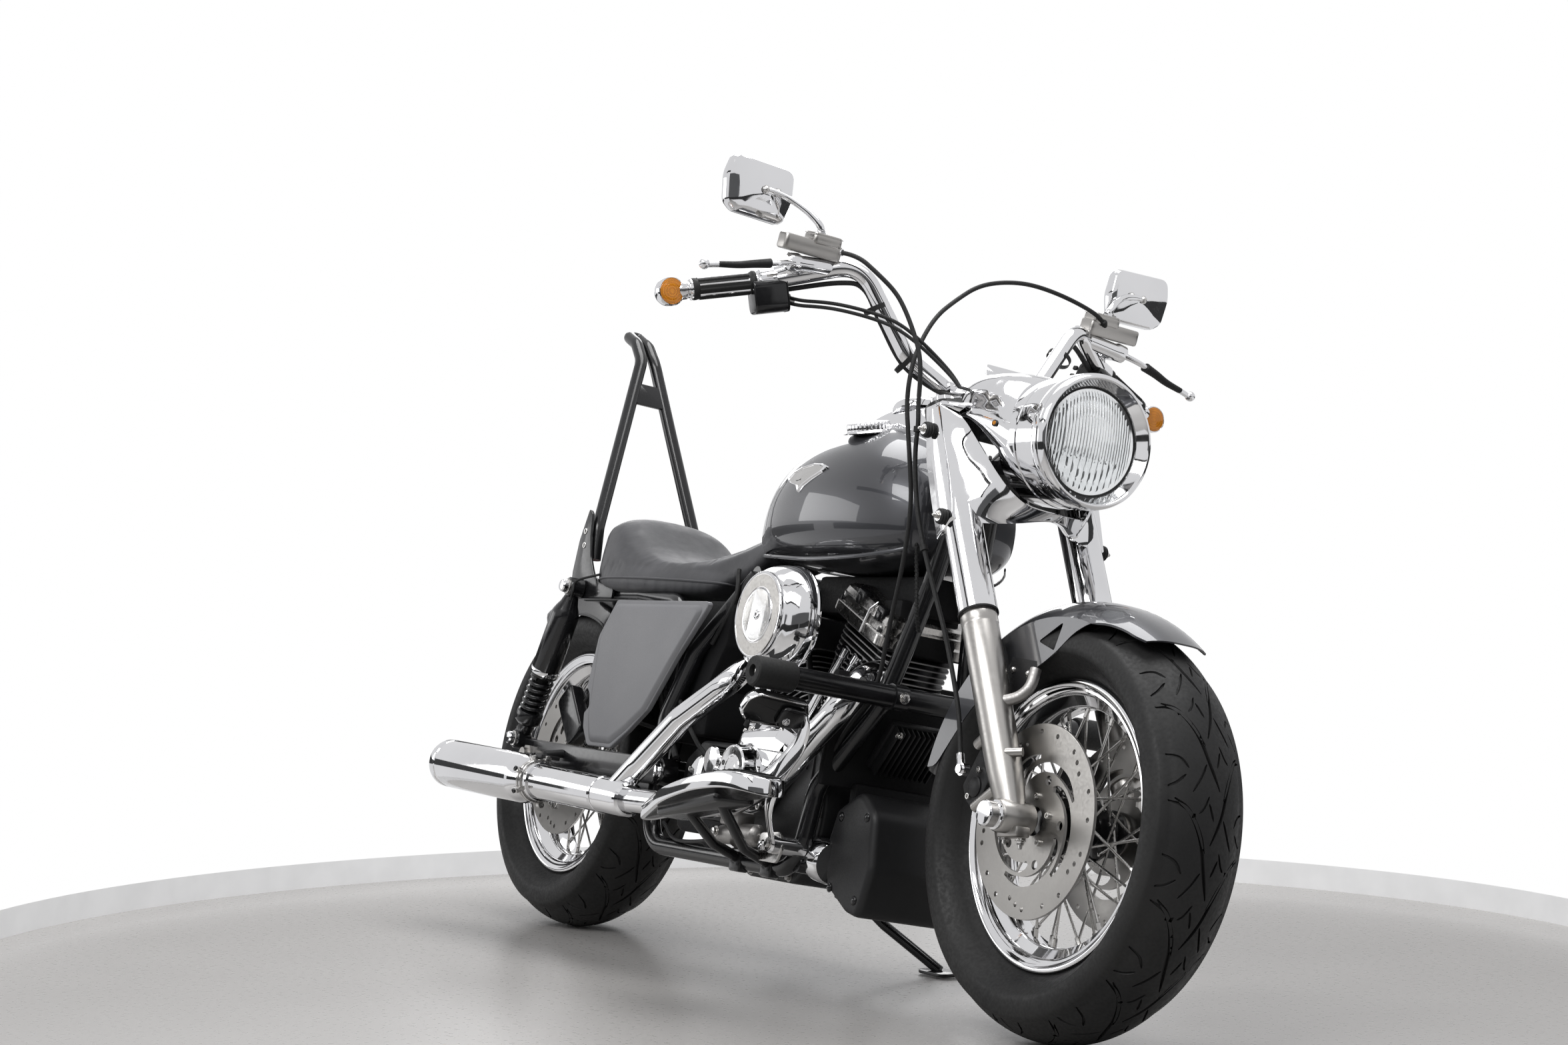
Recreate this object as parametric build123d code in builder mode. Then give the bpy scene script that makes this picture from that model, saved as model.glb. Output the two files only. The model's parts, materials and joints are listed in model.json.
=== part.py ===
"""Touring motorcycle, parked on its side stand.

Every piece is drawn with the motorcycle upright: X forward, Y to its left, Z up, and the
origin on the floor under the rear axle. At the end each piece is leaned over onto the side
stand and moved so that the origin is on the floor under the middle of the whole machine.
All sizes are in millimetres and all angles in degrees.
"""

from build123d import *
import os
from math import cos, radians, sin, sqrt, tan

os.makedirs("parts", exist_ok=True)

# ---------------------------------------------------------------- driving dimensions
lean_angle = 10.44
wheelbase = 1613.0
seat_gap = 0.3  # between bolted pieces of one body
running_gap = 0.05  # radial, between a shaft and what turns on it

# wheels
rim_flange_radius = 219.0
rim_seat_radius = 203.0
rim_well_radius = 184.0
rim_wall = 4.0
tread_drop = 26.0
front_tyre_radius = 320.5
front_tyre_width = 145.0
front_rim_half_width = 43.0
rear_tyre_radius = 318.4
rear_tyre_width = 150.0
rear_rim_half_width = 53.0
spoke_radius = 2.2
spoke_count = 40
hub_flange_radius = 46.0
hub_flange_y = 34.0
hub_radius = 27.0
axle_radius = 12.5
rotor_radius = 146.0
rotor_inner_radius = 92.0
rotor_thickness = 5.0
front_rotor_y = 77.0
rear_rotor_y = 68.0
caliper_slot = 10.0

# steering and fork
rake_angle = 26.0
fork_angle = 29.4
fork_half_spacing = 117.0
fork_tube_radius = 20.6
slider_radius = 29.0
slider_length = 344.0
cover_radius = 31.0
fork_length = 742.0
clamp_low = 582.0
clamp_high = 706.0
clamp_thickness = 26.0
stem_radius = 16.0
head_tube_radius = 32.0

# frame
tube_radius = 16.0
strut_radius = 14.0
strut_z = 648.0
rail_y = 126.0
rail_z = 190.0
backbone_radius = 22.0
pivot_x = 462.0
pivot_z = 300.0

# engine
crank_x = 908.0
crank_z = 285.0
v_half_angle = 22.5
case_half_width = 98.0
deck_height = 150.0
fin_pitch = 10.0
fin_thickness = 3.2
fin_count = 16
fin_half = 70.0
rocker_low = 347.0
rocker_high = 403.0

# seat, tank, rear end
fender_radius = 345.0
fender_half_width = 90.0
sheet = 3.0
shock_y = 150.0
shock_top_x, shock_top_z = 82.0, 654.0
shock_low_x, shock_low_z = -47.0, 348.0
sissy_tube_radius = 12.5
plate_y = 124.3
plate_thickness = 5.0
plate_hole_radius = 4.25
seat_bottom = strut_z + strut_radius + 0.4

# footboards
board_x, board_y, board_z = 1010.0, 300.0, 280.0
board_tilt = radians(10.8)

# belt drive
belt_y = 84.0
belt_width = 24.0
belt_thickness = 5.0
belt_gap = 0.5
rear_pulley_radius = 146.0
front_pulley_radius = 62.0
front_pulley_x = 590.0
front_pulley_z = 300.0

# handlebar, cables and engine guard
bar_radius = 14.0
grip_radius = 17.5
grip_length = 110.0
cable_radius = 3.5
hose_radius = 4.5
guard_radius = 19.0
guard_x = 1190.0
guard_z = 490.0

# ---------------------------------------------------------------- derived places
lean = radians(lean_angle)


def crown_radius(width):
    """Radius of a tyre's tread arc, from its width and how far its shoulders drop."""
    half = 0.44 * width
    return (half**2 + tread_drop**2) / (2 * tread_drop)


def parked_axle_height(radius, width):
    """Height of an axle above the point where the leaned tyre's floor plane crosses y = 0."""
    return radius + crown_radius(width) * (1 / cos(lean) - 1)


front_axle_z = parked_axle_height(front_tyre_radius, front_tyre_width)
rear_axle_z = parked_axle_height(rear_tyre_radius, rear_tyre_width)
front_axle = (wheelbase, 0, front_axle_z)
rear_axle = (0, 0, rear_axle_z)
rake = radians(rake_angle)
fork = radians(fork_angle)
pieces = {}


def keep(name, part):
    """Labels a finished piece and holds it until the machine is leaned over."""
    part.label = name
    pieces[name] = part


def side_plane(y):
    """A plane facing the machine's right, whose local x and y are the machine's X and Z."""
    return Plane(origin=(0, y, 0), x_dir=(1, 0, 0), z_dir=(0, -1, 0))


def on_fork(distance, y=0.0, forward=0.0):
    """A point a distance up the fork from the front axle, moved square to it and sideways."""
    return (
        wheelbase - distance * sin(fork) + forward * cos(fork),
        y,
        front_axle_z + distance * cos(fork) + forward * sin(fork),
    )


def on_stem(z, forward=0.0):
    """The steering axis at a height, and a point a distance in front of it."""
    return (wheelbase + (front_axle_z - z) * tan(rake) + forward, 0, z)


def fork_plane(distance, y=0.0):
    """A plane square to the fork legs."""
    return Plane(origin=on_fork(distance, y), x_dir=(cos(fork), 0, sin(fork)),
                 z_dir=(-sin(fork), 0, cos(fork)))


def bend_radii(points, share=0.45):
    """The largest arc at each corner that leaves a straight stretch in every run."""
    radii = []
    for before, here, after in zip(points, points[1:], points[2:]):
        run_in = Vector(*here) - Vector(*before)
        run_out = Vector(*after) - Vector(*here)
        half_turn = radians(run_in.get_angle(run_out)) / 2
        radii.append(share * min(run_in.length, run_out.length) / tan(half_turn))
    return radii


def bent_tube(points, radius, largest=1000.0):
    """A round bar along straight runs joined by tangent arcs."""
    radii = [min(r, largest) for r in bend_radii(points)]
    with BuildPart() as tube:
        with BuildLine() as route:
            FilletPolyline(*points, radius=radii)
        with BuildSketch(Plane(origin=route.line @ 0, z_dir=route.line % 0)):
            Circle(radius)
        sweep(path=route.line)
    return tube.part


def rod(start, end, radius):
    """A round bar between two points."""
    direction = Vector(*end) - Vector(*start)
    with BuildPart() as bar:
        with BuildSketch(Plane(origin=start, z_dir=direction)):
            Circle(radius)
        extrude(amount=direction.length)
    return bar.part


def turning_plane(origin, along):
    """A plane through an axis of revolution, whose local y runs along it."""
    facing = Vector(*along).cross(Vector(0.03, 0.2, 1)).normalized()
    return Plane(origin=origin, x_dir=Vector(*along).cross(facing), z_dir=facing)


def lateral_disc(x, z, y_from, y_to, radius):
    """A disc or shaft whose axis runs across the machine."""
    with BuildPart() as disc:
        with BuildSketch(side_plane(y_to)):
            with Locations((x, z)):
                Circle(radius)
        extrude(amount=y_to - y_from)
    return disc.part


# ---------------------------------------------------------------- wheels
def make_tyre(axle, radius, width, rim_half):
    """A tyre with a rounded tread, full sidewalls and beads inside the rim's flanges."""
    bead = rim_half - rim_wall - seat_gap
    tread_half = 0.44 * width
    across = Plane(origin=axle, x_dir=(0, 1, 0), z_dir=(1, 0, 0))
    with BuildPart() as tyre:
        with BuildSketch(across):
            with BuildLine():
                seat_line = Line((bead, rim_seat_radius + seat_gap), (-bead, rim_seat_radius + seat_gap))
                for side in (1, -1):
                    wall = Line((side * bead, rim_seat_radius + seat_gap),
                                (side * bead, rim_flange_radius + seat_gap))
                    ThreePointArc(wall @ 1, (side * width / 2, rim_flange_radius + 38),
                                  (side * tread_half, radius - tread_drop))
                ThreePointArc((tread_half, radius - tread_drop), (0, radius),
                              (-tread_half, radius - tread_drop))
            make_face()
        revolve(axis=Axis(axle, (0, 1, 0)))
    return tyre.part


def make_rim(axle, rim_half, rotor_faces):
    """A stepped steel rim, crossed spokes and the hub that they hold."""
    across = Plane(origin=axle, x_dir=(0, 1, 0), z_dir=(1, 0, 0))
    step = rim_half - 16
    well = rim_half - 24
    outer = [(rim_half, rim_flange_radius), (rim_half - rim_wall, rim_flange_radius),
             (rim_half - rim_wall, rim_seat_radius), (step, rim_seat_radius), (well, rim_well_radius)]
    inner = [(well - 2, rim_well_radius - rim_wall), (step + 2, rim_seat_radius - rim_wall),
             (rim_half, rim_seat_radius - rim_wall)]
    section = outer + [(-y, r) for y, r in reversed(outer)]
    section += [(-y, r) for y, r in reversed(inner)] + inner
    right_face, left_face = rotor_faces
    barrel = [(right_face, axle_radius + running_gap), (left_face, axle_radius + running_gap),
              (left_face, 36), (left_face - 8, 36), (left_face - 14, hub_radius),
              (hub_flange_y + 5, hub_radius), (hub_flange_y + 3, hub_flange_radius),
              (hub_flange_y - 3, hub_flange_radius), (hub_flange_y - 6, hub_radius),
              (-hub_flange_y + 6, hub_radius), (-hub_flange_y + 3, hub_flange_radius),
              (-hub_flange_y - 3, hub_flange_radius), (-hub_flange_y - 5, hub_radius),
              (right_face + 14, hub_radius), (right_face + 8, 36), (right_face, 36)]
    spokes = []
    for index in range(spoke_count):
        side = 1 if index % 2 else -1
        twist = 1 if (index // 2) % 2 else -1
        rim_turn = radians(360 / spoke_count * index)
        hub_turn = rim_turn + twist * radians(62)
        rim_end = Vector(axle[0] + (rim_well_radius - 2) * cos(rim_turn), side * (6 + 2.5 * twist),
                         axle[2] + (rim_well_radius - 2) * sin(rim_turn))
        hub_end = Vector(axle[0] + (hub_flange_radius - 4) * cos(hub_turn), side * (hub_flange_y + 2.4 * twist),
                         axle[2] + (hub_flange_radius - 4) * sin(hub_turn))
        spokes.append(Solid.make_cylinder(spoke_radius, (rim_end - hub_end).length,
                                          Plane(origin=hub_end, z_dir=rim_end - hub_end)))
    with BuildPart() as rim:
        with BuildSketch(across):
            with BuildLine():
                Polyline(*section, close=True)
            make_face()
        revolve(axis=Axis(axle, (0, 1, 0)))
        with BuildSketch(across):
            with BuildLine():
                Polyline(*barrel, close=True)
            make_face()
        revolve(axis=Axis(axle, (0, 1, 0)))
        add(spokes)
    return rim.part


def make_rotor(axle, y, hub_face):
    """A drilled and slotted brake disc on a five-armed carrier bolted to the hub's face."""
    with BuildPart() as rotor:
        with BuildSketch(side_plane(y + rotor_thickness / 2)):
            with Locations((axle[0], axle[2])):
                Circle(rotor_radius)
                Circle(rotor_inner_radius, mode=Mode.SUBTRACT)
                with PolarLocations(132, 20):
                    Circle(4, mode=Mode.SUBTRACT)
                with PolarLocations(116, 10, start_angle=9):
                    SlotOverall(30, 9, mode=Mode.SUBTRACT)
        extrude(amount=rotor_thickness)
        with BuildSketch(side_plane(y + rotor_thickness / 2 - 0.5)):
            with Locations((axle[0], axle[2])):
                Circle(62)
                with PolarLocations(78, 5, start_angle=18):
                    Rectangle(44, 30)
                Circle(axle_radius + 6, mode=Mode.SUBTRACT)
                with PolarLocations(52, 10):
                    Circle(5, mode=Mode.SUBTRACT)
        extrude(amount=rotor_thickness - 1)
        seat_from = min(hub_face, y)
        seat_to = max(hub_face, y)
        with BuildSketch(side_plane(seat_to)):
            with Locations((axle[0], axle[2])):
                Circle(34)
                Circle(axle_radius + 6, mode=Mode.SUBTRACT)
        extrude(amount=seat_to - seat_from)
    return rotor.part


def make_wheels():
    front_hub_face = front_rotor_y - rotor_thickness / 2 - 4
    rear_hub_left = 80.0
    rear_hub_right = rear_rotor_y - rotor_thickness / 2 - 4
    keep("front_tyre", make_tyre(front_axle, front_tyre_radius, front_tyre_width, front_rim_half_width))
    keep("front_rim", make_rim(front_axle, front_rim_half_width, (-front_hub_face, front_hub_face)))
    with BuildPart() as rotors:
        for side in (-1, 1):
            add(make_rotor(front_axle, side * front_rotor_y, side * (front_hub_face + seat_gap)))
    keep("front_rotors", rotors.part)
    keep("rear_tyre", make_tyre(rear_axle, rear_tyre_radius, rear_tyre_width, rear_rim_half_width))
    keep("rear_rim", make_rim(rear_axle, rear_rim_half_width, (-rear_hub_right, rear_hub_left)))
    keep("rear_rotor", make_rotor(rear_axle, -rear_rotor_y, -(rear_hub_right + seat_gap)))
    with BuildPart() as pulley:
        add(lateral_disc(rear_axle[0], rear_axle[2], belt_y, belt_y + belt_width, rear_pulley_radius))
        with BuildSketch(side_plane(belt_y + belt_width)):
            with Locations((rear_axle[0], rear_axle[2])):
                Circle(axle_radius + 6)
                with PolarLocations(98, 5):
                    Circle(27)
        extrude(amount=belt_width, mode=Mode.SUBTRACT)
        with BuildSketch(side_plane(belt_y)):
            with Locations((rear_axle[0], rear_axle[2])):
                Circle(34)
                Circle(axle_radius + 6, mode=Mode.SUBTRACT)
        extrude(amount=belt_y - rear_hub_left - seat_gap)
    keep("rear_pulley", pulley.part)


# ---------------------------------------------------------------- frame and rear suspension
def make_frame():
    """Steering head, backbone, twin down tubes, lower rails, rear struts and pivot plates."""
    head_low = on_stem(884)
    head_high = on_stem(950)
    rail = [(1185, -44, 680), (1150, -80, 478), (1052, -118, 330), (1040, -rail_y, rail_z),
            (509, -rail_y, rail_z), (507, -rail_y - 1, 420), (566, -120, 545), (650, -66, 692)]
    strut = [(508, -124, 470), (470, -112, strut_z - 12), (300, -110, strut_z), (60, -110, strut_z)]
    with BuildPart() as frame:
        add(bent_tube([(1262, -6, 890), (1215, -30, 838)] + rail, tube_radius, largest=60))
        add(bent_tube(strut, strut_radius, largest=50))
        add(rod((600, -rail_y, rail_z), (600, rail_y, rail_z), strut_radius))
        add(rod((1036, -rail_y, rail_z + 10), (1036, rail_y, rail_z + 10), strut_radius))
        add(rod((pivot_x, -147, pivot_z), (pivot_x, -141, pivot_z), 34))
        with BuildSketch(side_plane(-141)):
            with Locations((pivot_x + 15, pivot_z)):
                RectangleRounded(80, 92, 12)
        extrude(amount=6)
        with BuildSketch(side_plane(-124)):
            with Locations((509, pivot_z)):
                Rectangle(18, 60)
        extrude(amount=18)
        mirror(about=Plane.XZ)
        add(bent_tube([on_stem(912), (1180, 0, 838), (1010, 0, 790), (650, 0, 712)], backbone_radius,
                      largest=80))
        add(rod((650, -70, 694), (650, 70, 694), tube_radius))
        add(rod((300, -110, strut_z), (300, 110, strut_z), 9))
        add(rod(head_low, head_high, head_tube_radius))
        add(rod(on_stem(860), on_stem(970), stem_radius + running_gap), mode=Mode.SUBTRACT)
        for side in (-1, 1):
            reach = (side * 130, side * 150)
            add(lateral_disc(pivot_x, pivot_z, min(reach), max(reach), 9.3), mode=Mode.SUBTRACT)
    keep("frame", frame.part)


def make_swingarm():
    """Two box arms with a cross tube, the pivot shaft and the rear axle's end plates."""
    with BuildPart() as arms:
        with BuildSketch(side_plane(-112)):
            with BuildLine():
                Polyline((pivot_x + 8, pivot_z - 24), (pivot_x + 8, pivot_z + 24), (120, rear_axle_z + 30),
                         (-84, rear_axle_z + 34), (-84, rear_axle_z - 22), (120, rear_axle_z - 26),
                         close=True)
            make_face()
        extrude(amount=26)
        add(lateral_disc(pivot_x, pivot_z, -138, -112, 27))
        add(lateral_disc(rear_axle[0], rear_axle[2], -150, -100, axle_radius + 0.2), mode=Mode.SUBTRACT)
        add(lateral_disc(shock_low_x, shock_low_z, -150, -100, 8.3), mode=Mode.SUBTRACT)
        mirror(about=Plane.XZ)
        add(rod((pivot_x - 52, -115, pivot_z + 3), (pivot_x - 52, 115, pivot_z + 3), 24))
        add(rod((pivot_x, -150, pivot_z), (pivot_x, 150, pivot_z), 9))
    keep("swingarm", arms.part)


def make_rear_axle():
    with BuildPart() as shaft:
        add(rod((0, -166, rear_axle_z), (0, 166, rear_axle_z), axle_radius))
        for side in (-1, 1):
            with BuildSketch(side_plane(side * 147 + 9)):
                with Locations((0, rear_axle_z)):
                    RegularPolygon(20, 6)
            extrude(amount=18)
    keep("rear_axle", shaft.part)


def make_shocks():
    """Upright dampers: an eye at each end, a shroud above and the coils showing below."""
    top = Vector(shock_top_x, -shock_y, shock_top_z)
    low = Vector(shock_low_x, -shock_y, shock_low_z)
    along = (top - low).normalized()
    length = (top - low).length
    with BuildPart() as shocks:
        with BuildSketch(Plane(origin=low, x_dir=(0, 1, 0), z_dir=Vector(0, 1, 0).cross(along))):
            with BuildLine():
                Polyline((0, 12), (16, 12), (16, 40), (26, 44), (26, 60), (20, 64), (20, length - 196),
                         (28, length - 190), (28, length - 40), (18, length - 26), (12, length - 14),
                         (0, length - 14), close=True)
            make_face()
        revolve(axis=Axis(low, along))
        for ring in range(5):
            place = low + along * (72 + 16 * ring)
            with BuildSketch(Plane(origin=place, x_dir=(0, 1, 0), z_dir=Vector(0, 1, 0).cross(along))):
                with Locations((21, 0)):
                    Circle(5)
            revolve(axis=Axis(low, along))
        add(lateral_disc(shock_top_x, shock_top_z, -shock_y - 16, -shock_y + 16, 19))
        add(lateral_disc(shock_low_x, shock_low_z, -shock_y - 16, -138 - seat_gap, 19))
        add(lateral_disc(shock_top_x, shock_top_z, -178, -124.6, 8))
        add(lateral_disc(shock_low_x, shock_low_z, -178, -113, 8))
        add(lateral_disc(shock_top_x, shock_top_z, -180, -170, 13))
        add(lateral_disc(shock_low_x, shock_low_z, -180, -170, 13))
        mirror(about=Plane.XZ)
    keep("shock_absorbers", shocks.part)


def make_rear_caliper():
    """A caliper over the rotor's upper front, on a bracket from the right swingarm."""
    with BuildPart() as caliper:
        with BuildSketch(side_plane(-42)):
            with Locations(Location((96, rear_axle_z + 88), 42)):
                RectangleRounded(62, 118, 14)
        extrude(amount=69.7)
        with BuildSketch(side_plane(-rear_rotor_y + caliper_slot / 2)):
            with Locations((0, rear_axle_z)):
                Circle(rotor_radius + 4)
        extrude(amount=caliper_slot, mode=Mode.SUBTRACT)
        with BuildSketch(side_plane(0)):
            with Locations((0, rear_axle_z)):
                Circle(88)
        extrude(amount=95, mode=Mode.SUBTRACT)
        add(rod((rear_axle[0], -120, rear_axle_z), (rear_axle[0], -60, rear_axle_z), 62), mode=Mode.SUBTRACT)
    keep("rear_caliper", caliper.part)


def make_drive_belt():
    """A flat belt round the two pulleys, on the left between tyre and swingarm."""
    outer = belt_gap + belt_thickness
    with BuildPart() as belt:
        with BuildSketch(side_plane(belt_y + belt_width)):
            with BuildSketch(mode=Mode.PRIVATE) as far:
                with Locations((0, rear_axle_z)):
                    Circle(rear_pulley_radius + outer)
                with Locations((front_pulley_x, front_pulley_z)):
                    Circle(front_pulley_radius + outer)
            with BuildSketch(mode=Mode.PRIVATE) as near:
                with Locations((0, rear_axle_z)):
                    Circle(rear_pulley_radius + belt_gap)
                with Locations((front_pulley_x, front_pulley_z)):
                    Circle(front_pulley_radius + belt_gap)
            make_hull(far.sketch.edges())
            make_hull(near.sketch.edges(), mode=Mode.SUBTRACT)
        extrude(amount=belt_width)
    keep("drive_belt", belt.part)


# ---------------------------------------------------------------- engine
def cylinder_plane(sign, height):
    """A plane square to one cylinder, a height above the crankshaft."""
    turn = radians(v_half_angle) * sign
    return Plane(origin=(crank_x + height * sin(turn), 0, crank_z + height * cos(turn)),
                 x_dir=(0, 1, 0), z_dir=(sin(turn), 0, cos(turn)))


def lifter_blocks(margin):
    """Outlines of the two blocks that the pushrod tubes stand on."""
    for sign in (-1, 1):
        with Locations(Location((crank_x + sign * 68, 424), -sign * v_half_angle)):
            RectangleRounded(70 + 2 * margin, 28 + 2 * margin, 8)


def make_engine():
    """Crankcase and gearbox in one block, then cylinders, rocker covers and side covers."""
    with BuildPart() as case:
        with BuildSketch(side_plane(case_half_width)):
            with Locations((crank_x, crank_z)):
                Circle(deck_height)
            with Locations((690, 304)):
                RectangleRounded(300, 172, 40)
            with Locations((crank_x, crank_z - 150)):
                Rectangle(400, 64, mode=Mode.SUBTRACT)
            with Locations((1060, 180)):
                Rectangle(90, 76, mode=Mode.SUBTRACT)
        extrude(amount=2 * case_half_width)
        with BuildSketch(side_plane(case_half_width + 20)):
            with Locations((front_pulley_x - 10, 320)):
                Rectangle(160, 220)
        extrude(amount=38, mode=Mode.SUBTRACT)
        add(lateral_disc(front_pulley_x, front_pulley_z, 78, belt_y + belt_width, front_pulley_radius))
        add(rod((690, -86, 222), (690, 70, 222), 30))
    keep("engine_case", case.part)
    with BuildPart() as cylinders:
        for sign in (-1, 1):
            with BuildSketch(cylinder_plane(sign, deck_height + seat_gap)):
                Circle(55)
            extrude(amount=rocker_low - deck_height - 2 * seat_gap)
            for fin in range(fin_count):
                height = 183 + fin_pitch * fin
                half = fin_half if fin < 9 else fin_half + 8
                with BuildSketch(cylinder_plane(sign, height)):
                    RectangleRounded(2 * half, 2 * fin_half, 26)
                extrude(amount=fin_thickness)
    keep("cylinders", cylinders.part)
    with BuildPart() as rockers:
        for sign in (-1, 1):
            with BuildSketch(cylinder_plane(sign, rocker_low)):
                RectangleRounded(136, 196, 16)
            extrude(amount=30)
            with BuildSketch(cylinder_plane(sign, rocker_low + 30)):
                RectangleRounded(120, 180, 22)
            extrude(amount=rocker_high - rocker_low - 30, taper=12)
    keep("rocker_covers", rockers.part)
    face = -case_half_width - seat_gap
    with BuildPart() as timing:
        with BuildSketch(side_plane(face)):
            with BuildSketch(mode=Mode.PRIVATE) as outline:
                with Locations((850, 352)):
                    Circle(82)
                with Locations((960, 400)):
                    Circle(40)
                with Locations((778, 322)):
                    Circle(44)
            make_hull(outline.sketch.edges())
        extrude(amount=36, taper=8)
        add(lateral_disc(838, 364, face - 62, face - 30, 50))
        with BuildSketch(side_plane(face + 1)):
            lifter_blocks(seat_gap)
        extrude(amount=80, mode=Mode.SUBTRACT)
    keep("timing_cover", timing.part)
    with BuildPart() as primary:
        with BuildSketch(side_plane(186)):
            with BuildSketch(mode=Mode.PRIVATE) as outline:
                with Locations((crank_x, 304)):
                    Circle(92)
                with Locations((650, 311)):
                    Circle(100)
            make_hull(outline.sketch.edges())
        extrude(amount=70)
        with BuildSketch(side_plane(116)):
            with Locations((crank_x, 304)):
                Circle(88)
        extrude(amount=116 - case_half_width - seat_gap)
        fillet(primary.edges().group_by(Axis.Y)[-1], 22)
    keep("primary_cover", primary.part)
    with BuildPart() as pushrods:
        with BuildSketch(side_plane(face)):
            lifter_blocks(0)
        extrude(amount=26)
        for sign in (-1, 1):
            for offset in (0, 34):
                low = (crank_x + sign * (52 + offset), -case_half_width - 13, 426 - offset * 0.3)
                high = (crank_x + sign * (124 + offset * 1.2), -90, 566 - offset * 0.4)
                add(rod(low, high, 9))
    keep("pushrod_tubes", pushrods.part)
    with BuildPart() as cleaner:
        with BuildSketch(side_plane(-148)) as base:
            with Locations((922, 604)):
                Ellipse(108, 88)
        with BuildSketch(side_plane(-184)):
            with Locations((922, 604)):
                Ellipse(100, 83)
        with BuildSketch(side_plane(-202)):
            with Locations((924, 603)):
                Ellipse(80, 74)
        loft()
        add(lateral_disc(925, 602, -213, -202, 73))
        add(rod((crank_x, -148, 592), (crank_x, 14, 592), 24))
        add(rod((crank_x - 42.8, 0, 592), (crank_x + 42.8, 0, 592), 20))
        add(rod((crank_x, -148, 592), (crank_x, -136, 592), 70))
    keep("air_cleaner", cleaner.part)


def make_exhaust():
    """Two chrome header pipes that meet low on the right and one long muffler."""
    front = [(1090, -40, 537), (1124, -106, 518), (1150, -150, 468), (1106, -162, 420), (1017, -170, 338),
             (900, -184, 285), (760, -196, 264), (500, -205, 260)]
    rear = [(716, -34, 531), (690, -84, 524), (712, -124, 492), (636, -168, 416), (560, -196, 326)]
    rear += [(500, -205, 272)]
    with BuildPart() as headers:
        add(bent_tube(front, 21, largest=90))
        add(bent_tube(rear, 21, largest=60))
        add(rod((560, -205, 262), (212, -212, 270), 33))
        for sign in (-1, 1):
            with BuildSketch(cylinder_plane(sign, deck_height)):
                RectangleRounded(2 * fin_half + 16 + 2 * seat_gap, 2 * fin_half + 2 * seat_gap, 26)
            extrude(amount=rocker_low - deck_height, mode=Mode.SUBTRACT)
    keep("exhaust_headers", headers.part)
    start = Vector(212, -212, 270)
    end = Vector(-206, -222, 280)
    along = (end - start).normalized()
    length = (end - start).length
    with BuildPart() as muffler:
        with BuildSketch(turning_plane(start, along)):
            with BuildLine():
                Polyline((0, seat_gap), (43, seat_gap), (43, 34), (40, 36), (40, 44), (47.5, 62),
                         (47.5, length - 60), (45, length - 22), (47.5, length - 18), (47.5, length),
                         (41, length), (41, length - 90), (0, length - 90), close=True)
            make_face()
        revolve(axis=Axis(start, along))
    keep("muffler", muffler.part)


# ---------------------------------------------------------------- tank, seat, rear end
def make_tank():
    """A full teardrop tank over the backbone, with a filler cap on each shoulder."""
    stations = [(628, 44, 722, 800, 26), (700, 92, 722, 872, 40), (780, 132, 714, 926, 56),
                (880, 156, 704, 958, 70), (1000, 160, 698, 960, 72), (1100, 146, 706, 936, 66),
                (1168, 122, 726, 896, 54), (1200, 92, 752, 862, 36)]
    with BuildPart() as tank:
        for x, half, low, high, corner in stations:
            with BuildSketch(Plane(origin=(x, 0, (low + high) / 2), x_dir=(0, 1, 0), z_dir=(1, 0, 0))):
                RectangleRounded(2 * half, high - low, corner)
        loft()
        with BuildSketch(Plane(origin=(600, 0, 0), x_dir=(0, 1, 0), z_dir=(1, 0, 0))):
            with Locations((0, 777)):
                Rectangle(2 * backbone_radius + 1.2, 198)
        extrude(amount=620, mode=Mode.SUBTRACT)
        with BuildSketch(Plane(origin=(1110, 0, 0), x_dir=(0, 1, 0), z_dir=(1, 0, 0))):
            with Locations((0, 777)):
                Rectangle(136, 198)
        extrude(amount=120, mode=Mode.SUBTRACT)
        for side in (-1, 1):
            add(rod((985, side * 84, 900), (985, side * 84, 1000), 40 + seat_gap), mode=Mode.SUBTRACT)
    keep("fuel_tank", tank.part)
    with BuildPart() as caps:
        for side in (-1, 1):
            add(rod((985, side * 84, 900.3), (985, side * 84, 962), 38))
            add(rod((985, side * 84, 958), (985, side * 84, 974), 32))
    keep("fuel_caps", caps.part)
    with BuildPart() as console:
        with BuildSketch(side_plane(34)):
            with BuildLine():
                Polyline((1150, 921), (1130, 966), (1040, 1000), (960, 996), (880, 980), (760, 936),
                         (700, 892), (680, 866), (760, 890), (1060, 930), close=True)
            make_face()
        extrude(amount=68)
        add(rod((1010, 0, 940), (996, 0, 1012), 46))
        for lift in (0, 0.5):
            add(tank.part.moved(Location((0, 0, lift))), mode=Mode.SUBTRACT)
    keep("instrument_console", console.part.solids().sort_by(SortBy.VOLUME)[-1])


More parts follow.
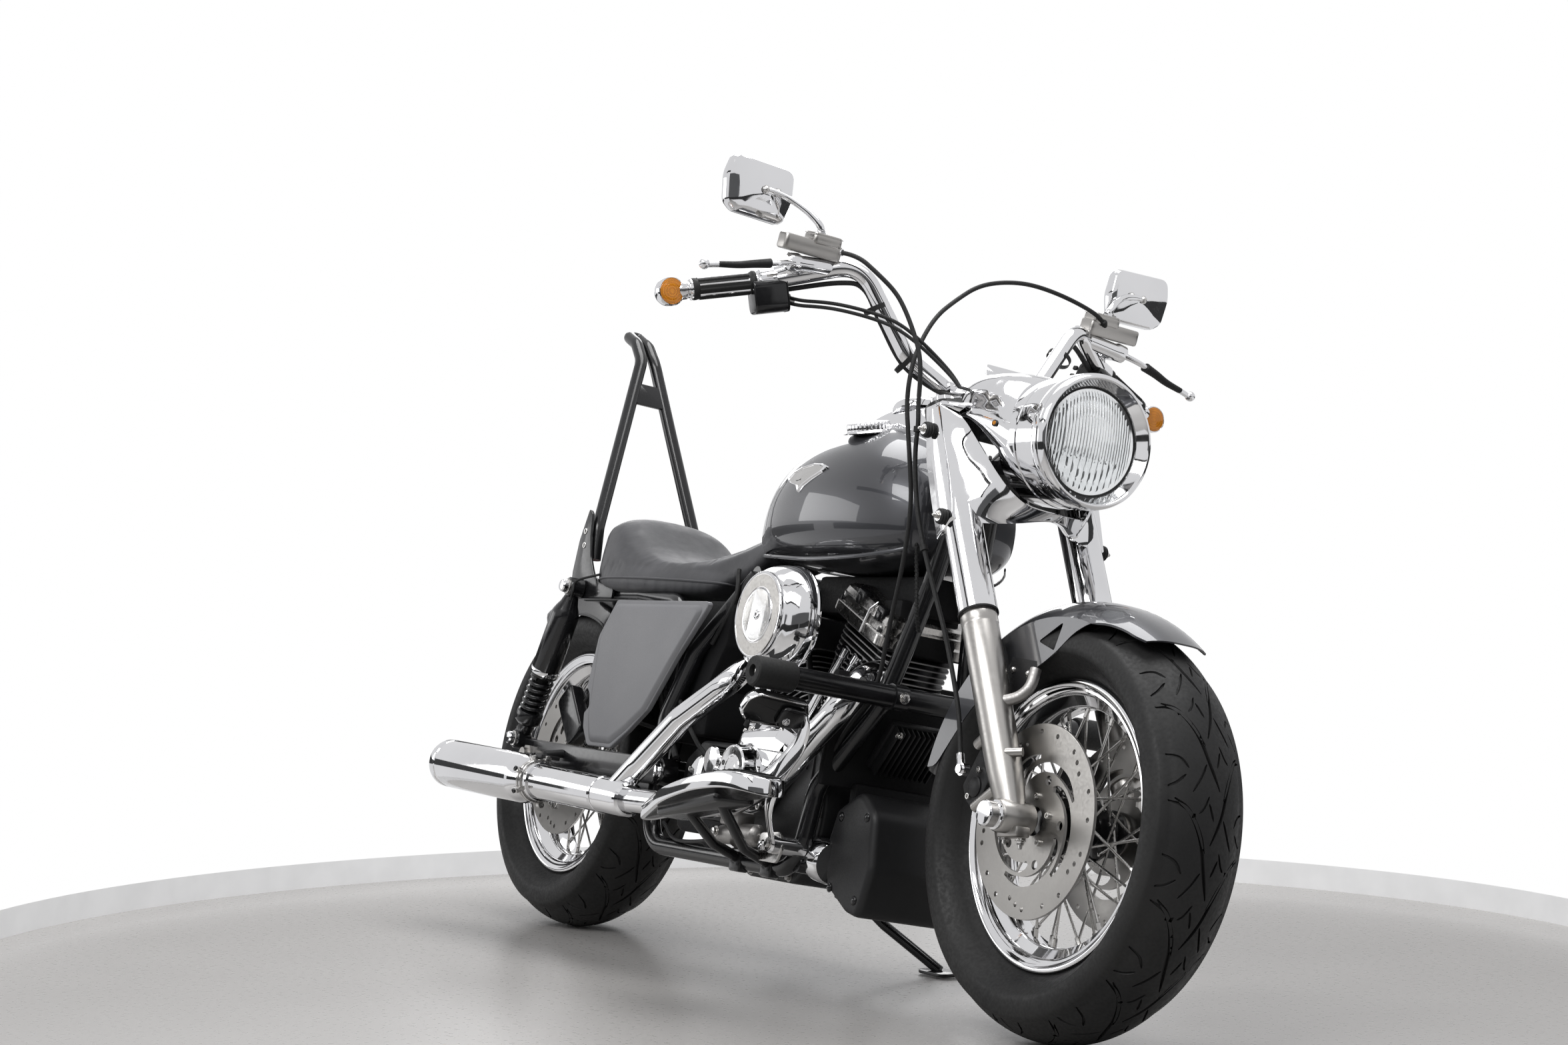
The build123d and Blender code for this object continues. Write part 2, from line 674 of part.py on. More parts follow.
def make_seat():
    """A solo seat: a raised bolster behind a dish and a nose that climbs the tank."""
    with BuildPart() as seat:
        with BuildSketch(side_plane(150)):
            with BuildLine():
                Polyline((60, 674), (62, 770), (84, 800), (130, 812), (186, 802), (240, 760), (300, 722),
                         (380, 708), (460, 716), (560, 752), (640, 782), (700, 786), (680, 748), (618, 700),
                         (560, 664), (330, seat_bottom), (120, seat_bottom), (110, 672), close=True)
            make_face()
        extrude(amount=300)
        with BuildSketch(Plane.XY.offset(640)):
            with BuildLine():
                Polyline((58, -84), (100, -116), (128, -136), (200, -150), (330, -146), (450, -120),
                         (560, -84), (704, -56), (704, 56), (560, 84), (450, 120), (330, 146), (200, 150),
                         (128, 136), (100, 116), (58, 84), close=True)
            make_face()
        extrude(amount=200, mode=Mode.INTERSECT)
        with BuildSketch(Plane(origin=(600, 0, 0), x_dir=(0, 1, 0), z_dir=(1, 0, 0))):
            with Locations((0, 700)):
                Rectangle(2 * backbone_radius + 14, 86)
                Rectangle(160, 40)
        extrude(amount=140, mode=Mode.SUBTRACT)
        with BuildSketch(side_plane(200)):
            with BuildLine():
                Polyline((600, 600), (618, 800), (640, 810), (720, 872), (760, 900), (760, 600), close=True)
            make_face()
        extrude(amount=400, mode=Mode.SUBTRACT)
    keep("seat", seat.part)


def make_rear_fender():
    """A short rounded mudguard over the tyre, from behind the seat post to the tail lamp."""
    start_angle, end_angle = 30.0, 118.0
    turn = radians(start_angle)
    outer_half = fender_half_width
    inner_half = fender_half_width - sheet
    with BuildPart() as fender:
        with BuildSketch(Plane(origin=rear_axle, x_dir=(0, 1, 0), z_dir=(sin(turn), 0, -cos(turn)))):
            with BuildLine():
                Line((-outer_half, 296), (-outer_half, 318))
                ThreePointArc((-outer_half, 318), (0, fender_radius + sheet), (outer_half, 318))
                Line((outer_half, 318), (outer_half, 296))
                Line((outer_half, 296), (inner_half, 296))
                Line((inner_half, 296), (inner_half, 317))
                ThreePointArc((inner_half, 317), (0, fender_radius), (-inner_half, 317))
                Line((-inner_half, 317), (-inner_half, 296))
                Line((-inner_half, 296), (-outer_half, 296))
            make_face()
        revolve(axis=Axis(rear_axle, (0, -1, 0)), revolution_arc=end_angle - start_angle)
        for side in (-1, 1):
            add(rod((120, side * (outer_half - 2), 606), (120, side * 110, 642), 7))
            add(rod((60, side * 110, strut_z), (180, side * 110, strut_z), strut_radius + seat_gap),
                mode=Mode.SUBTRACT)
    keep("rear_fender", fender.part)


def make_sissy_bar():
    """Side plates on the rear struts and an A-shaped bar curving back at its peak."""
    leg_y = plate_y - seat_gap - sissy_tube_radius
    with BuildPart() as plates:
        with BuildSketch(side_plane(-plate_y)):
            with BuildLine():
                Polyline((30, 800), (74, 800), (88, 700), (100, 660), (214, 656), (214, 636), (44, 636),
                         (34, 720), close=True)
            make_face()
            with Locations((shock_top_x, shock_top_z)):
                Circle(8.3, mode=Mode.SUBTRACT)
            with Locations((54, 770), (58, 742)):
                Circle(plate_hole_radius, mode=Mode.SUBTRACT)
        extrude(amount=plate_thickness)
        mirror(about=Plane.XZ)
    keep("sissy_bar_plates", plates.part)
    right = [(70, -leg_y, 716), (62, -leg_y, 778), (-17, -52, 1011), (-66, -21, 1150), (-150, -18, 1208)]
    route = right + [(x, -y, z) for x, y, z in reversed(right)]
    with BuildPart() as bar:
        add(bent_tube(route, sissy_tube_radius, largest=60))
        with BuildSketch(Plane(origin=(-36, 0, 1066), x_dir=(0, 1, 0), z_dir=(0.94, 0, 0.34))):
            with BuildLine():
                Polyline((-42, -18), (42, -18), (31, 24), (-31, 24), close=True)
            make_face()
            with Locations((-18, -4), (18, -4), (0, 12)):
                Circle(plate_hole_radius, mode=Mode.SUBTRACT)
        extrude(amount=4, both=True)
    keep("sissy_bar", bar.part)


def make_side_covers():
    """Flat-sided panels below the seat with a cut rear edge."""
    with BuildPart() as covers:
        with BuildSketch(side_plane(-158)):
            with BuildLine():
                Polyline((290, 628), (662, 628), (560, 530), (478, 430), (356, 352), (262, 352), (232, 396),
                         (216, 452), (240, 560), close=True)
            make_face()
        extrude(amount=5)
        for x, z, y in ((480, 560, -133), (330, strut_z - strut_radius - 15, -100)):
            with BuildSketch(side_plane(y)):
                with Locations((x, z)):
                    Circle(12)
            extrude(amount=y + 158)
        mirror(about=Plane.XZ)
    keep("side_covers", covers.part)


def make_tail():
    """A small tail lamp on the mudguard's end and a side plate holder on the left."""
    angle = radians(108)
    spot = Vector(fender_radius * cos(angle), 0, rear_axle_z + fender_radius * sin(angle))
    out = Vector(cos(angle), 0, sin(angle))
    with BuildPart() as lamp:
        with BuildSketch(Plane(origin=spot + out * (sheet + 0.6), x_dir=(0, 1, 0), z_dir=out)):
            RectangleRounded(84, 40, 14)
        extrude(amount=26, taper=6)
    keep("tail_lamp", lamp.part)
    with BuildPart() as holder:
        with BuildSketch(side_plane(192)):
            with Locations((-118, rear_axle_z + 26)):
                RectangleRounded(180, 200, 10)
            with Locations((-190, rear_axle_z + 96), (-46, rear_axle_z + 96)):
                Circle(3.2, mode=Mode.SUBTRACT)
        extrude(amount=3)
        with BuildSketch(side_plane(189)):
            with Locations((-48, rear_axle_z)):
                RectangleRounded(130, 36, 10)
            with Locations((0, rear_axle_z)):
                Circle(axle_radius + 0.3, mode=Mode.SUBTRACT)
        extrude(amount=4)
        add(rod((0, 156.3, rear_axle_z), (0, 186, rear_axle_z), 20))
        add(rod((0, 150, rear_axle_z), (0, 190, rear_axle_z), axle_radius + 0.3), mode=Mode.SUBTRACT)
    keep("licence_plate", holder.part)


# ---------------------------------------------------------------- rider's controls and guards
def make_footboards():
    """Teardrop boards on brackets from the lower rails."""
    board = Plane(origin=(board_x, -board_y, board_z), x_dir=(cos(board_tilt), 0, sin(board_tilt)),
                  z_dir=(-sin(board_tilt), 0, cos(board_tilt)))
    with BuildPart() as boards:
        with BuildSketch(board):
            with BuildLine():
                Line((-202, -10), (-72, -46))
                ThreePointArc((-72, -46), (60, -56), (176, -40))
                ThreePointArc((176, -40), (204, 6), (176, 44))
                Line((176, 44), (-72, 46))
                Line((-72, 46), (-194, 20))
                ThreePointArc((-194, 20), (-208, 4), (-202, -10))
            make_face()
        extrude(amount=20)
        for x in (860, 965):
            under = board_z + (x + 95 - board_x) * tan(board_tilt) - 10
            add(bent_tube([(x, -rail_y, rail_z), (x + 30, -205, 212), (x + 95, -board_y, under)], 9, largest=40))
        with BuildSketch(board):
            Rectangle(200, 70)
        extrude(amount=-18)
        add(rod((820, -rail_y, rail_z), (995, -rail_y, rail_z), tube_radius + seat_gap), mode=Mode.SUBTRACT)
        mirror(about=Plane.XZ)
    keep("footboards", boards.part)


def make_foot_controls():
    """The brake pedal on the right and the heel-and-toe shift lever on the left."""
    with BuildPart() as controls:
        with BuildSketch(side_plane(-262)):
            with Locations(Location((1178, 434), -16)):
                SlotOverall(86, 48)
        extrude(amount=74)
        add(bent_tube([(1184, -266, 430), (1186, -248, 404), (1160, -232, 356), (1104, -208, 280),
                       (1042, -170, 226)], 9, largest=50))
        add(rod((1042, -rail_y - tube_radius + 4, 226), (1042, -190, 226), 14))
        add(bent_tube(front_rail(-1), tube_radius + seat_gap, largest=60), mode=Mode.SUBTRACT)
        add(bent_tube([(1150, 286, 408), (1120, 256, 388), (930, 236, 322), (868, 256, 388), (850, 286, 402)],
                      8, largest=60))
        add(rod((930, 186.3, 320), (930, 236, 320), 12))
        for x in (1150, 850):
            add(rod((x, 262, 404), (x, 316, 404), 14))
    keep("foot_controls", controls.part)


def front_rail(side):
    """The down tube of one side, from under the tank to the lower rail."""
    return [(1185, side * 44, 680), (1150, side * 80, 478), (1052, side * 118, 330),
            (1040, side * rail_y, rail_z), (509, side * rail_y, rail_z)]


def make_guards():
    """The straight engine guard, the chin cover in front of the crankcase and the regulator."""
    reach = tube_radius + guard_radius + seat_gap
    with BuildPart() as guard:
        add(rod((guard_x, -284, guard_z), (guard_x, 284, guard_z), guard_radius))
        for side in (-1, 1):
            add(rod((guard_x, side * 280, guard_z), (guard_x, side * 352, guard_z), 25))
            add(rod((guard_x - 26, side * 79, guard_z - 8), (guard_x, side * 79, guard_z), 15))
        for side in (-1, 1):
            add(bent_tube(front_rail(side), tube_radius + seat_gap, largest=60), mode=Mode.SUBTRACT)
    keep("engine_guard", guard.part)
    with BuildPart() as chin:
        with BuildSketch(side_plane(96)):
            with BuildLine():
                Polyline((1060, 225), (1084, 300), (1150, 338), (1204, 300), (1216, 210), (1196, 128),
                         (1150, 136), (1086, 170), close=True)
            make_face()
        extrude(amount=192)
        fillet(chin.edges().filter_by(Axis.Y, reverse=True).filter_by(GeomType.LINE), 16)
        for side in (-1, 1):
            add(rod((1090, side * 86, 240), (1050, side * 121, 240), 8))
            add(bent_tube(front_rail(side), tube_radius + seat_gap, largest=60), mode=Mode.SUBTRACT)
    keep("chin_cover", chin.part)
    with BuildPart() as regulator:
        with BuildSketch(side_plane(56)):
            with Locations(Location((1128, 410), -38)):
                Rectangle(34, 110)
                with Locations(*[(17, -50 + 10 * rib) for rib in range(11)]):
                    Rectangle(24, 3)
        extrude(amount=112)
        for side in (-1, 1):
            add(rod((1118, side * 50, 410), (1106, side * 98, 412), 8))
            add(bent_tube(front_rail(side), tube_radius + seat_gap, largest=60), mode=Mode.SUBTRACT)
    keep("regulator", regulator.part)


# ---------------------------------------------------------------- steering
def make_fork():
    """Clamps with their stem, tubes, bright covers, sliders with axle lugs, and the axle."""
    with BuildPart() as clamps:
        for height, thickness in ((clamp_low, clamp_thickness), (clamp_high, clamp_thickness - 4)):
            with BuildSketch(fork_plane(height)):
                with BuildSketch(mode=Mode.PRIVATE) as outline:
                    with Locations((0, fork_half_spacing), (0, -fork_half_spacing)):
                        Circle(cover_radius)
                    with Locations((46, 0)):
                        Circle(30)
                make_hull(outline.sketch.edges())
                with Locations((0, fork_half_spacing), (0, -fork_half_spacing)):
                    Circle(fork_tube_radius + seat_gap, mode=Mode.SUBTRACT)
            extrude(amount=thickness)
        add(rod(on_stem(812), on_stem(962), stem_radius))
    keep("fork_clamps", clamps.part)
    with BuildPart() as tubes:
        add(rod(on_fork(170, -fork_half_spacing), on_fork(fork_length, -fork_half_spacing), fork_tube_radius))
        mirror(about=Plane.XZ)
    keep("fork_tubes", tubes.part)
    with BuildPart() as sliders:
        add(rod(on_fork(4, -fork_half_spacing), on_fork(slider_length, -fork_half_spacing), slider_radius))
        add(lateral_disc(front_axle[0], front_axle[2], -147, -89, 25))
        add(rod(on_fork(160, -fork_half_spacing), on_fork(slider_length + 5, -fork_half_spacing),
                fork_tube_radius + seat_gap), mode=Mode.SUBTRACT)
        add(lateral_disc(front_axle[0], front_axle[2], -150, -85, axle_radius + 0.2), mode=Mode.SUBTRACT)
        mirror(about=Plane.XZ)
    keep("fork_sliders", sliders.part)
    with BuildPart() as covers:
        low, high = slider_length + seat_gap, clamp_low - seat_gap
        add(rod(on_fork(low, -fork_half_spacing), on_fork(high, -fork_half_spacing), cover_radius))
        add(rod(on_fork(low - 5, -fork_half_spacing), on_fork(high + 5, -fork_half_spacing),
                fork_tube_radius + seat_gap), mode=Mode.SUBTRACT)
        mirror(about=Plane.XZ)
    keep("fork_covers", covers.part)
    with BuildPart() as shaft:
        add(rod((wheelbase, -150, front_axle_z), (wheelbase, 150, front_axle_z), axle_radius))
        for side in (-1, 1):
            add(rod((wheelbase, side * 147.3, front_axle_z), (wheelbase, side * 171, front_axle_z), 20))
    keep("front_axle", shaft.part)
    with BuildPart() as calipers:
        with BuildSketch(side_plane(-front_rotor_y + 22)):
            with Locations(Location((wheelbase - 114, front_axle_z + 58), 64)):
                RectangleRounded(116, 62, 22)
        extrude(amount=60)
        with BuildSketch(side_plane(-front_rotor_y + caliper_slot / 2)):
            with Locations((wheelbase, front_axle_z)):
                Circle(rotor_radius + 4)
        extrude(amount=caliper_slot, mode=Mode.SUBTRACT)
        for height, reach in ((60, -96), (150, -60)):
            add(rod(on_fork(height, -fork_half_spacing, -10), on_fork(height, -fork_half_spacing + 6, reach), 9))
        add(rod(on_fork(4, -fork_half_spacing), on_fork(slider_length, -fork_half_spacing),
                slider_radius + seat_gap), mode=Mode.SUBTRACT)
        mirror(about=Plane.XZ)
    keep("front_calipers", calipers.part)


def make_front_fender():
    """A mudguard close over the tyre, held by a lug inside each slider."""
    start_angle, end_angle = 58.0, 172.0
    turn = radians(start_angle)
    radius = front_tyre_radius + 18
    shoulder = radius - 32.5
    skirt = radius - 46.5
    half = front_tyre_width / 2 + 10
    bracket = [(0.541, 0.789), (0.334, 0.854), (0.068, 0.884), (0.216, 0.701), (0.298, 0.559),
               (0.399, 0.559), (0.446, 0.656)]
    with BuildPart() as fender:
        with BuildSketch(Plane(origin=front_axle, x_dir=(0, 1, 0), z_dir=(sin(turn), 0, -cos(turn)))):
            with BuildLine():
                Line((-half, skirt), (-half, shoulder))
                ThreePointArc((-half, shoulder), (0, radius + sheet), (half, shoulder))
                Line((half, shoulder), (half, skirt))
                Line((half, skirt), (half - sheet, skirt))
                Line((half - sheet, skirt), (half - sheet, shoulder - 1))
                ThreePointArc((half - sheet, shoulder - 1), (0, radius), (sheet - half, shoulder - 1))
                Line((sheet - half, shoulder - 1), (sheet - half, skirt))
                Line((sheet - half, skirt), (-half, skirt))
            make_face()
        revolve(axis=Axis(front_axle, (0, -1, 0)), revolution_arc=end_angle - start_angle)
        with BuildSketch(side_plane(-half + sheet)):
            with BuildLine():
                Polyline([(wheelbase - back * radius, front_axle_z + rise * radius) for back, rise in bracket],
                         close=True)
            make_face()
        extrude(amount=sheet)
        add(rod(on_fork(238, -half + 1), on_fork(238, -fork_half_spacing + 12), 12))
        add(rod(on_fork(170, -fork_half_spacing), on_fork(300, -fork_half_spacing),
                slider_radius + seat_gap), mode=Mode.SUBTRACT)
    right = fender.part & Box(1000, 300, 2000, align=(Align.CENTER, Align.MAX, Align.CENTER)).moved(
        Location((wheelbase, 0, 0)))
    with BuildPart() as whole:
        add(right)
        mirror(about=Plane.XZ)
    keep("front_fender", whole.part)


def make_headlamp():
    """The bright shell round the fork's top, the lamp's bowl and bezel, and its lens."""
    lamp_z = 917.0
    across = Plane(origin=(1400, 0, lamp_z), x_dir=(1, 0, 0), z_dir=(0, -1, 0))
    axis = Axis((1400, 0, lamp_z), (1, 0, 0))
    with BuildPart() as outer:
        with BuildSketch(across):
            with BuildLine():
                Polyline((-150, 0), (-150, 60), (-110, 96), (-40, 112), (40, 112), (92, 102), (92, 0), close=True)
            make_face()
        revolve(axis=axis)
        with BuildSketch(side_plane(154)):
            with BuildLine():
                Polyline((1226, 962), (1240, 1020), (1300, 1030), (1400, 1010), (1440, 880), (1462, 800),
                         (1420, 752), (1334, 740), close=True)
            make_face()
        extrude(amount=308)
        with BuildSketch(Plane.XY.offset(700)):
            with BuildLine():
                Polyline((1200, -153), (1392, -153), (1440, -112), (1500, -104), (1500, 104), (1440, 112),
                         (1392, 153), (1200, 153), close=True)
            make_face()
        extrude(amount=400, mode=Mode.INTERSECT)
    with BuildPart() as inner:
        with BuildSketch(across):
            with BuildLine():
                Polyline((-146, 0), (-146, 57), (-108, 92), (-40, 108), (40, 108), (93, 98), (93, 0), close=True)
            make_face()
        revolve(axis=axis)
        with BuildSketch(side_plane(151)):
            with BuildLine():
                Polyline((1150, 700), (1150, 1016), (1236, 1016), (1300, 1026), (1397, 1007), (1436, 880), (1458, 802),
                         (1418, 756), (1340, 700), close=True)
            make_face()
        extrude(amount=302)
        with BuildSketch(Plane.XY.offset(650)):
            with BuildLine():
                Polyline((1100, -150), (1390, -150), (1438, -109), (1504, -101), (1504, 101), (1438, 109),
                         (1390, 150), (1100, 150), close=True)
            make_face()
        extrude(amount=460, mode=Mode.INTERSECT)
    with BuildPart() as nacelle:
        add(outer.part)
        add(inner.part, mode=Mode.SUBTRACT)
        with BuildSketch(side_plane(60)):
            with Locations((1206, 990)):
                Rectangle(150, 130)
        extrude(amount=120, mode=Mode.SUBTRACT)
        for height, reach in ((678, fork_tube_radius), (515, cover_radius)):
            for side in (-1, 1):
                add(rod(on_fork(height, side * 164), on_fork(height, side * (fork_half_spacing + reach + 0.5)), 6))
                add(rod(on_fork(height, side * 160), on_fork(height, side * 153.5), 13))
    keep("nacelle", nacelle.part)
    with BuildPart() as lamp:
        with BuildSketch(Plane(origin=(1500, 0, lamp_z), x_dir=(1, 0, 0), z_dir=(0, -1, 0))):
            with BuildLine():
                Polyline((-92, 0), (-92, 40), (-76, 72), (-26, 90), (-7.6, 90), (-7.6, 103), (2, 106),
                         (22, 103), (24, 96), (10, 86), (2, 85), (-24, 85), (-72, 68), (-87, 38), (-87, 0),
                         close=True)
            make_face()
        revolve(axis=Axis((1500, 0, lamp_z), (1, 0, 0)))
    keep("headlamp", lamp.part)
    with BuildPart() as lens:
        with BuildSketch(Plane(origin=(1500, 0, lamp_z), x_dir=(1, 0, 0), z_dir=(0, -1, 0))):
            with BuildLine():
                Polyline((4, 0), (0, 84.6), (6, 84.6), (13, 60), (17, 32), (19, 0), close=True)
            make_face()
        revolve(axis=Axis((1500, 0, lamp_z), (1, 0, 0)))
    keep("headlamp_lens", lens.part)


def reservoir(side, margin):
    """The block on each handlebar perch that holds the brake fluid, or the clutch lever."""
    tilt = (0.2, 0, 0.98)
    with BuildPart() as block:
        with BuildSketch(Plane(origin=(1076, side * 288, 1176 - margin), x_dir=(0, -1, 0), z_dir=tilt)):
            RectangleRounded(64 + 2 * margin, 44 + 2 * margin, 8)
        extrude(amount=44 + 2 * margin)
    return block.part


def switch_housing(side, margin):
    """The block inboard of each grip, hung below the bar."""
    middle = Plane(origin=(1019, side * 340, 1130), x_dir=(1, 0, 0), z_dir=(-0.25, side * 0.922, -0.297))
    with BuildPart() as block:
        with BuildSketch(middle):
            RectangleRounded(46 + 2 * margin, 56 + 2 * margin, 12)
        extrude(amount=19 + margin, both=True)
    return block.part


def make_bars():
    """The tall handlebar with grips, controls, mirrors and bar-end signals."""
    right = [(1164, -45, 1000), (1142, -130, 1046), (1107, -223, 1184), (1016, -352, 1132), (984, -470, 1094)]
    grip_end = Vector(*right[-1])
    grip_start = Vector(*right[-2])
    along = (grip_end - grip_start).normalized()
    with BuildPart() as bar:
        add(bent_tube(right[::-1] + [(x, -y, z) for x, y, z in right], bar_radius, largest=60))
        for side in (-1, 1):
            top = clamp_high + clamp_thickness - 4
            add(rod((1164, side * 40, 1000), on_fork(top + 20, side * 40, 0), 16))
            add(rod(on_fork(top + seat_gap, side * 40, 0), on_fork(top + 20, side * 40, 0), 18))
    keep("handlebar", bar.part)
    with BuildPart() as grips:
        place = Plane(origin=grip_start + along * 12.3, z_dir=along)
        with BuildSketch(place):
            Circle(grip_radius)
            Circle(bar_radius + seat_gap, mode=Mode.SUBTRACT)
        extrude(amount=grip_length)
        mirror(about=Plane.XZ)
    keep("grips", grips.part)
    with BuildPart() as signals:
        start = grip_end + along * seat_gap
        with BuildSketch(Plane(origin=start, z_dir=along)):
            Circle(16)
        extrude(amount=16)
        with BuildSketch(Plane(origin=start + along * 32, z_dir=(1, 0, 0))):
            Circle(24)
        extrude(amount=18, both=True)
        mirror(about=Plane.XZ)
    keep("bar_end_signals", signals.part)
    with BuildPart() as controls:
        perch = grip_start - along * 26
        lever_root = Vector(1066, -318, 1166)
        with BuildSketch(Plane(origin=perch, z_dir=along)):
            Circle(24)
        extrude(amount=38)
        add(rod(perch, lever_root, 12))
        add(rod(perch, (1076, -288, 1190), 14))
        add(bent_tube([tuple(lever_root), (1096, -372, 1152), (1088, -440, 1134), (1087, -499, 1121)], 6))
        add(reservoir(-1, 0))
        add(switch_housing(-1, 0))
        with BuildSketch(Plane(origin=(1087, -499, 1121), x_dir=(0, 1, 0), z_dir=(1, 0, 0))):
            with BuildLine():
                ThreePointArc((0, -9), (9, 0), (0, 9))
                Line((0, 9), (0, -9))
            make_face()
        revolve(axis=Axis((1087, -499, 1121), (0, 0, 1)))
        add(bent_tube(right, bar_radius + seat_gap, largest=60), mode=Mode.SUBTRACT)
        mirror(about=Plane.XZ)
    keep("hand_controls", controls.part)
    with BuildPart() as mirrors:
        foot = Vector(1076, -296, 1176) + Vector(0.2, 0, 0.98).normalized() * 44.4
        add(bent_tube([tuple(foot), tuple(foot + Vector(0.2, 0, 0.98) * 14), (1058, -340, 1262),
                       (1036, -390, 1274)], 5, largest=20))
        with BuildSketch(Plane(origin=(1036, -395, 1278), x_dir=(0, -1, 0), z_dir=(-1, 0, 0.06))):
            with BuildLine():
                Polyline((-62, 44), (46, 50), (60, -20), (26, -54), (-40, -48), (-66, -10), close=True)
            make_face()
        extrude(amount=18)
        mirror(about=Plane.XZ)
    keep("mirrors", mirrors.part)


def make_cables():
    """Two throttle cables, the front brake hose and the clutch cable, whole along their routes."""
    throttle = [(1016, -322, 1122), (1036, -300, 1112), (1085, -264, 1113), (1118, -236, 1109),
                (1143, -196, 1103), (1165, -168, 1093), (1186, -138, 1071), (1203, -104, 1043),
                (1218, -80, 1018), (1236, -67, 988), (1210, -64, 944), (1210, -52, 884), (1220, -34, 844)]
    closing = [(1016, -326, 1113), (1036, -304, 1103), (1085, -268, 1104), (1118, -240, 1100),
               (1143, -200, 1094), (1166, -172, 1084), (1189, -144, 1064), (1208, -111, 1038),
               (1225, -86, 1014), (1245, -70, 986), (1218, -68, 944), (1220, -56, 890), (1234, -30, 859)]
    hose = [(1086, -264, 1198), (1122, -246, 1196), (1151, -212, 1165), (1166, -186, 1142),
            (1179, -172, 1117), (1194, -158, 1081), (1208, -148, 1045), (1215, -144, 1008),
            (1212, -138, 960), (1218, -136, 930), (1214, -132, 880), (1236, -126, 791), (1270, -122, 725),
            (1317, -116, 648), (1353, -112, 592), (1393, -110, 521), (1428, -114, 468), (1461, -123, 406),
            (1470, -125, 390)]
    clutch = [(1088, 292, 1198), (1114, 272, 1206), (1100, 212, 1227), (1098, 130, 1235),
              (1105, 66, 1225), (1110, 8, 1204), (1121, -40, 1166), (1145, -90, 1124), (1166, -128, 1061),
              (1185, -146, 1009), (1184, -143, 963), (1194, -138, 917), (1202, -130, 864),
              (1204, -116, 800), (1196, -110, 700), (1176, -106, 600), (1160, -99, 492),
              (1108, -118, 430), (1062, -120, 350)]
    with BuildPart() as cables:
        add(bent_tube(throttle, cable_radius))
        add(bent_tube(closing, cable_radius))
        add(bent_tube(hose, hose_radius))
        add(rod((1476, -130, 384), (1476, -115 - seat_gap, 384), 10))
        add(bent_tube(clutch, hose_radius))
        add(bent_tube([(1262, -6, 890), (1215, -30, 838)] + front_rail(-1), tube_radius + seat_gap, largest=60),
            mode=Mode.SUBTRACT)
        for side in (-1, 1):
            add(reservoir(side, seat_gap), mode=Mode.SUBTRACT)
            add(switch_housing(side, seat_gap), mode=Mode.SUBTRACT)
    keep("control_cables", cables.part)


# ---------------------------------------------------------------- side stand
def make_side_stand():
    """A leg from a pivot under the left rail to a foot flat on the floor."""
    floor_x, floor_y = 946.0, 250.0
    normal = Vector(0, -sin(lean), cos(lean))
    contact = Vector(floor_x, floor_y, floor_y * tan(lean))
    pivot = Vector(808, 142, 158)
    with BuildPart() as stand:
        with BuildSketch(Plane(origin=contact, x_dir=(1, 0, 0), z_dir=normal)):
            RectangleRounded(86, 46, 18)
        extrude(amount=6)
        add(bent_tube([tuple(pivot), (858, 178, 116), tuple(contact + normal * 9)], 9, largest=60))
        add(rod(pivot + Vector(0, -8, 0), pivot + Vector(0, 12, 0), 18))
        add(rod(pivot + Vector(0, -12, 0), pivot + Vector(0, 14, 0), 6 + running_gap), mode=Mode.SUBTRACT)
    keep("side_stand", stand.part)
    with BuildPart() as bracket:
        add(rod(pivot + Vector(0, -14, 0), pivot + Vector(0, 20, 0), 6))
        add(rod(pivot + Vector(0, -14, 0), pivot + Vector(0, -9, 0), 20))
        with BuildSketch(side_plane(pivot.Y - 9)):
            with Locations((pivot.X, pivot.Z + 12)):
                Rectangle(44, 34)
        extrude(amount=5)
        add(rod((pivot.X - 40, rail_y, rail_z), (pivot.X + 40, rail_y, rail_z), tube_radius + seat_gap),
            mode=Mode.SUBTRACT)
    keep("stand_bracket", bracket.part)


make_frame()
make_swingarm()
make_rear_axle()
make_shocks()
make_rear_caliper()
make_drive_belt()
make_engine()
make_exhaust()
make_tank()
make_seat()
make_rear_fender()
make_sissy_bar()
make_side_covers()
make_tail()
make_footboards()
make_foot_controls()
make_guards()
make_fork()
make_front_fender()
make_headlamp()
make_bars()
make_cables()
make_wheels()
make_side_stand()

# ---------------------------------------------------------------- lean it over and write it
onto_stand = Location((0, 0, 0), (-lean_angle, 0, 0))
boxes = [part.moved(onto_stand).bounding_box() for part in pieces.values()]
middle_x = (min(box.min.X for box in boxes) + max(box.max.X for box in boxes)) / 2
middle_y = (min(box.min.Y for box in boxes) + max(box.max.Y for box in boxes)) / 2
parked = Location((-middle_x, -middle_y, 0)) * onto_stand
for name, part in pieces.items():
    placed = part.moved(parked)
    placed.label = name
    export_step(placed, f"parts/{name}.step")
print("moved by", round(-middle_x, 3), round(-middle_y, 3), "lean", lean_angle)
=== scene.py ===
"""Looks of the touring motorcycle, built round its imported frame.

Shapes are drawn with the motorcycle upright, in millimetres: X forward, Y to its left, Z up,
and the origin on the floor under the rear axle. PLACE leans them onto the side stand.
"""
import json
import math

import bmesh
import bpy
from mathutils import Matrix, Vector
from mathutils.bvhtree import BVHTree
from mathutils.kdtree import KDTree


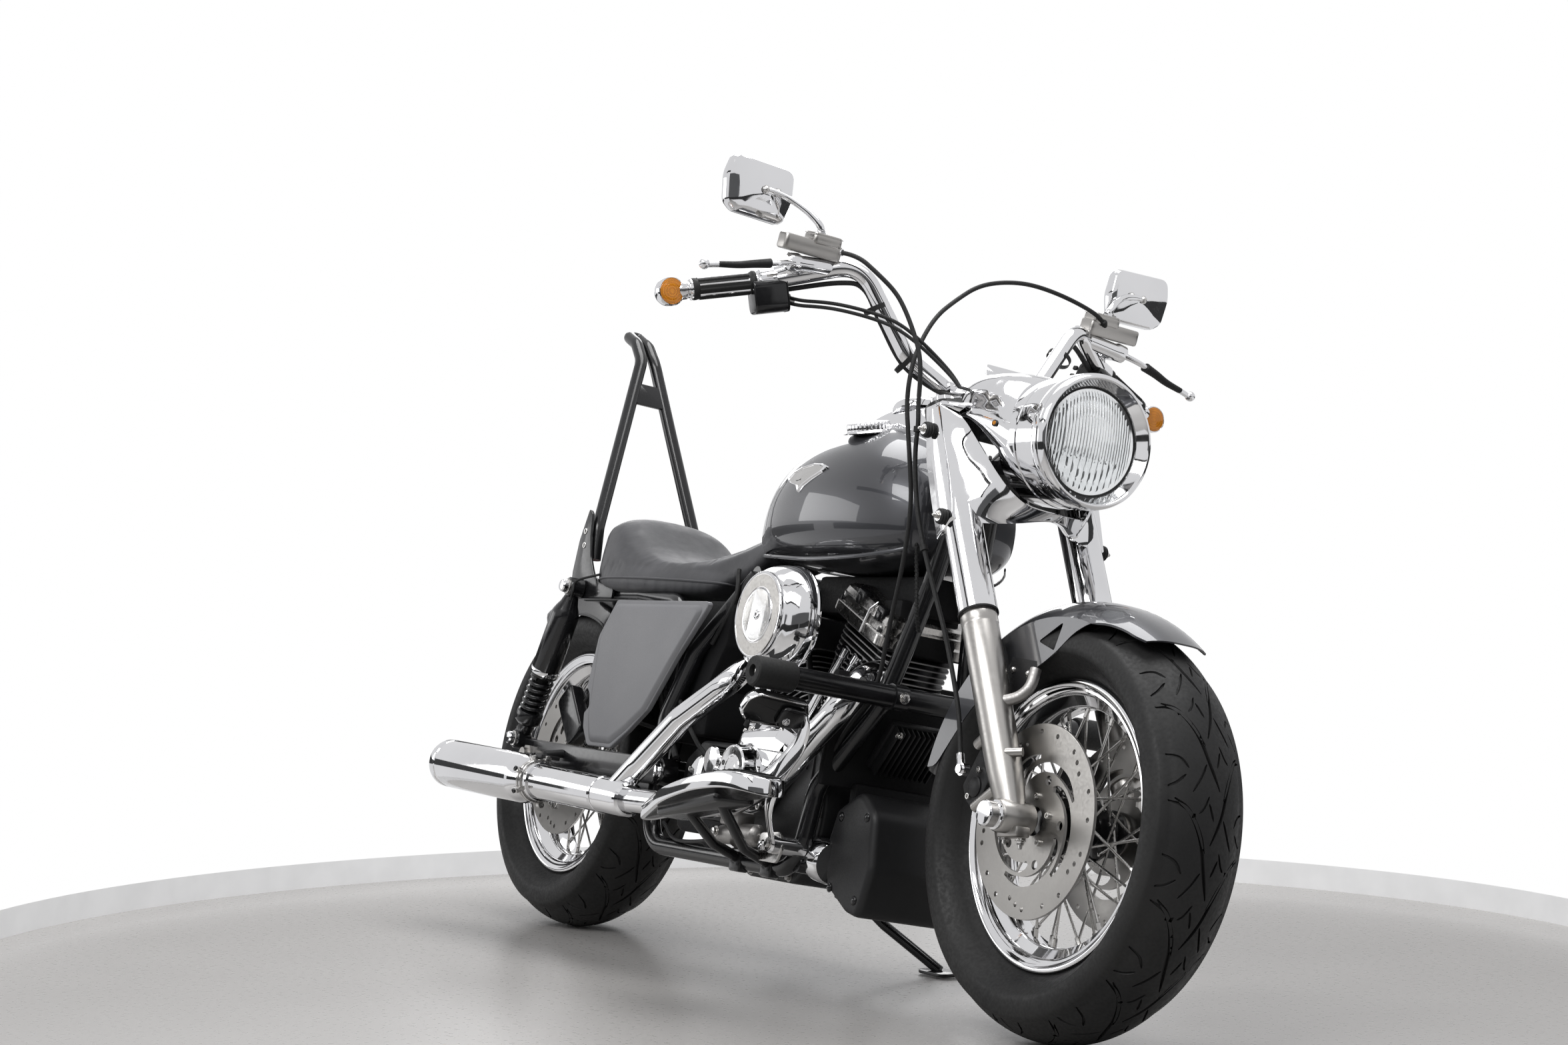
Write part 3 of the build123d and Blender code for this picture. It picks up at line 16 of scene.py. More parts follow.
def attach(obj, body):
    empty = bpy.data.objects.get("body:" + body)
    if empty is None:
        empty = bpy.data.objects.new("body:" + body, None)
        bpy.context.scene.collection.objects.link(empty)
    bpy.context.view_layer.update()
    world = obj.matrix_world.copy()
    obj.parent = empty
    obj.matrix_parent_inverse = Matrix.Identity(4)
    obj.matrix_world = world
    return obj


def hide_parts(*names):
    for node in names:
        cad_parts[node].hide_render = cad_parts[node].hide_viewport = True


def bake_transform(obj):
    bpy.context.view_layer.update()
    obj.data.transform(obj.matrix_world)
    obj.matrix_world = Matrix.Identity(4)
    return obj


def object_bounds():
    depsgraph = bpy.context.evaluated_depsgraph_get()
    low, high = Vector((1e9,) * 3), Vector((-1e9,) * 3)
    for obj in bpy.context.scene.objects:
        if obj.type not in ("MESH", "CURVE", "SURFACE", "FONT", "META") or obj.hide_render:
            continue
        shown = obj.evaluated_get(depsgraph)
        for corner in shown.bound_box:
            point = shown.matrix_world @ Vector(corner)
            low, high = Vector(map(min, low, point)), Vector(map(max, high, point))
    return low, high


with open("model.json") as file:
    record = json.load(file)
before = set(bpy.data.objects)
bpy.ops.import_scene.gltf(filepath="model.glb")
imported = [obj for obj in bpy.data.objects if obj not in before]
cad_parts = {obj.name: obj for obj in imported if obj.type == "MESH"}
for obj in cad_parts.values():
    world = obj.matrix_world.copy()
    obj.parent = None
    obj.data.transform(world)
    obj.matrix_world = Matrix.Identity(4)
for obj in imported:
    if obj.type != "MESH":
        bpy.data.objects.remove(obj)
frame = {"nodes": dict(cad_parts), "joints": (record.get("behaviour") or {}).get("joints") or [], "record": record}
cad_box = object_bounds()

# ---------------------------------------------------------------- where things are
joints = {joint["name"]: joint for joint in frame["joints"]}
LEAN = math.radians(10.44)
WHEELBASE = 1613.0
FORK = math.radians(29.4)
FORK_Y = 117.0
SHOULDER_DROP = 26.0  # from the tread's middle to its edge


def tread_arc(width):
    """Half the tread's width, and the radius of its arc across the tyre."""
    half = 0.44 * width
    return half, (half**2 + SHOULDER_DROP**2) / (2 * SHOULDER_DROP)


def axle_height(radius, width):
    """How high an axle stands when the machine leans on the arc of its tread."""
    return radius + tread_arc(width)[1] * (1 / math.cos(LEAN) - 1)


FRONT_R, FRONT_W = 320.5, 145.0
REAR_R, REAR_W = 318.4, 150.0
FRONT_Z = axle_height(FRONT_R, FRONT_W)
REAR_Z = axle_height(REAR_R, REAR_W)
FORWARD = Vector((1, 0, 0))
LEFT = Vector(joints["rear_wheel_spin"]["axis"]).normalized()
UP = FORWARD.cross(LEFT)
ORIGIN = Vector(joints["rear_wheel_spin"]["pos_m"]) - UP * REAR_Z / 1000
PLACE = (Matrix.Translation(ORIGIN) @ Matrix((FORWARD, LEFT, UP)).transposed().to_4x4()
         @ Matrix.Scale(0.001, 4))
FRONT_AXLE = (WHEELBASE, 0.0, FRONT_Z)
REAR_AXLE = (0.0, 0.0, REAR_Z)


def place(x, y, z):
    """A point of the upright motorcycle, in the row frame."""
    return PLACE @ Vector((x, y, z))


def on_fork(distance, y=0.0, forward=0.0):
    """A point beside the fork's line, by its distance up from the front axle."""
    return Vector((WHEELBASE - distance * math.sin(FORK) + forward * math.cos(FORK), y,
                   FRONT_Z + distance * math.cos(FORK) + forward * math.sin(FORK)))


# ---------------------------------------------------------------- materials
def nodes_of(name):
    """A new material with its node tree and its shader."""
    mat = bpy.data.materials.new(name)
    mat.use_nodes = True
    tree = mat.node_tree
    return mat, tree, tree.nodes["Principled BSDF"]


def noise(tree, scale, detail=4.0, stretch=(1, 1, 1), rough=0.5):
    """Noise in the object's own coordinates, stretched along an axis for brushed metal."""
    coords = tree.nodes.new("ShaderNodeTexCoord")
    mapping = tree.nodes.new("ShaderNodeMapping")
    mapping.inputs["Scale"].default_value = stretch
    texture = tree.nodes.new("ShaderNodeTexNoise")
    texture.inputs["Scale"].default_value = scale
    texture.inputs["Detail"].default_value = detail
    texture.inputs["Roughness"].default_value = rough
    tree.links.new(coords.outputs["Object"], mapping.inputs["Vector"])
    tree.links.new(mapping.outputs["Vector"], texture.inputs["Vector"])
    return texture


def spread(tree, source, low, high, start=0.35, end=0.65):
    """Maps a texture to a range of values."""
    ramp = tree.nodes.new("ShaderNodeMapRange")
    ramp.inputs["From Min"].default_value = start
    ramp.inputs["From Max"].default_value = end
    ramp.inputs["To Min"].default_value = low
    ramp.inputs["To Max"].default_value = high
    tree.links.new(source, ramp.inputs["Value"])
    return ramp.outputs["Result"]


def blend_colors(tree, factor, first, second):
    """Mixes two colours by a factor."""
    mix = tree.nodes.new("ShaderNodeMix")
    mix.data_type = "RGBA"
    mix.inputs[6].default_value = (*first, 1)
    mix.inputs[7].default_value = (*second, 1)
    tree.links.new(factor, mix.inputs["Factor"])
    return mix.outputs[2]


def bump(tree, shader, height, strength, distance, under=None):
    """Raises a texture as fine relief, over other relief if there is any."""
    node = tree.nodes.new("ShaderNodeBump")
    node.inputs["Strength"].default_value = strength
    node.inputs["Distance"].default_value = distance
    tree.links.new(height, node.inputs["Height"])
    if under is not None:
        tree.links.new(under, node.inputs["Normal"])
    tree.links.new(node.outputs["Normal"], shader.inputs["Normal"])
    return node.outputs["Normal"]


def surface(name, color, worn, metal, rough, grain, strength=0.15, distance=0.0004, stretch=(1, 1, 1),
            coat=0.0, coat_rough=0.05, specular=0.5, patch=7.0, sheen=0.0):
    """Colour that varies in patches, roughness that varies finely, and a fine grain in relief."""
    mat, tree, shader = nodes_of(name)
    patches = noise(tree, patch, 5.0)
    fine = noise(tree, grain, 5.0, stretch)
    tree.links.new(blend_colors(tree, spread(tree, patches.outputs[0], 0, 1), color, worn),
                   shader.inputs["Base Color"])
    tree.links.new(spread(tree, fine.outputs[0], rough[0], rough[1]), shader.inputs["Roughness"])
    bump(tree, shader, fine.outputs[0], strength, distance)
    shader.inputs["Metallic"].default_value = metal
    shader.inputs["Coat Weight"].default_value = coat
    shader.inputs["Coat Roughness"].default_value = coat_rough
    shader.inputs["Specular IOR Level"].default_value = specular
    shader.inputs["Sheen Weight"].default_value = sheen
    return mat


chrome = surface("chrome", (0.84, 0.84, 0.85), (0.78, 0.78, 0.79), 1.0, (0.03, 0.08), 60, 0.012, 0.0002)
polished = surface("polished_alloy", (0.60, 0.59, 0.575), (0.53, 0.52, 0.505), 1.0, (0.16, 0.28), 200, 0.04)
brushed = surface("brushed_alloy", (0.44, 0.427, 0.41), (0.40, 0.388, 0.372), 1.0, (0.28, 0.36), 60, 0.03,
                  0.0003, (1, 1, 6))
cast = surface("cast_alloy", (0.42, 0.41, 0.40), (0.34, 0.33, 0.32), 1.0, (0.38, 0.55), 320, 0.35)
ground = surface("ground_steel", (0.36, 0.35, 0.335), (0.31, 0.30, 0.288), 1.0, (0.30, 0.40), 240, 0.05)
gloss_black = surface("gloss_black", (0.006, 0.006, 0.0065), (0.010, 0.010, 0.011), 0.0, (0.16, 0.26), 140,
                      0.02, coat=0.35, coat_rough=0.12, specular=0.35)
satin_black = surface("satin_black", (0.009, 0.009, 0.0095), (0.015, 0.015, 0.016), 0.0, (0.38, 0.52), 420,
                      0.15, specular=0.35)
wrinkle = surface("engine_black", (0.009, 0.009, 0.0095), (0.016, 0.016, 0.017), 0.0, (0.40, 0.56), 520, 0.4,
                  0.0005, specular=0.4)
paint = surface("charcoal_paint", (0.050, 0.051, 0.057), (0.056, 0.057, 0.063), 0.75, (0.30, 0.42), 900, 0.02,
                0.0001, coat=1.0, coat_rough=0.03, patch=3.0)
satin_grey = surface("satin_grey", (0.165, 0.165, 0.172), (0.182, 0.182, 0.188), 0.2, (0.40, 0.50), 500, 0.10)
fin_edge = surface("machined_edge", (0.46, 0.455, 0.45), (0.40, 0.395, 0.39), 0.45, (0.34, 0.46), 260, 0.05)
# A barely reflecting black for the fillers inside the frame: it paints the shade through the machine's middle.
shade = surface("inner_painted_shade", (0.006, 0.006, 0.0065), (0.010, 0.010, 0.0105), 0.0, (0.55, 0.7), 300, 0.1,
                specular=0.15)
rubber = surface("rubber", (0.012, 0.012, 0.012), (0.019, 0.019, 0.019), 0.0, (0.55, 0.72), 260, 0.2,
                 specular=0.3)
tyre_rubber = surface("tyre_rubber", (0.007, 0.007, 0.0073), (0.013, 0.0127, 0.0125), 0.0, (0.50, 0.66), 180,
                      0.2, patch=11.0, specular=0.35)
plate_white = surface("plate_white", (0.72, 0.72, 0.71), (0.66, 0.66, 0.65), 0.0, (0.35, 0.5), 200, 0.05)


def leather_material():
    """Pebbled hide: cells in relief over soft creases, and a sheen that varies."""
    mat, tree, shader = nodes_of("leather")
    coords = tree.nodes.new("ShaderNodeTexCoord")
    cells = tree.nodes.new("ShaderNodeTexVoronoi")
    cells.feature = "SMOOTH_F1"
    cells.inputs["Scale"].default_value = 620
    tree.links.new(coords.outputs["Object"], cells.inputs["Vector"])
    creases = noise(tree, 34, 6.0, rough=0.65)
    tone = noise(tree, 9, 4.0)
    tree.links.new(blend_colors(tree, spread(tree, tone.outputs[0], 0, 1), (0.026, 0.026, 0.029),
                                (0.042, 0.042, 0.046)), shader.inputs["Base Color"])
    tree.links.new(spread(tree, creases.outputs[0], 0.46, 0.60), shader.inputs["Roughness"])
    soft = bump(tree, shader, creases.outputs[0], 0.25, 0.0012)
    bump(tree, shader, cells.outputs["Distance"], 0.35, 0.0004, soft)
    shader.inputs["Sheen Weight"].default_value = 0.12
    return mat


def clear_material(name, color, rough, through, ior=1.47):
    """Glass or tinted plastic with a slight haze."""
    mat, tree, shader = nodes_of(name)
    haze = noise(tree, 60, 3.0)
    tree.links.new(blend_colors(tree, spread(tree, haze.outputs[0], 0, 1), color,
                                tuple(0.94 * c for c in color)), shader.inputs["Base Color"])
    tree.links.new(spread(tree, haze.outputs[0], rough, rough + 0.03), shader.inputs["Roughness"])
    bump(tree, shader, haze.outputs[0], 0.03, 0.0002)
    shader.inputs["Transmission Weight"].default_value = through
    shader.inputs["IOR"].default_value = ior
    return mat


leather = leather_material()
glass = clear_material("lens_glass", (0.97, 0.985, 0.99), 0.0, 1.0)
amber = clear_material("amber_lens", (0.95, 0.36, 0.03), 0.08, 0.45)
red = clear_material("red_lens", (0.50, 0.015, 0.012), 0.08, 0.35)

finish_of = {"black_frame": gloss_black, "grey_paint": paint, "satin_grey": satin_grey, "chrome": chrome,
             "alloy": brushed, "engine_black": wrinkle, "rotor_steel": ground, "tyre": tyre_rubber,
             "rubber": rubber, "leather": leather, "lens": glass, "amber": amber, "red": red,
             "plate_white": plate_white}
slot_of = {row["node"]: row["material_slot"] for row in frame["record"]["subparts"]}
for node, obj in frame["nodes"].items():
    obj.data.materials.clear()
    obj.data.materials.append(finish_of[slot_of[node]])

# ---------------------------------------------------------------- drawing shapes
def across_to(direction):
    """A direction and two more square to it."""
    along = Vector(direction).normalized()
    other = Vector((0, 0, 1)) if abs(along.z) < 0.9 else Vector((1, 0, 0))
    first = other.cross(along).normalized()
    return along, first, along.cross(first)


def smooth_path(points, steps=8):
    """A curve through the points, with no corners."""
    pts = [Vector(p) for p in points]
    pts = [2 * pts[0] - pts[1]] + pts + [2 * pts[-1] - pts[-2]]
    out = []
    for k in range(1, len(pts) - 2):
        p0, p1, p2, p3 = pts[k - 1:k + 3]
        for i in range(steps):
            t = i / steps
            out.append(0.5 * (2 * p1 + (p2 - p0) * t + (2 * p0 - 5 * p1 + 4 * p2 - p3) * t**2
                              + (3 * p1 - p0 - 3 * p2 + p3) * t**3))
    return out + [pts[-2]]


def bent_path(points, radius, steps=8):
    """Straight runs joined by arcs."""
    pts = [Vector(p) for p in points]
    out = [pts[0]]
    for before, here, after in zip(pts, pts[1:], pts[2:]):
        back, on = (before - here), (after - here)
        half = back.angle(on) / 2
        reach = min(radius / math.tan(half), 0.48 * back.length, 0.48 * on.length)
        start, end = here + back.normalized() * reach, here + on.normalized() * reach
        for i in range(steps + 1):
            t = i / steps
            out.append(start * (1 - t)**2 + here * 2 * t * (1 - t) + end * t**2)
    return out + [pts[-1]]


def tilted(angle):
    """The forward and the upward direction, both turned by angle in the machine's middle plane."""
    c, s = math.cos(angle), math.sin(angle)
    return Vector((c, 0, s)), Vector((-s, 0, c))


def about(centre, radius, angle, y=None):
    """A point round a crosswise axis through centre, moved across to y if that is given."""
    return Vector((centre[0] + radius * math.cos(angle), centre[1] if y is None else y,
                   centre[2] + radius * math.sin(angle)))


def turns(count, start=0.0):
    """Angles that share out a full turn, from start in degrees."""
    return [math.radians(start + 360 * k / count) for k in range(count)]


def slope_power(value, power):
    """A power that keeps the value's sign, for outlines fuller than an ellipse."""
    return math.copysign(abs(value) ** power, value)


class Shape:
    """Geometry gathered for one visible piece, in the upright motorcycle's millimetres."""

    def __init__(self, *finishes):
        """Starts empty; more finishes join the list as they are used."""
        self.bm = bmesh.new()
        self.finishes = list(finishes)

    def take(self, part, finish=None, bevel=0.0, segments=2, sharp=30):
        """Adds a finished bmesh, with its sharp edges rounded if bevel is given."""
        bmesh.ops.remove_doubles(part, verts=part.verts, dist=0.005)
        bmesh.ops.recalc_face_normals(part, faces=part.faces)
        if bevel:
            edges = [e for e in part.edges
                     if len(e.link_faces) == 2 and e.calc_face_angle() > math.radians(sharp)]
            bmesh.ops.bevel(part, geom=edges, offset=bevel, segments=segments, profile=0.5,
                            affect="EDGES", clamp_overlap=True)
        if finish is not None:
            if finish not in self.finishes:
                self.finishes.append(finish)
            index = self.finishes.index(finish)
            for face in part.faces:
                face.material_index = index
        mesh = bpy.data.meshes.new("part")
        part.to_mesh(mesh)
        part.free()
        self.bm.from_mesh(mesh)
        bpy.data.meshes.remove(mesh)

    def loft(self, loops, finish, bevel=0.0, caps=True, ring=False, segments=2, sharp=30, open_loops=False):
        """A skin over loops of equal counts of points."""
        part = bmesh.new()
        rows = [[part.verts.new(p) for p in loop] for loop in loops]
        count = len(rows[0])
        pairs = list(zip(rows, rows[1:])) + ([(rows[-1], rows[0])] if ring else [])
        for low, high in pairs:
            for k in range(count - 1 if open_loops else count):
                j = (k + 1) % count
                part.faces.new((low[k], low[j], high[j], high[k]))
        if caps and not ring:
            part.faces.new(rows[0][::-1])
            part.faces.new(rows[-1])
        self.take(part, finish, bevel, segments, sharp)

    def lathe(self, origin, axis, profile, finish, count=64, bevel=0.0, ring=False, segments=2):
        """Revolves (along, radius) pairs round an axis."""
        origin = Vector(origin)
        along, first, second = across_to(axis)
        loops = []
        for distance, radius in profile:
            centre = origin + along * distance
            loops.append([centre + (first * math.cos(a) + second * math.sin(a)) * max(radius, 0.01)
                          for a in turns(count)])
        self.loft(loops, finish, bevel, True, ring, segments)

    def tube(self, points, radius, finish, count=20, caps=True, flat=1.0, lay=None, bevel=0.0):
        """A round bar along a path; radius may be a list, and flat squeezes it towards lay."""
        pts = [Vector(p) for p in points]
        kept = [pts[0]]
        kept += [p for p in pts[1:] if (p - kept[-1]).length > 0.01]
        radii = radius if isinstance(radius, (list, tuple)) else [radius] * len(kept)
        along = (kept[1] - kept[0]).normalized()
        first = across_to(along)[1] if lay is None else Vector(lay)
        first = (first - along * first.dot(along)).normalized()
        loops = []
        for k, point in enumerate(kept):
            before, after = kept[max(k - 1, 0)], kept[min(k + 1, len(kept) - 1)]
            turned = (after - before).normalized()
            first = (first - turned * first.dot(turned)).normalized()
            second = turned.cross(first)
            loops.append([point + (first * math.cos(a) * flat + second * math.sin(a)) * radii[k]
                          for a in turns(count)])
        self.loft(loops, finish, bevel, caps)

    def prism(self, outline, origin, right, up, depth, finish, bevel=0.0, segments=2, holes=()):
        """A flat outline given as (right, up) pairs, pushed out by depth square to it."""
        origin, right, up = Vector(origin), Vector(right).normalized(), Vector(up).normalized()
        out = right.cross(up) * depth
        part = bmesh.new()
        low = [part.verts.new(origin + right * a + up * b) for a, b in outline]
        if holes:
            edges = [part.edges.new((low[k], low[(k + 1) % len(low)])) for k in range(len(low))]
            for hole in holes:
                ring = [part.verts.new(origin + right * a + up * b) for a, b in hole]
                edges += [part.edges.new((ring[k], ring[(k + 1) % len(ring)])) for k in range(len(ring))]
            bmesh.ops.triangle_fill(part, use_beauty=True, use_dissolve=True, edges=edges)
            faces = part.faces[:]
        else:
            faces = [part.faces.new(low)]
        grown = bmesh.ops.extrude_face_region(part, geom=faces, use_keep_orig=True)
        moved = [v for v in grown["geom"] if isinstance(v, bmesh.types.BMVert)]
        bmesh.ops.translate(part, vec=out, verts=moved)
        self.take(part, finish, bevel, segments, 40)

    def panel(self, outline, y, depth, finish, bevel=0.0, segments=2, centre=(0, 0), holes=()):
        """An outline of (x, z) points, pushed out to the right by depth from y."""
        self.prism(outline, (centre[0], y, centre[1]), (1, 0, 0), (0, 0, 1), depth, finish, bevel,
                   segments, holes)

    def dish(self, outline, steps, finish, sharp=30):
        """A cover over an outline of (x, z) points, drawn in by each step's first number at its second."""
        self.loft([[Vector((x, y, z)) for x, z in inset(outline, by)] for by, y in steps], finish,
                  sharp=sharp)

    def box(self, centre, size, finish, bevel=1.0, right=(1, 0, 0), up=(0, 0, 1), segments=2):
        """A block with rounded edges: size is along right, along up and along the third way."""
        wide, high, deep = size
        right, up = Vector(right).normalized(), Vector(up)
        up = (up - right * up.dot(right)).normalized()
        start = Vector(centre) - right.cross(up) * deep / 2
        outline = [(-wide / 2, -high / 2), (wide / 2, -high / 2), (wide / 2, high / 2), (-wide / 2, high / 2)]
        self.prism(outline, start, right, up, deep, finish, bevel, segments)

    def bolt(self, spot, out, radius, height, finish, kind="hex"):
        """A bolt's head standing on a surface: a hexagon on a washer, a socket cap or a dome."""
        along, first, second = across_to(out)
        spot = Vector(spot) - along * 0.6
        if kind == "hex":
            self.lathe(spot, along, [(0, 1.35 * radius), (1.6, 1.35 * radius)], finish, 24, 0.3, segments=1)
            outline = [(radius * math.cos(a), radius * math.sin(a)) for a in turns(6)]
            self.prism(outline, spot + along * 1.5, first, second, height, finish, 0.1 * radius)
        elif kind == "cap":
            self.lathe(spot, along, [(0, radius), (height, radius), (height, 0.55 * radius),
                                     (0.5 * height, 0.55 * radius), (0.5 * height, 0)],
                       finish, 20, 0.08 * radius, segments=2)
        else:
            dome = [(height * math.sin(a), radius * math.cos(a))
                    for a in (math.pi / 12 * k for k in range(7))]
            self.lathe(spot, along, [(0, 1.2 * radius), (1.0, 1.2 * radius), (1.0, radius)] +
                       [(1.0 + h, r) for h, r in dome], finish, 20)

    def mirror(self):
        """Adds the other side of everything drawn so far."""
        both = bmesh.ops.duplicate(self.bm, geom=self.bm.verts[:] + self.bm.edges[:] + self.bm.faces[:])
        copied = [g for g in both["geom"] if isinstance(g, bmesh.types.BMVert)]
        for vert in copied:
            vert.co.y = -vert.co.y
        bmesh.ops.reverse_faces(self.bm, faces=[g for g in both["geom"] if isinstance(g, bmesh.types.BMFace)])
        return self

    def done(self, name, body, *stands_for, angle=35, rounds=0, slot=None):
        """Leans the shape into place and hands it to its body."""
        mesh = bpy.data.meshes.new(name)
        self.bm.to_mesh(mesh)
        self.bm.free()
        mesh.transform(PLACE)
        for finish in self.finishes:
            mesh.materials.append(finish)
        mesh.shade_smooth()
        if not rounds:
            mesh.set_sharp_from_angle(angle=math.radians(angle))
        obj = bpy.data.objects.new(name, mesh)
        bpy.context.scene.collection.objects.link(obj)
        if rounds:
            modifier = obj.modifiers.new("round", "SUBSURF")
            modifier.levels = modifier.render_levels = rounds
        if body:
            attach(obj, body)
        if stands_for:
            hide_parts(*stands_for)
        return obj


def baked(obj):
    """Replaces an object's mesh with what its modifiers make of it."""
    bpy.context.view_layer.update()
    graph = bpy.context.evaluated_depsgraph_get()
    mesh = bpy.data.meshes.new_from_object(obj.evaluated_get(graph), depsgraph=graph)
    old = obj.data
    obj.modifiers.clear()
    obj.data = mesh
    bpy.data.meshes.remove(old)
    return mesh


def cut(obj, cutter):
    """Takes one closed mesh from another."""
    modifier = obj.modifiers.new("cut", "BOOLEAN")
    modifier.operation = "DIFFERENCE"
    modifier.solver = "MANIFOLD"
    modifier.object = cutter
    baked(obj)
    bpy.data.objects.remove(cutter)


def hand_over(obj, body, node, angle):
    """Smooths a cut mesh but for its sharp edges, and gives it to its body."""
    obj.data.shade_smooth()
    obj.data.set_sharp_from_angle(angle=math.radians(angle))
    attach(obj, body)
    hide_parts(node)


def thicken(obj, thickness):
    """Gives a skin its thickness, inwards."""
    modifier = obj.modifiers.new("thick", "SOLIDIFY")
    modifier.thickness = thickness
    modifier.offset = -1


def rounded(outline, radius, steps=4):
    """The outline with its corners rounded."""
    out = []
    count = len(outline)
    radii = radius if isinstance(radius, (list, tuple)) else [radius] * count
    for k in range(count):
        here = Vector((*outline[k], 0))
        back = Vector((*outline[k - 1], 0)) - here
        on = Vector((*outline[(k + 1) % count], 0)) - here
        half = back.angle(on) / 2
        reach = min(radii[k] / math.tan(half), 0.48 * back.length, 0.48 * on.length)
        start, end = here + back.normalized() * reach, here + on.normalized() * reach
        for i in range(steps + 1):
            t = i / steps
            p = start * (1 - t)**2 + here * 2 * t * (1 - t) + end * t**2
            out.append((p.x, p.y))
    return out


def rounded_box(half_x, half_y, corner, steps=5):
    """The outline of a block round its middle, with rounded corners."""
    return rounded([(-half_x, -half_y), (half_x, -half_y), (half_x, half_y), (-half_x, half_y)],
                   corner, steps)


def inset(outline, by):
    """The outline drawn in by a distance."""
    count = len(outline)
    area = sum(outline[k - 1][0] * outline[k][1] - outline[k][0] * outline[k - 1][1] for k in range(count))
    sign = 1 if area > 0 else -1
    out = []
    for k in range(count):
        here = Vector(outline[k])
        back = (here - Vector(outline[k - 1])).normalized()
        on = (Vector(outline[(k + 1) % count]) - here).normalized()
        normal = Vector((-(back.y + on.y), back.x + on.x)) * sign
        normal.normalize()
        share = max(0.35, normal.dot(Vector((-back.y, back.x)) * sign))
        point = here + normal * by / share
        out.append((point.x, point.y))
    return out


def hull_outline(circles, count=96):
    """Outline of the tightest band round some circles, given as (x, z, radius)."""
    out = []
    for a in turns(count):
        c, s = math.cos(a), math.sin(a)
        best = max(circles, key=lambda circle: circle[0] * c + circle[1] * s + circle[2])
        out.append((best[0] + best[2] * c, best[1] + best[2] * s))
    kept = [out[0]]
    for p in out[1:]:
        if math.dist(p, kept[-1]) > 0.05:
            kept.append(p)
    return kept


def table(rows, at):
    """Reads a smooth value between (place, value) rows."""
    if at <= rows[0][0]:
        return rows[0][1]
    if at >= rows[-1][0]:
        return rows[-1][1]
    k = max(i for i in range(len(rows) - 1) if rows[i][0] <= at)

    def slope(i):
        """The rise per place at a row, from the rows beside it."""
        before, after = max(i - 1, 0), min(i + 1, len(rows) - 1)
        return (rows[after][1] - rows[before][1]) / (rows[after][0] - rows[before][0])

    span = rows[k + 1][0] - rows[k][0]
    t = (at - rows[k][0]) / span
    low, high = rows[k][1], rows[k + 1][1]
    bend_in, bend_out = slope(k) * span, slope(k + 1) * span
    return (low * (2 * t**3 - 3 * t**2 + 1) + high * (3 * t**2 - 2 * t**3)
            + bend_in * (t**3 - 2 * t**2 + t) + bend_out * (t**3 - t**2))


# ---------------------------------------------------------------- wheels
HUB_FLANGE = 46.0
RIM_FLANGE = 219.0
RIM_SEAT = 203.0
RIM_WELL = 184.0


def tread_radius(radius, width, y):
    """Radius of the tread's arc at a place across it."""
    crown = tread_arc(width)[1]
    return radius - crown + math.sqrt(max(crown**2 - y * y, 0))


GROOVES = (  # share of a pitch ahead, (turn, y) places along it, width and depth
    (0, ((0.0, -6), (0.12, 9), (0.26, 22), (0.38, 40), (0.44, 58)), 5.6, 4.6),
    (0.42, ((0.0, 13), (0.10, 26), (0.19, 44), (0.225, 66)), 5.0, 4.2),
    (0.20, ((0.0, 40), (0.05, 50), (0.075, 67)), 4.2, 3.4),
    (0.72, ((0.0, 4), (0.075, 12)), 4.0, 3.0),
    (0, ((0.60, 14), (0.535, 24), (0.47, 36)), 4.2, 3.4),
    (0, ((0.455, 12), (0.40, 20), (0.375, 27)), 3.8, 3.0),
    (0, ((0.55, 44), (0.515, 55), (0.495, 66)), 4.2, 3.4))


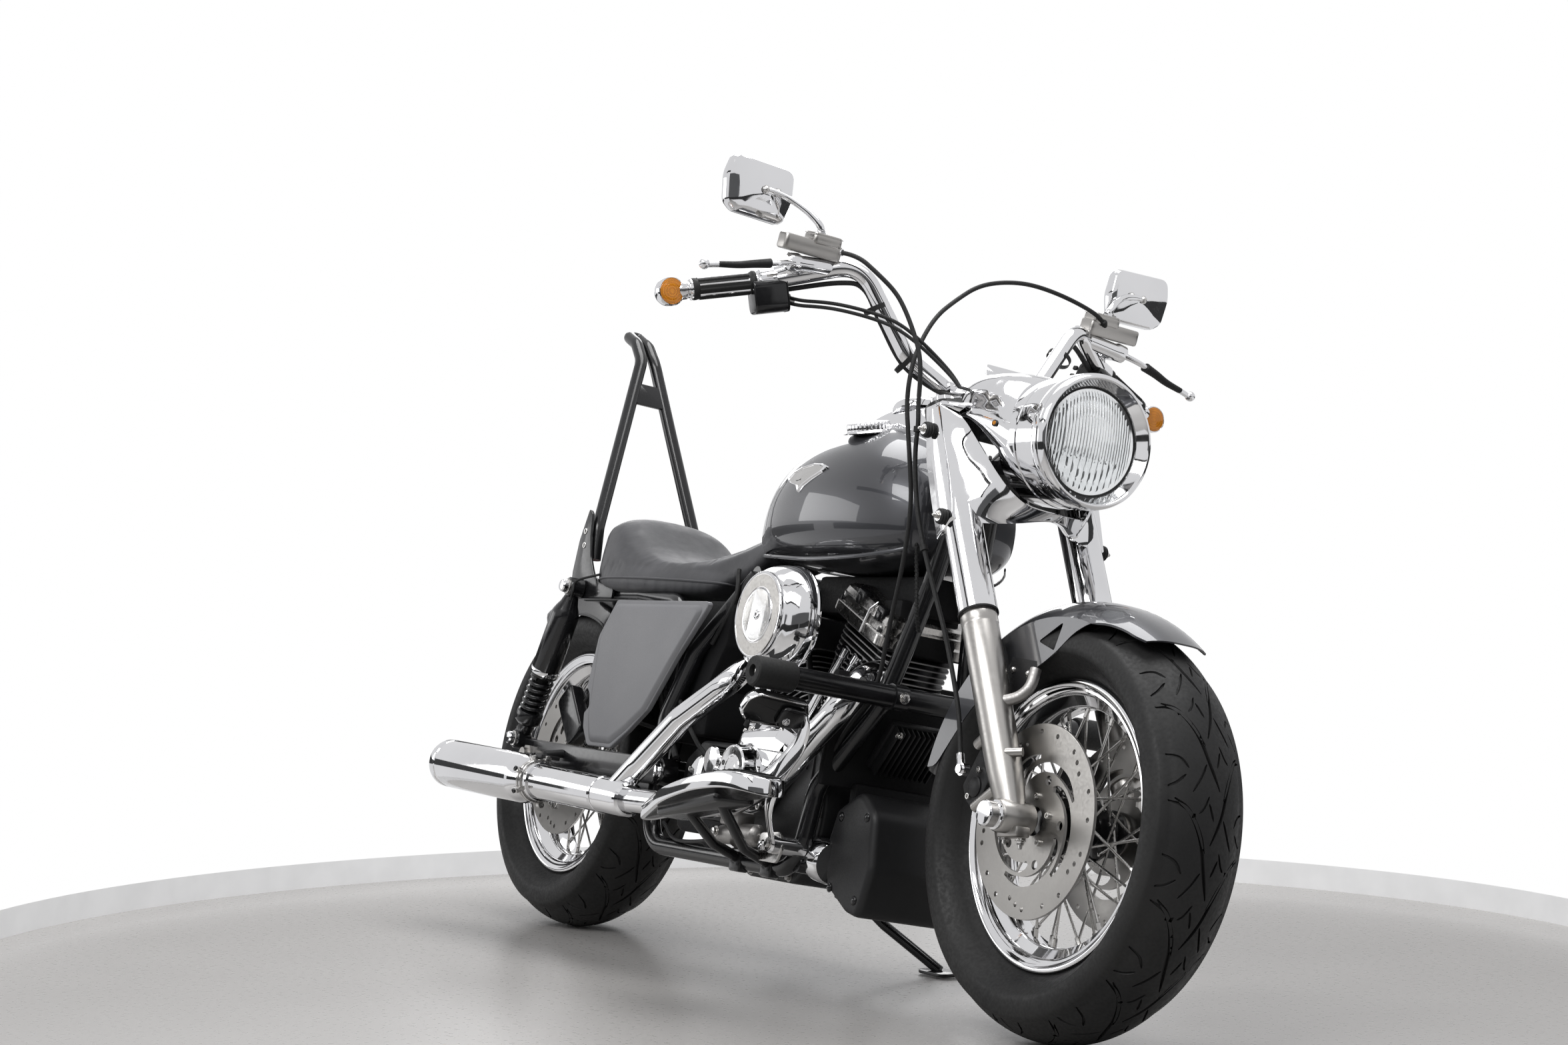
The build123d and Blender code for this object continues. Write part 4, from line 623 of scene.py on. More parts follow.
def make_tyre(name, axle, radius, width, rim_half, body, node, pitches):
    """Carcass with shoulder and bead lines, then slanting grooves cut along the tread."""
    half, _ = tread_arc(width)
    section = [(half * (1 - k / 12), tread_radius(radius, width, half * (1 - k / 12))) for k in range(25)]
    drop = radius - SHOULDER_DROP
    wall = []
    for t, bulge in ((0.06, -0.9), (0.12, 0.3), (0.2, 1.0), (0.3, 1.7), (0.42, 2.3), (0.52, 2.4), (0.56, 0.9),
                     (0.62, 0.8), (0.66, 1.8), (0.78, 1.2), (0.84, -0.3), (0.88, -1.2), (0.94, -1.0),
                     (1.0, -0.2)):
        swell = math.sin(math.pi * min(1, 0.22 + 0.78 * t))
        y = half + (width / 2 - half) * 1.9 * swell - (half - rim_half + 5) * max(0, t - 0.55) / 0.45
        wall.append((y + bulge - 1.0, drop + (RIM_FLANGE + 1.0 - drop) * t))
    bead = rim_half - 4.5
    wall += [(bead, RIM_FLANGE - 1.0), (bead, RIM_SEAT + 0.5)]
    profile = [(-y, r) for y, r in reversed(wall)] + section[::-1] + wall
    shape = Shape(tyre_rubber)
    shape.lathe(axle, (0, 1, 0), profile, tyre_rubber, 240, ring=True)
    tyre = shape.done(name, None, angle=50)
    grooves = Shape(tyre_rubber)

    def groove(start_turn, points, wide, deep):
        """One groove over the tread, tapered at its ends, along (turn, y) places."""
        path = smooth_path([(t, y, 0) for t, y in points], 5)
        loops = []
        for k, p in enumerate(path):
            share = k / (len(path) - 1)
            open_by = wide / 2 * (0.35 + 0.65 * min(1, 6 * share, 6 * (1 - share)))
            ahead_p, behind_p = path[min(k + 1, len(path) - 1)], path[max(k - 1, 0)]
            step = Vector(((ahead_p.x - behind_p.x) * radius, ahead_p.y - behind_p.y, 0)).normalized()
            loop = []
            for offset, sink in ((-1.25, 3.0), (-0.7, -deep), (0.7, -deep), (1.25, 3.0)):
                y = p.y + step.x * offset * open_by
                angle = start_turn + p.x - step.y * offset * open_by / radius
                r = tread_radius(radius, width, max(-half - 3, min(half + 3, y))) + sink
                if abs(y) > half:
                    r -= (abs(y) - half) * 0.9
                loop.append(about(axle, r, angle, y))
            loops.append(loop)
        grooves.loft(loops, tyre_rubber)

    pitch = 2 * math.pi / pitches
    for n in range(pitches):
        for side in (1, -1):
            at = n * pitch + (0 if side > 0 else pitch / 2)
            for shift, points, wide, deep in GROOVES:
                groove(at + shift * pitch, [(turn, side * y) for turn, y in points], wide, deep)
    cut(tyre, grooves.done(name + "_grooves", None))
    hand_over(tyre, body, node, 38)


def make_rim(name, axle, rim_half, right_face, left_face, body, node):
    """A bright stepped rim, crossed spokes with nipples, and a black hub."""
    shape = Shape(chrome)
    step, well = rim_half - 16, rim_half - 24
    half_section = [(rim_half - 1.2, RIM_FLANGE), (rim_half, RIM_FLANGE - 1.6),
                    (rim_half + 0.4, RIM_FLANGE - 5), (rim_half - 1.4, RIM_FLANGE - 8.4),
                    (rim_half - 3.4, RIM_FLANGE - 10.4), (rim_half - 4.6, RIM_SEAT + 1.6),
                    (rim_half - 7.5, RIM_SEAT - 3.2), (step + 3, RIM_SEAT - 4.4),
                    (step - 0.5, RIM_SEAT - 6.4), (well + 0.5, RIM_WELL - 1.0), (well - 4.0, RIM_WELL - 4.0),
                    (0, RIM_WELL - 4.4)]
    inner = [(rim_half - 1.2, RIM_FLANGE), (rim_half - 4, RIM_FLANGE - 1), (rim_half - 4, RIM_SEAT),
             (step - 1, RIM_SEAT), (well - 1, RIM_WELL), (0, RIM_WELL)]
    loop = half_section + [(-y, r) for y, r in reversed(half_section[:-1])]
    loop += [(-y, r) for y, r in inner[1:]] + [(y, r) for y, r in reversed(inner[1:-1])]
    shape.lathe(axle, (0, 1, 0), loop, chrome, 160, ring=True)
    barrel = [(right_face, 14), (right_face, 33), (right_face + 1.5, 36), (right_face + 7, 36),
              (right_face + 9, 33), (right_face + 13, 27), (-41, 25), (-39, 30), (-37.5, HUB_FLANGE - 2),
              (-36, HUB_FLANGE), (-32, HUB_FLANGE), (-30.5, HUB_FLANGE - 2), (-29, 30), (-26, 25), (0, 23.5),
              (26, 25), (29, 30), (30.5, HUB_FLANGE - 2), (32, HUB_FLANGE), (36, HUB_FLANGE),
              (37.5, HUB_FLANGE - 2), (39, 30), (41, 25), (left_face - 13, 27), (left_face - 9, 33),
              (left_face - 7, 36), (left_face - 1.5, 36), (left_face, 33), (left_face, 14)]
    shape.lathe(axle, (0, 1, 0), barrel, gloss_black, 64)
    for index in range(40):
        side = 1 if index % 2 else -1
        twist = 1 if (index // 2) % 2 else -1
        turn = math.radians(9 * index)
        hub_turn = turn + twist * math.radians(62)
        rim_end = about(axle, RIM_WELL - 3, turn, side * (6 + 2.5 * twist))
        hub_end = about(axle, HUB_FLANGE - 5, hub_turn, side * (34 + 3.4 * twist))
        along = (rim_end - hub_end).normalized()
        shape.tube([hub_end, rim_end], 2.1, polished, 10)
        shape.tube([rim_end - along * 17, rim_end - along * 16, rim_end - along * 2], [2.4, 3.6, 3.6],
                   polished, 6)
        bend = hub_end - Vector((0, side * twist * 5.0, 0))
        shape.tube([hub_end + along * 3, hub_end, bend], 2.3, polished, 8)
        shape.lathe(hub_end + Vector((0, side * twist * 0.6, 0)), (0, side * twist, 0),
                    [(0, 3.6), (1.4, 3.4), (2.2, 2.0), (2.4, 0)], polished, 10)
    shape.done(name, body, node)


make_tyre("front_tyre_tread", FRONT_AXLE, FRONT_R, FRONT_W, 43.0, "front_wheel", "front_tyre", 13)
make_tyre("rear_tyre_tread", REAR_AXLE, REAR_R, REAR_W, 53.0, "rear_wheel", "rear_tyre", 13)
make_rim("front_rim_laced", FRONT_AXLE, 43.0, -70.5, 70.5, "front_wheel", "front_rim")
make_rim("rear_rim_laced", REAR_AXLE, 53.0, -61.5, 80.0, "rear_wheel", "rear_rim")


def make_rotor(name, axle, faces, body, node):
    """Drilled discs with curved windows, carrier holes, buttons and bolts; faces are (y, open side)."""
    shape, holes, trim = Shape(ground), Shape(ground), Shape(polished)
    for y, out in faces:
        start = (axle[0], y - 2.5, axle[2])
        shape.lathe(start, (0, 1, 0), [(0, 22), (0, 145.6), (0.5, 146), (4.5, 146), (5, 145.6), (5, 22)],
                    ground, 128, ring=True)
        shape.lathe((axle[0], y, axle[2]), (0, -out, 0), [(2, 24), (2, 33), (6.5, 33), (6.5, 24)], ground, 40,
                    ring=True)
        for radius, shift, wide in ((131, 5, 3.9), (134, 23, 3.9), (121, 39, 3.9), (126, 47, 3.9),
                                    (131, 55, 3.9), (66, 70, 7.2)):
            for a in turns(5, shift):
                holes.lathe(about(axle, radius, a, y - 8), (0, 1, 0), [(0, wide), (16, wide)], ground, 16)
        for k in range(5):
            loops, path = [], []
            for t in range(25):
                turn = math.radians(72 * k + 53 - 104 * t / 24)
                path.append(tilted(turn)[0] * (62 + 35 * (t / 24) ** 0.6))
            for i, p in enumerate(path):
                way = (path[min(i + 1, 24)] - path[max(i - 1, 0)]).normalized()
                out_by = Vector((way.z, 0, -way.x)) * (7.6 * min(1, 0.5 + i / 5, 0.42 + (24 - i) / 9))
                low, high = Vector((axle[0], y - 8, axle[2])), Vector((axle[0], y + 8, axle[2]))
                loops.append([low + p - out_by, low + p + out_by, high + p + out_by, high + p - out_by])
            holes.loft(loops, ground)
            trim.bolt(about(axle, 37, math.radians(72 * k + 16), y + out * 2.6), (0, out, 0), 5.2, 5,
                      polished, "cap")
    obj = shape.done(name, None)
    cut(obj, holes.done(name + "_holes", None))
    hand_over(obj, body, node, 35)
    trim.done(name + "_bolts", body, slot="rotor_steel")


make_rotor("front_discs", FRONT_AXLE, ((-77.0, -1), (77.0, 1)), "front_wheel", "front_rotors")
make_rotor("rear_disc", REAR_AXLE, ((-68.0, -1),), "rear_wheel", "rear_rotor")


# ---------------------------------------------------------------- nacelle, lamp and front mudguard
LAMP_X, LAMP_Z = 1500, 916.0


def line_at(points, t):
    """A point a share of the way along a polyline of Vectors."""
    lengths = [0.0]
    for a, b in zip(points, points[1:]):
        lengths.append(lengths[-1] + (b - a).length)
    want = t * lengths[-1]
    for k in range(len(points) - 1):
        if want <= lengths[k + 1] or k == len(points) - 2:
            span = lengths[k + 1] - lengths[k]
            return points[k].lerp(points[k + 1], (want - lengths[k]) / span if span else 0)
    return points[-1]


def make_nacelle():
    """Side panels over the fork, a hollowed face, and the hood that the lamp grows out of."""
    shape = Shape(chrome)
    corner = smooth_path([(1292, -150, 958), (1310, -151, 918), (1334, -151, 866), (1358, -151, 812),
                          (1376, -150, 772)], 6)
    lip = smooth_path([(1384, -143, 764), (1388, -125, 766), (1391, -105, 770), (1397, -84, 773),
                       (1412, -52, 779), (1434, -22, 787), (1442, 0, 790)], 6)
    inner = smooth_path([(1312, -124, 945), (1334, -121, 930), (1356, -118, 910), (1382, -105, 877),
                         (1404, -94, 850), (1424, -80, 826), (1444, -58, 806), (1458, -30, 800),
                         (1462, 0, 799)], 6)
    back = [Vector(p) for p in ((1257, -150, 951), (1280, -150, 866), (1312, -150, 800), (1347, -150, 735))]
    rows = []
    down, along = 34, 26  # steps down the fork's corner, then along the lower lip
    for k in range(down + along + 1):
        t = k / (down + along)
        if k <= down:
            edge, rear = line_at(corner, k / down), line_at(back, k / down)
        else:
            share = (k - down) / along
            edge = line_at(lip, share)
            rear = (edge + Vector((-12, 0, 1))).lerp(line_at(back, 1.0), (1 - min(1, 4 * share)) ** 1.5)
        crease = line_at(inner, t ** 1.05)
        hollow = 13 * math.sin(math.pi * min(1, t * 1.15)) ** 1.2
        inward, sink = crease - edge, Vector((-1, 0.25, 0)).normalized() * hollow
        face = [rear, rear.lerp(edge, 0.5), rear.lerp(edge, 0.9), edge + Vector((1.5, 1.5, 0))]
        face += [edge + inward * s + sink * math.sin(math.pi * s) ** 0.8
                 for s in (0.1, 0.2, 0.32, 0.44, 0.56, 0.68, 0.8, 0.9, 0.96, 1.0)]
        face.append(crease + inward.normalized() * 2 + Vector((-9, 4, 2)))
        rows.append(face)
    shape.loft(rows, chrome, caps=False, open_loops=True)
    shelf = [[Vector((1257, -150, 951)), Vector((1292, -150, 958)), Vector((1314, -124, 947))],
             [Vector((1256, -146, 955)), Vector((1294, -146, 962)), Vector((1322, -118, 958))],
             [Vector((1254, -100, 960)), Vector((1290, -100, 966)), Vector((1330, -100, 964))]]
    shape.loft(shelf, chrome, caps=False, open_loops=True)
    shape.mirror()
    stations = []
    for k in range(25):
        t = k / 24
        x = 1436 - 214 * t
        width = table([(0, 103), (0.15, 107), (0.35, 112), (0.6, 117), (0.8, 112), (1, 104)], t)
        top = table([(0, LAMP_Z + 104), (0.2, 1027), (0.5, 1031), (0.8, 1028), (1, 1020)], t)
        low = table([(0, LAMP_Z - 104), (0.1, 822), (0.25, 862), (0.4, 905), (0.55, 935), (1, 943)], t)
        ledge = table([(0, LAMP_Z), (0.12, 935), (0.3, 944), (1, 947)], t)
        slant = 0.34 * (1 - t)
        power = 2.0 + 0.5 * min(1, 3 * t)
        loop = []
        for a in turns(64):
            c, s = math.cos(a), math.sin(a)
            y = width * slope_power(s, 2 / power)
            rise = abs(c) ** (2 / power)
            z = ledge + (top - ledge) * rise if c >= 0 else ledge - (ledge - low) * rise
            if c > 0.0:
                y *= 1 - 0.055 * min(1, 4 * t) * min(1, 8 * c)
            loop.append(Vector((x - slant * (z - LAMP_Z), y, z)))
        stations.append(loop)
    shape.loft(stations, chrome)
    shape.lathe((1398, 0, LAMP_Z), (1, 0, 0),
                [(0, 60), (0, 100), (34, 103.5), (48, 104.6), (50.5, 104.6), (52, 103.0), (56, 103.0),
                 (58, 105.2), (84, 106.2), (102, 105.4), (104, 60)], chrome, 96)
    thicken(shape.done("nacelle_shell", "steering", "nacelle", angle=38), 0.0016)
    trim = Shape(rubber)
    for height in (678, 515):
        for side in (-1, 1):
            spot = on_fork(height, side * 151)
            out = Vector((0, side, 0))
            trim.lathe(spot, out, [(0, 12), (2.5, 13), (4, 11.4), (5.5, 13), (7.5, 13), (9, 11.4),
                                   (10.5, 12.4), (12, 11)], rubber, 28)
            trim.lathe(spot + out * 11.5, out, [(0, 8.5), (1.6, 8.5), (1.8, 6.4), (2, 0)], chrome, 24)
            trim.bolt(spot + out * 13, out, 5.4, 4.5, polished, "hex")
            trim.lathe(spot + out * 15, out, [(0, 3.2), (6, 3.0), (8, 2.0), (8.5, 0)], polished, 14)
    for side in (-1, 1):
        trim.lathe((1396, side * 108.0, 928), (0.25, side, 0.1), [(0, 5.6), (1.6, 5.6), (2.2, 4.6), (2.2, 0)],
                   satin_black, 20)
        trim.lathe((1396.5, side * 110.0, 928.2), (0.25, side, 0.1), [(0, 3.6), (1.0, 3.0), (1.2, 0)],
                   amber, 16)
    trim.done("nacelle_studs", "steering", slot="rubber")
    tab = Shape(polished)
    outline = rounded([(-46, 0), (46, 0), (40, 40), (-40, 40)], [2, 2, 10, 10])
    tab.prism(outline, (1258, 0, 1014), (0, 1, 0), (-0.5, 0, 0.86), 2.5, chrome, 0.8)
    tab.lathe((1250, 0, 1004), (1, 0, 0.4), [(0, 0), (0, 30), (12, 27), (14, 0)], chrome, 40)
    tab.done("nacelle_tab", "steering", slot="chrome")


def make_lamp():
    """Bezel with a deep bright return, a reflector, a bulb and a fluted lens."""
    shape = Shape(chrome)
    front = (LAMP_X, 0, LAMP_Z)
    shape.lathe(front, (1, 0, 0), [(-8, 98), (-8, 104.6), (-4, 106.4), (2, 107), (8, 106.6), (9, 105),
                                   (11, 105), (13, 106.4), (18, 105.8), (22.5, 103.4), (24.6, 100.4),
                                   (24.9, 98.6), (24.0, 97.4), (20, 95.5), (9, 87.2), (6, 85.2), (3, 85),
                                   (3, 88)], chrome, 128)
    shape.lathe(front, (1, 0, 0), [(1, 88), (5.6, 87), (6.2, 84.8), (5.0, 82.6), (1, 82)], rubber, 96,
                ring=True)
    bowl = [(-78 + 82 * (k / 16) ** 2, 12 + 72 * (k / 16)) for k in range(17)]
    shape.lathe(front, (1, 0, 0), bowl + [(6, 87), (-60, 60), (-80, 12)], polished, 96, ring=True)
    shape.lathe((1424, 0, LAMP_Z), (1, 0, 0), [(0, 11), (6, 11), (8, 6.5), (40, 6.5), (44, 4), (45, 0)],
                clear_bulb, 24)
    shape.lathe((1452, 0, LAMP_Z), (1, 0, 0), [(0, 7.4), (16, 7.4), (17.5, 6), (18, 0)], ground, 24)
    shape.box((1438, 0, LAMP_Z - 40), (14, 7, 9), polished, 1)
    shape.done("headlamp_bezel", "steering", "headlamp", angle=32)
    make_lens()


def make_lens():
    """A domed glass, smooth in front and fluted behind, with wider flutes and steps low in its middle."""
    lens = Shape(glass)
    part = bmesh.new()
    radius, pitch = 84.4, 5.6
    strips, levels = 120, 36
    layers = []
    for layer in (0, 1):
        grid = []
        for i in range(strips + 1):
            y = -radius + 2 * radius * i / strips
            reach = math.sqrt(max(radius ** 2 - y * y, 0.04))
            strip = []
            for k in range(levels + 1):
                z = reach * (2 * k / levels - 1)
                dome = 18.5 - 13.5 * (y * y + z * z) / radius ** 2
                flute = abs(math.sin(math.pi * y / pitch))
                if z < -0.30 * radius and abs(y) < 0.62 * radius:
                    flute = 0.8 * abs(math.sin(math.pi * y / pitch / 2))
                    flute += 0.5 * abs(math.sin(math.pi * z / 9))
                strip.append(part.verts.new((LAMP_X + dome - layer * (3.4 + 1.5 * flute), y, LAMP_Z + z)))
            grid.append(strip)
        layers.append(grid)
    for layer, grid in enumerate(layers):
        for left, right in zip(grid, grid[1:]):
            for k in range(levels):
                quad = [left[k], right[k], right[k + 1], left[k + 1]]
                part.faces.new(quad[::-1] if layer else quad)
    front, rear = layers
    for k in range(levels):
        part.faces.new((front[0][k], front[0][k + 1], rear[0][k + 1], rear[0][k]))
        part.faces.new((front[-1][k], rear[-1][k], rear[-1][k + 1], front[-1][k + 1]))
    for i in range(strips):
        part.faces.new((front[i][0], rear[i][0], rear[i + 1][0], front[i + 1][0]))
        part.faces.new((front[i][-1], front[i + 1][-1], rear[i + 1][-1], rear[i][-1]))
    lens.take(part, glass)
    lens.done("headlamp_glass", "steering", "headlamp_lens", angle=50)


clear_bulb = clear_material("bulb_glass", (0.98, 0.93, 0.82), 0.02, 0.8)
make_nacelle()
make_lamp()


def make_front_fender():
    """A deep-skirted mudguard whose edge sweeps up to its nose, with a notch in each side."""
    edge_rows = [(56, 329), (60, 325), (66, 321), (74, 311), (82, 287), (90, 256), (98, 238), (106, 231),
                 (116, 236), (128, 247), (140, 256), (152, 264), (162, 277), (168, 292), (172, 318)]
    half_width, top, drop, power = 82.4, 341.2, 35.0, 2.6

    def crown_at(y):
        """The mudguard's radius at a place across it."""
        return top - drop * (y / half_width) ** power

    shape = Shape(paint)
    widths = [half_width * math.sin(math.pi / 2 * k / 14) for k in range(15)]
    shoulder = top - drop
    rows = []
    for angle in range(56, 174, 2):
        edge = table(edge_rows, angle)
        nose = max(0.0, 1 - (angle - 56) / 8) + max(0.0, 1 - (172 - angle) / 8)
        if edge >= shoulder:
            reach = half_width * ((top - edge) / drop) ** (1 / power)
            half = [(y * reach / half_width, crown_at(y * reach / half_width)) for y in widths]
            half += [(reach, edge - 0.4 * i) for i in range(1, 9)]
        else:
            half = [(y, crown_at(y)) for y in widths]
            half += [(half_width - 0.4 * (shoulder - r) / 40, r)
                     for r in (shoulder - (shoulder - edge) * i / 8 for i in range(1, 9))]
        row = []
        for y, r in [(-y, r) for y, r in reversed(half)] + half[1:]:
            pull = nose ** 2 * (abs(y) / half_width) ** 2 * 0.06
            row.append(about(FRONT_AXLE, r, math.radians(angle) + (pull if angle < 100 else -pull), y))
        rows.append(row)
    shape.loft(rows, paint, caps=False, open_loops=True)
    obj = shape.done("front_mudguard", None, angle=50)
    thicken(obj, 0.0026)
    knife = Shape(paint)
    notch = rounded([(1562, 590), (1620, 621), (1604, 577)], [3, 3, 3], 3)
    for y in (-60.0, 110.0):
        knife.panel(notch, y, 50, paint)
    cut(obj, knife.done("notches", None))
    hand_over(obj, "steering", "front_fender", 40)
    arms = Shape(cast)
    for side in (-1, 1):
        arms.tube(smooth_path([(1524, side * 128, 486), (1540, side * 118, 492), (1556, side * 100, 502),
                               (1566, side * 88, 520), (1562, side * 79, 548)]), 9, cast, 16, flat=0.8)
        arms.lathe((1519, side * 137, 482), (0.4, -side * 0.9, 0.1),
                   [(0, 0), (1, 7), (4, 11), (9, 12.6), (26, 12.6), (30, 11), (33, 7)], cast, 28)
        arms.panel([(1480, 520), (1536, 505), (1572, 538), (1566, 560), (1500, 566)],
                   side * 78 if side < 0 else 82, 4, satin_black, 1.0)
        for x, z in ((1548, 540), (1508, 545)):
            arms.bolt((x, side * 82.4, z), (0, side, 0), 4.6, 4, polished, "dome")
    arms.done("mudguard_arms", "steering", slot="alloy")


make_front_fender()


def make_fork():
    """Sliders with seal collars, bosses and pinch clamps, and the axle's bright caps."""
    shape = Shape(brushed)
    trim = Shape(chrome)
    for side in (-1, 1):
        y = side * FORK_Y
        stations = [(344, 27.0), (342, 28.6), (338, 29), (326, 29), (324, 28.2), (322, 28.6), (250, 28.6),
                    (120, 28.0), (70, 27.2), (44, 25), (26, 23), (10, 22)]
        shape.tube([on_fork(d, y) for d, _ in stations], [r for _, r in stations], brushed, 48)
        shape.lathe((WHEELBASE, side * 89, FRONT_Z), (0, side, 0),
                    [(0, 16), (0, 23), (2, 25), (55, 25), (58, 22.5), (58, 16)], brushed, 48)
        shape.box((WHEELBASE + 5, side * 116, FRONT_Z - 21), (50, 16, 26), brushed, 3, (1, 0, 0.1),
                  (-0.1, 0, 1))
        for step in (-16, 26):
            spot = (WHEELBASE + step, side * 116, FRONT_Z - 29 - 0.1 * step)
            trim.bolt(spot, (0.1, 0, -1), 6, 6, polished, "hex")
            trim.lathe(Vector(spot) + Vector((0.3, 0, -3)), (0.1, 0, -1),
                       [(0, 3.4), (9, 3.4), (10, 2.6), (10, 0)], polished, 14)
        shape.tube([on_fork(96, side * 126, 20), on_fork(90, side * 110, 40)], 7, brushed, 16)
        trim.lathe(on_fork(344, y), on_fork(1) - on_fork(0),
                   [(-1, 30.6), (0, 32), (3, 32), (4.4, 30), (4.4, 22)], rubber, 48, ring=True)
        trim.lathe((WHEELBASE, side * 146, FRONT_Z), (0, side, 0),
                   [(0, 12), (0, 21), (2, 22), (5, 22), (6.5, 19), (8, 18.4), (9, 19.6), (23, 19.6),
                    (25.4, 17.5), (25.8, 15), (25.8, 0)], chrome, 48)
        trim.lathe((WHEELBASE, side * 84, FRONT_Z), (0, side, 0), [(0, 17), (7, 17), (7, 12)],
                   satin_black, 32)
    shape.done("fork_legs", "steering", "fork_sliders", angle=40)
    trim.done("axle_caps", "steering", "front_axle", slot="chrome")


make_fork()


def make_caliper(shape, centre, angle, y, out, finish):
    """Two bolted halves round the disc, with pads showing between them."""
    right, up = tilted(math.radians(angle))
    outline = rounded([(-56, -24), (56, -24), (56, 6), (44, 30), (-44, 30), (-56, 6)],
                      [10, 10, 12, 10, 10, 12])
    for shift in (6, -27):
        start = Vector((centre[0], y + (shift + 21 if out > 0 else -shift), centre[1]))
        shape.prism(outline, start, right, up, 21, finish, 3, 2)
    middle = Vector((centre[0], y, centre[1]))
    shape.box(middle + up * 26, (60, 10, 20), satin_black, 1, right, up)
    for step in (-26, 26):
        spot = middle + right * step + Vector((0, out * 26, 0))
        shape.lathe(spot, (0, out, 0), [(0, 17), (3, 16.4), (5, 13), (5.4, 0)], finish, 28)
        shape.bolt(middle + right * step * 1.75 + up * 2 + Vector((0, out * 27, 0)), (0, out, 0), 5, 5,
                   polished, "cap")
    shape.bolt(middle + up * 6 + Vector((0, out * 27, 0)), (0, out, 0), 5, 5, polished, "cap")


def make_front_calipers():
    """Both front calipers, each on two lugs of its slider."""
    shape = Shape(satin_black)
    for side in (-1, 1):
        make_caliper(shape, (1497, 384), 60, side * 77, side, satin_black)
        for height, reach in ((60, -90), (150, -58)):
            shape.tube([on_fork(height, side * FORK_Y, -14), on_fork(height, side * 112, reach)], 9,
                       brushed, 18)
    shape.done("front_calipers_halves", "steering", "front_calipers")


make_front_calipers()


# ---------------------------------------------------------------- tank, console, seat and side covers
TANK = [  # x, half-width, bottom, top
    (612, 16, 742, 772), (618, 34, 730, 790), (632, 54, 724, 812), (660, 76, 720, 842), (700, 98, 716, 874),
    (760, 126, 710, 910), (820, 144, 705, 935), (880, 155, 701, 950), (940, 160, 698, 958),
    (1000, 160, 698, 959), (1060, 154, 701, 951), (1110, 143, 706, 934), (1150, 128, 714, 911),
    (1180, 108, 724, 884), (1198, 84, 740, 860), (1206, 54, 762, 834), (1208, 24, 782, 812)]
TANK_CROWN = 2.15  # power of the curve over the tank's upper half


def columns(rows, at):
    """Reads each column of a table of stations at one place."""
    return [table([(row[0], row[k]) for row in rows], at) for k in range(1, len(rows[0]))]


def tank_section(x):
    """Half-width, bottom, widest height and top of the tank at a station."""
    half, low, high = columns(TANK, x)
    return half, low, low + 0.40 * (high - low), high


def tank_point(x, angle):
    """A point of the tank's skin: full below its widest line and rounder above it."""
    half, low, middle, high = tank_section(x)
    c, s = math.cos(angle), math.sin(angle)
    if c >= 0:
        return Vector((x, half * slope_power(s, 2 / TANK_CROWN),
                       middle + (high - middle) * c ** (2 / TANK_CROWN)))
    return Vector((x, half * slope_power(s, 2 / 3.4), middle - (middle - low) * abs(c) ** (2 / 2.9)))


def make_tank():
    """The painted shell with its lower seam, a blank shield on each side, and two filler caps."""
    shape = Shape(paint)
    xs = [608 + 600 * (0.5 - 0.5 * math.cos(math.pi * k / 56)) for k in range(57)]
    loops = [[tank_point(x, 2 * math.pi * (i + 0.5) / 72) for i in range(72)] for x in xs]
    shape.loft(loops, paint)
    shape.done("tank_shell", "chassis", "fuel_tank", angle=60)
    trim = Shape(chrome)
    for side in (-1, 1):
        edge = []
        for x in range(640, 1181, 18):
            half, low = tank_section(x)[:2]
            edge.append(Vector((x, side * (half - 9), low + 9)))
        trim.tube(edge, 3.4, paint, 12, flat=0.5)
    badge = [(-66, 8), (-48, 17), (-18, 21), (22, 21), (52, 16), (72, 10), (60, 2), (34, -6), (12, -14),
             (0, -24), (-12, -12), (-40, -4)]
    for side in (-1, 1):
        rows = []
        for scale, lift in ((1.12, 0.0), (1.10, 3.2), (1.05, 4.2), (0.97, 4.2), (0.94, 2.6), (0.4, 3.0),
                            (0.02, 3.2)):
            row = []
            for u, v in rounded(badge, 3, 3):
                x, z = 905 + u * scale * 0.98, 846 + v * scale + 0.10 * u
                half, _, middle, high = tank_section(x)
                share = max(0.0, min(1.0, (z - middle) / (high - middle)))
                y = half * (1 - share ** TANK_CROWN) ** (1 / TANK_CROWN)
                row.append(Vector((x, side * (y + lift), z + lift * 0.35)))
            rows.append(row)
        trim.loft(rows[:5], chrome, caps=False)
        trim.loft(rows[4:], polished, caps=False)
    trim.done("tank_badges", "chassis", slot="chrome")
    caps = Shape(chrome)
    for side in (-1, 1):
        tilt = Vector((0.03, side * 0.30, 1)).normalized()
        spot = Vector((985, side * 84, 936))
        caps.lathe(spot, tilt, [(0, 44), (2, 44), (4, 41), (6, 39)], chrome, 64)
        along, first, second = across_to(tilt)
        loops = []
        for lift, by in ((4, 0.4), (6, 0), (15, 0), (18, 1.6), (19.5, 5), (20, 12), (20.6, 24), (20.8, 35.5)):
            loop = []
            for k, a in enumerate(turns(120)):
                ridged = 37.4 if k % 4 < 2 else 36.2
                reach = max(0.3, (ridged if by < 3 else 36.8) - by)
                loop.append(spot + along * lift + (first * math.cos(a) + second * math.sin(a)) * reach)
            loops.append(loop)
        caps.loft(loops, chrome)
    caps.done("filler_caps", "chassis", "fuel_caps")


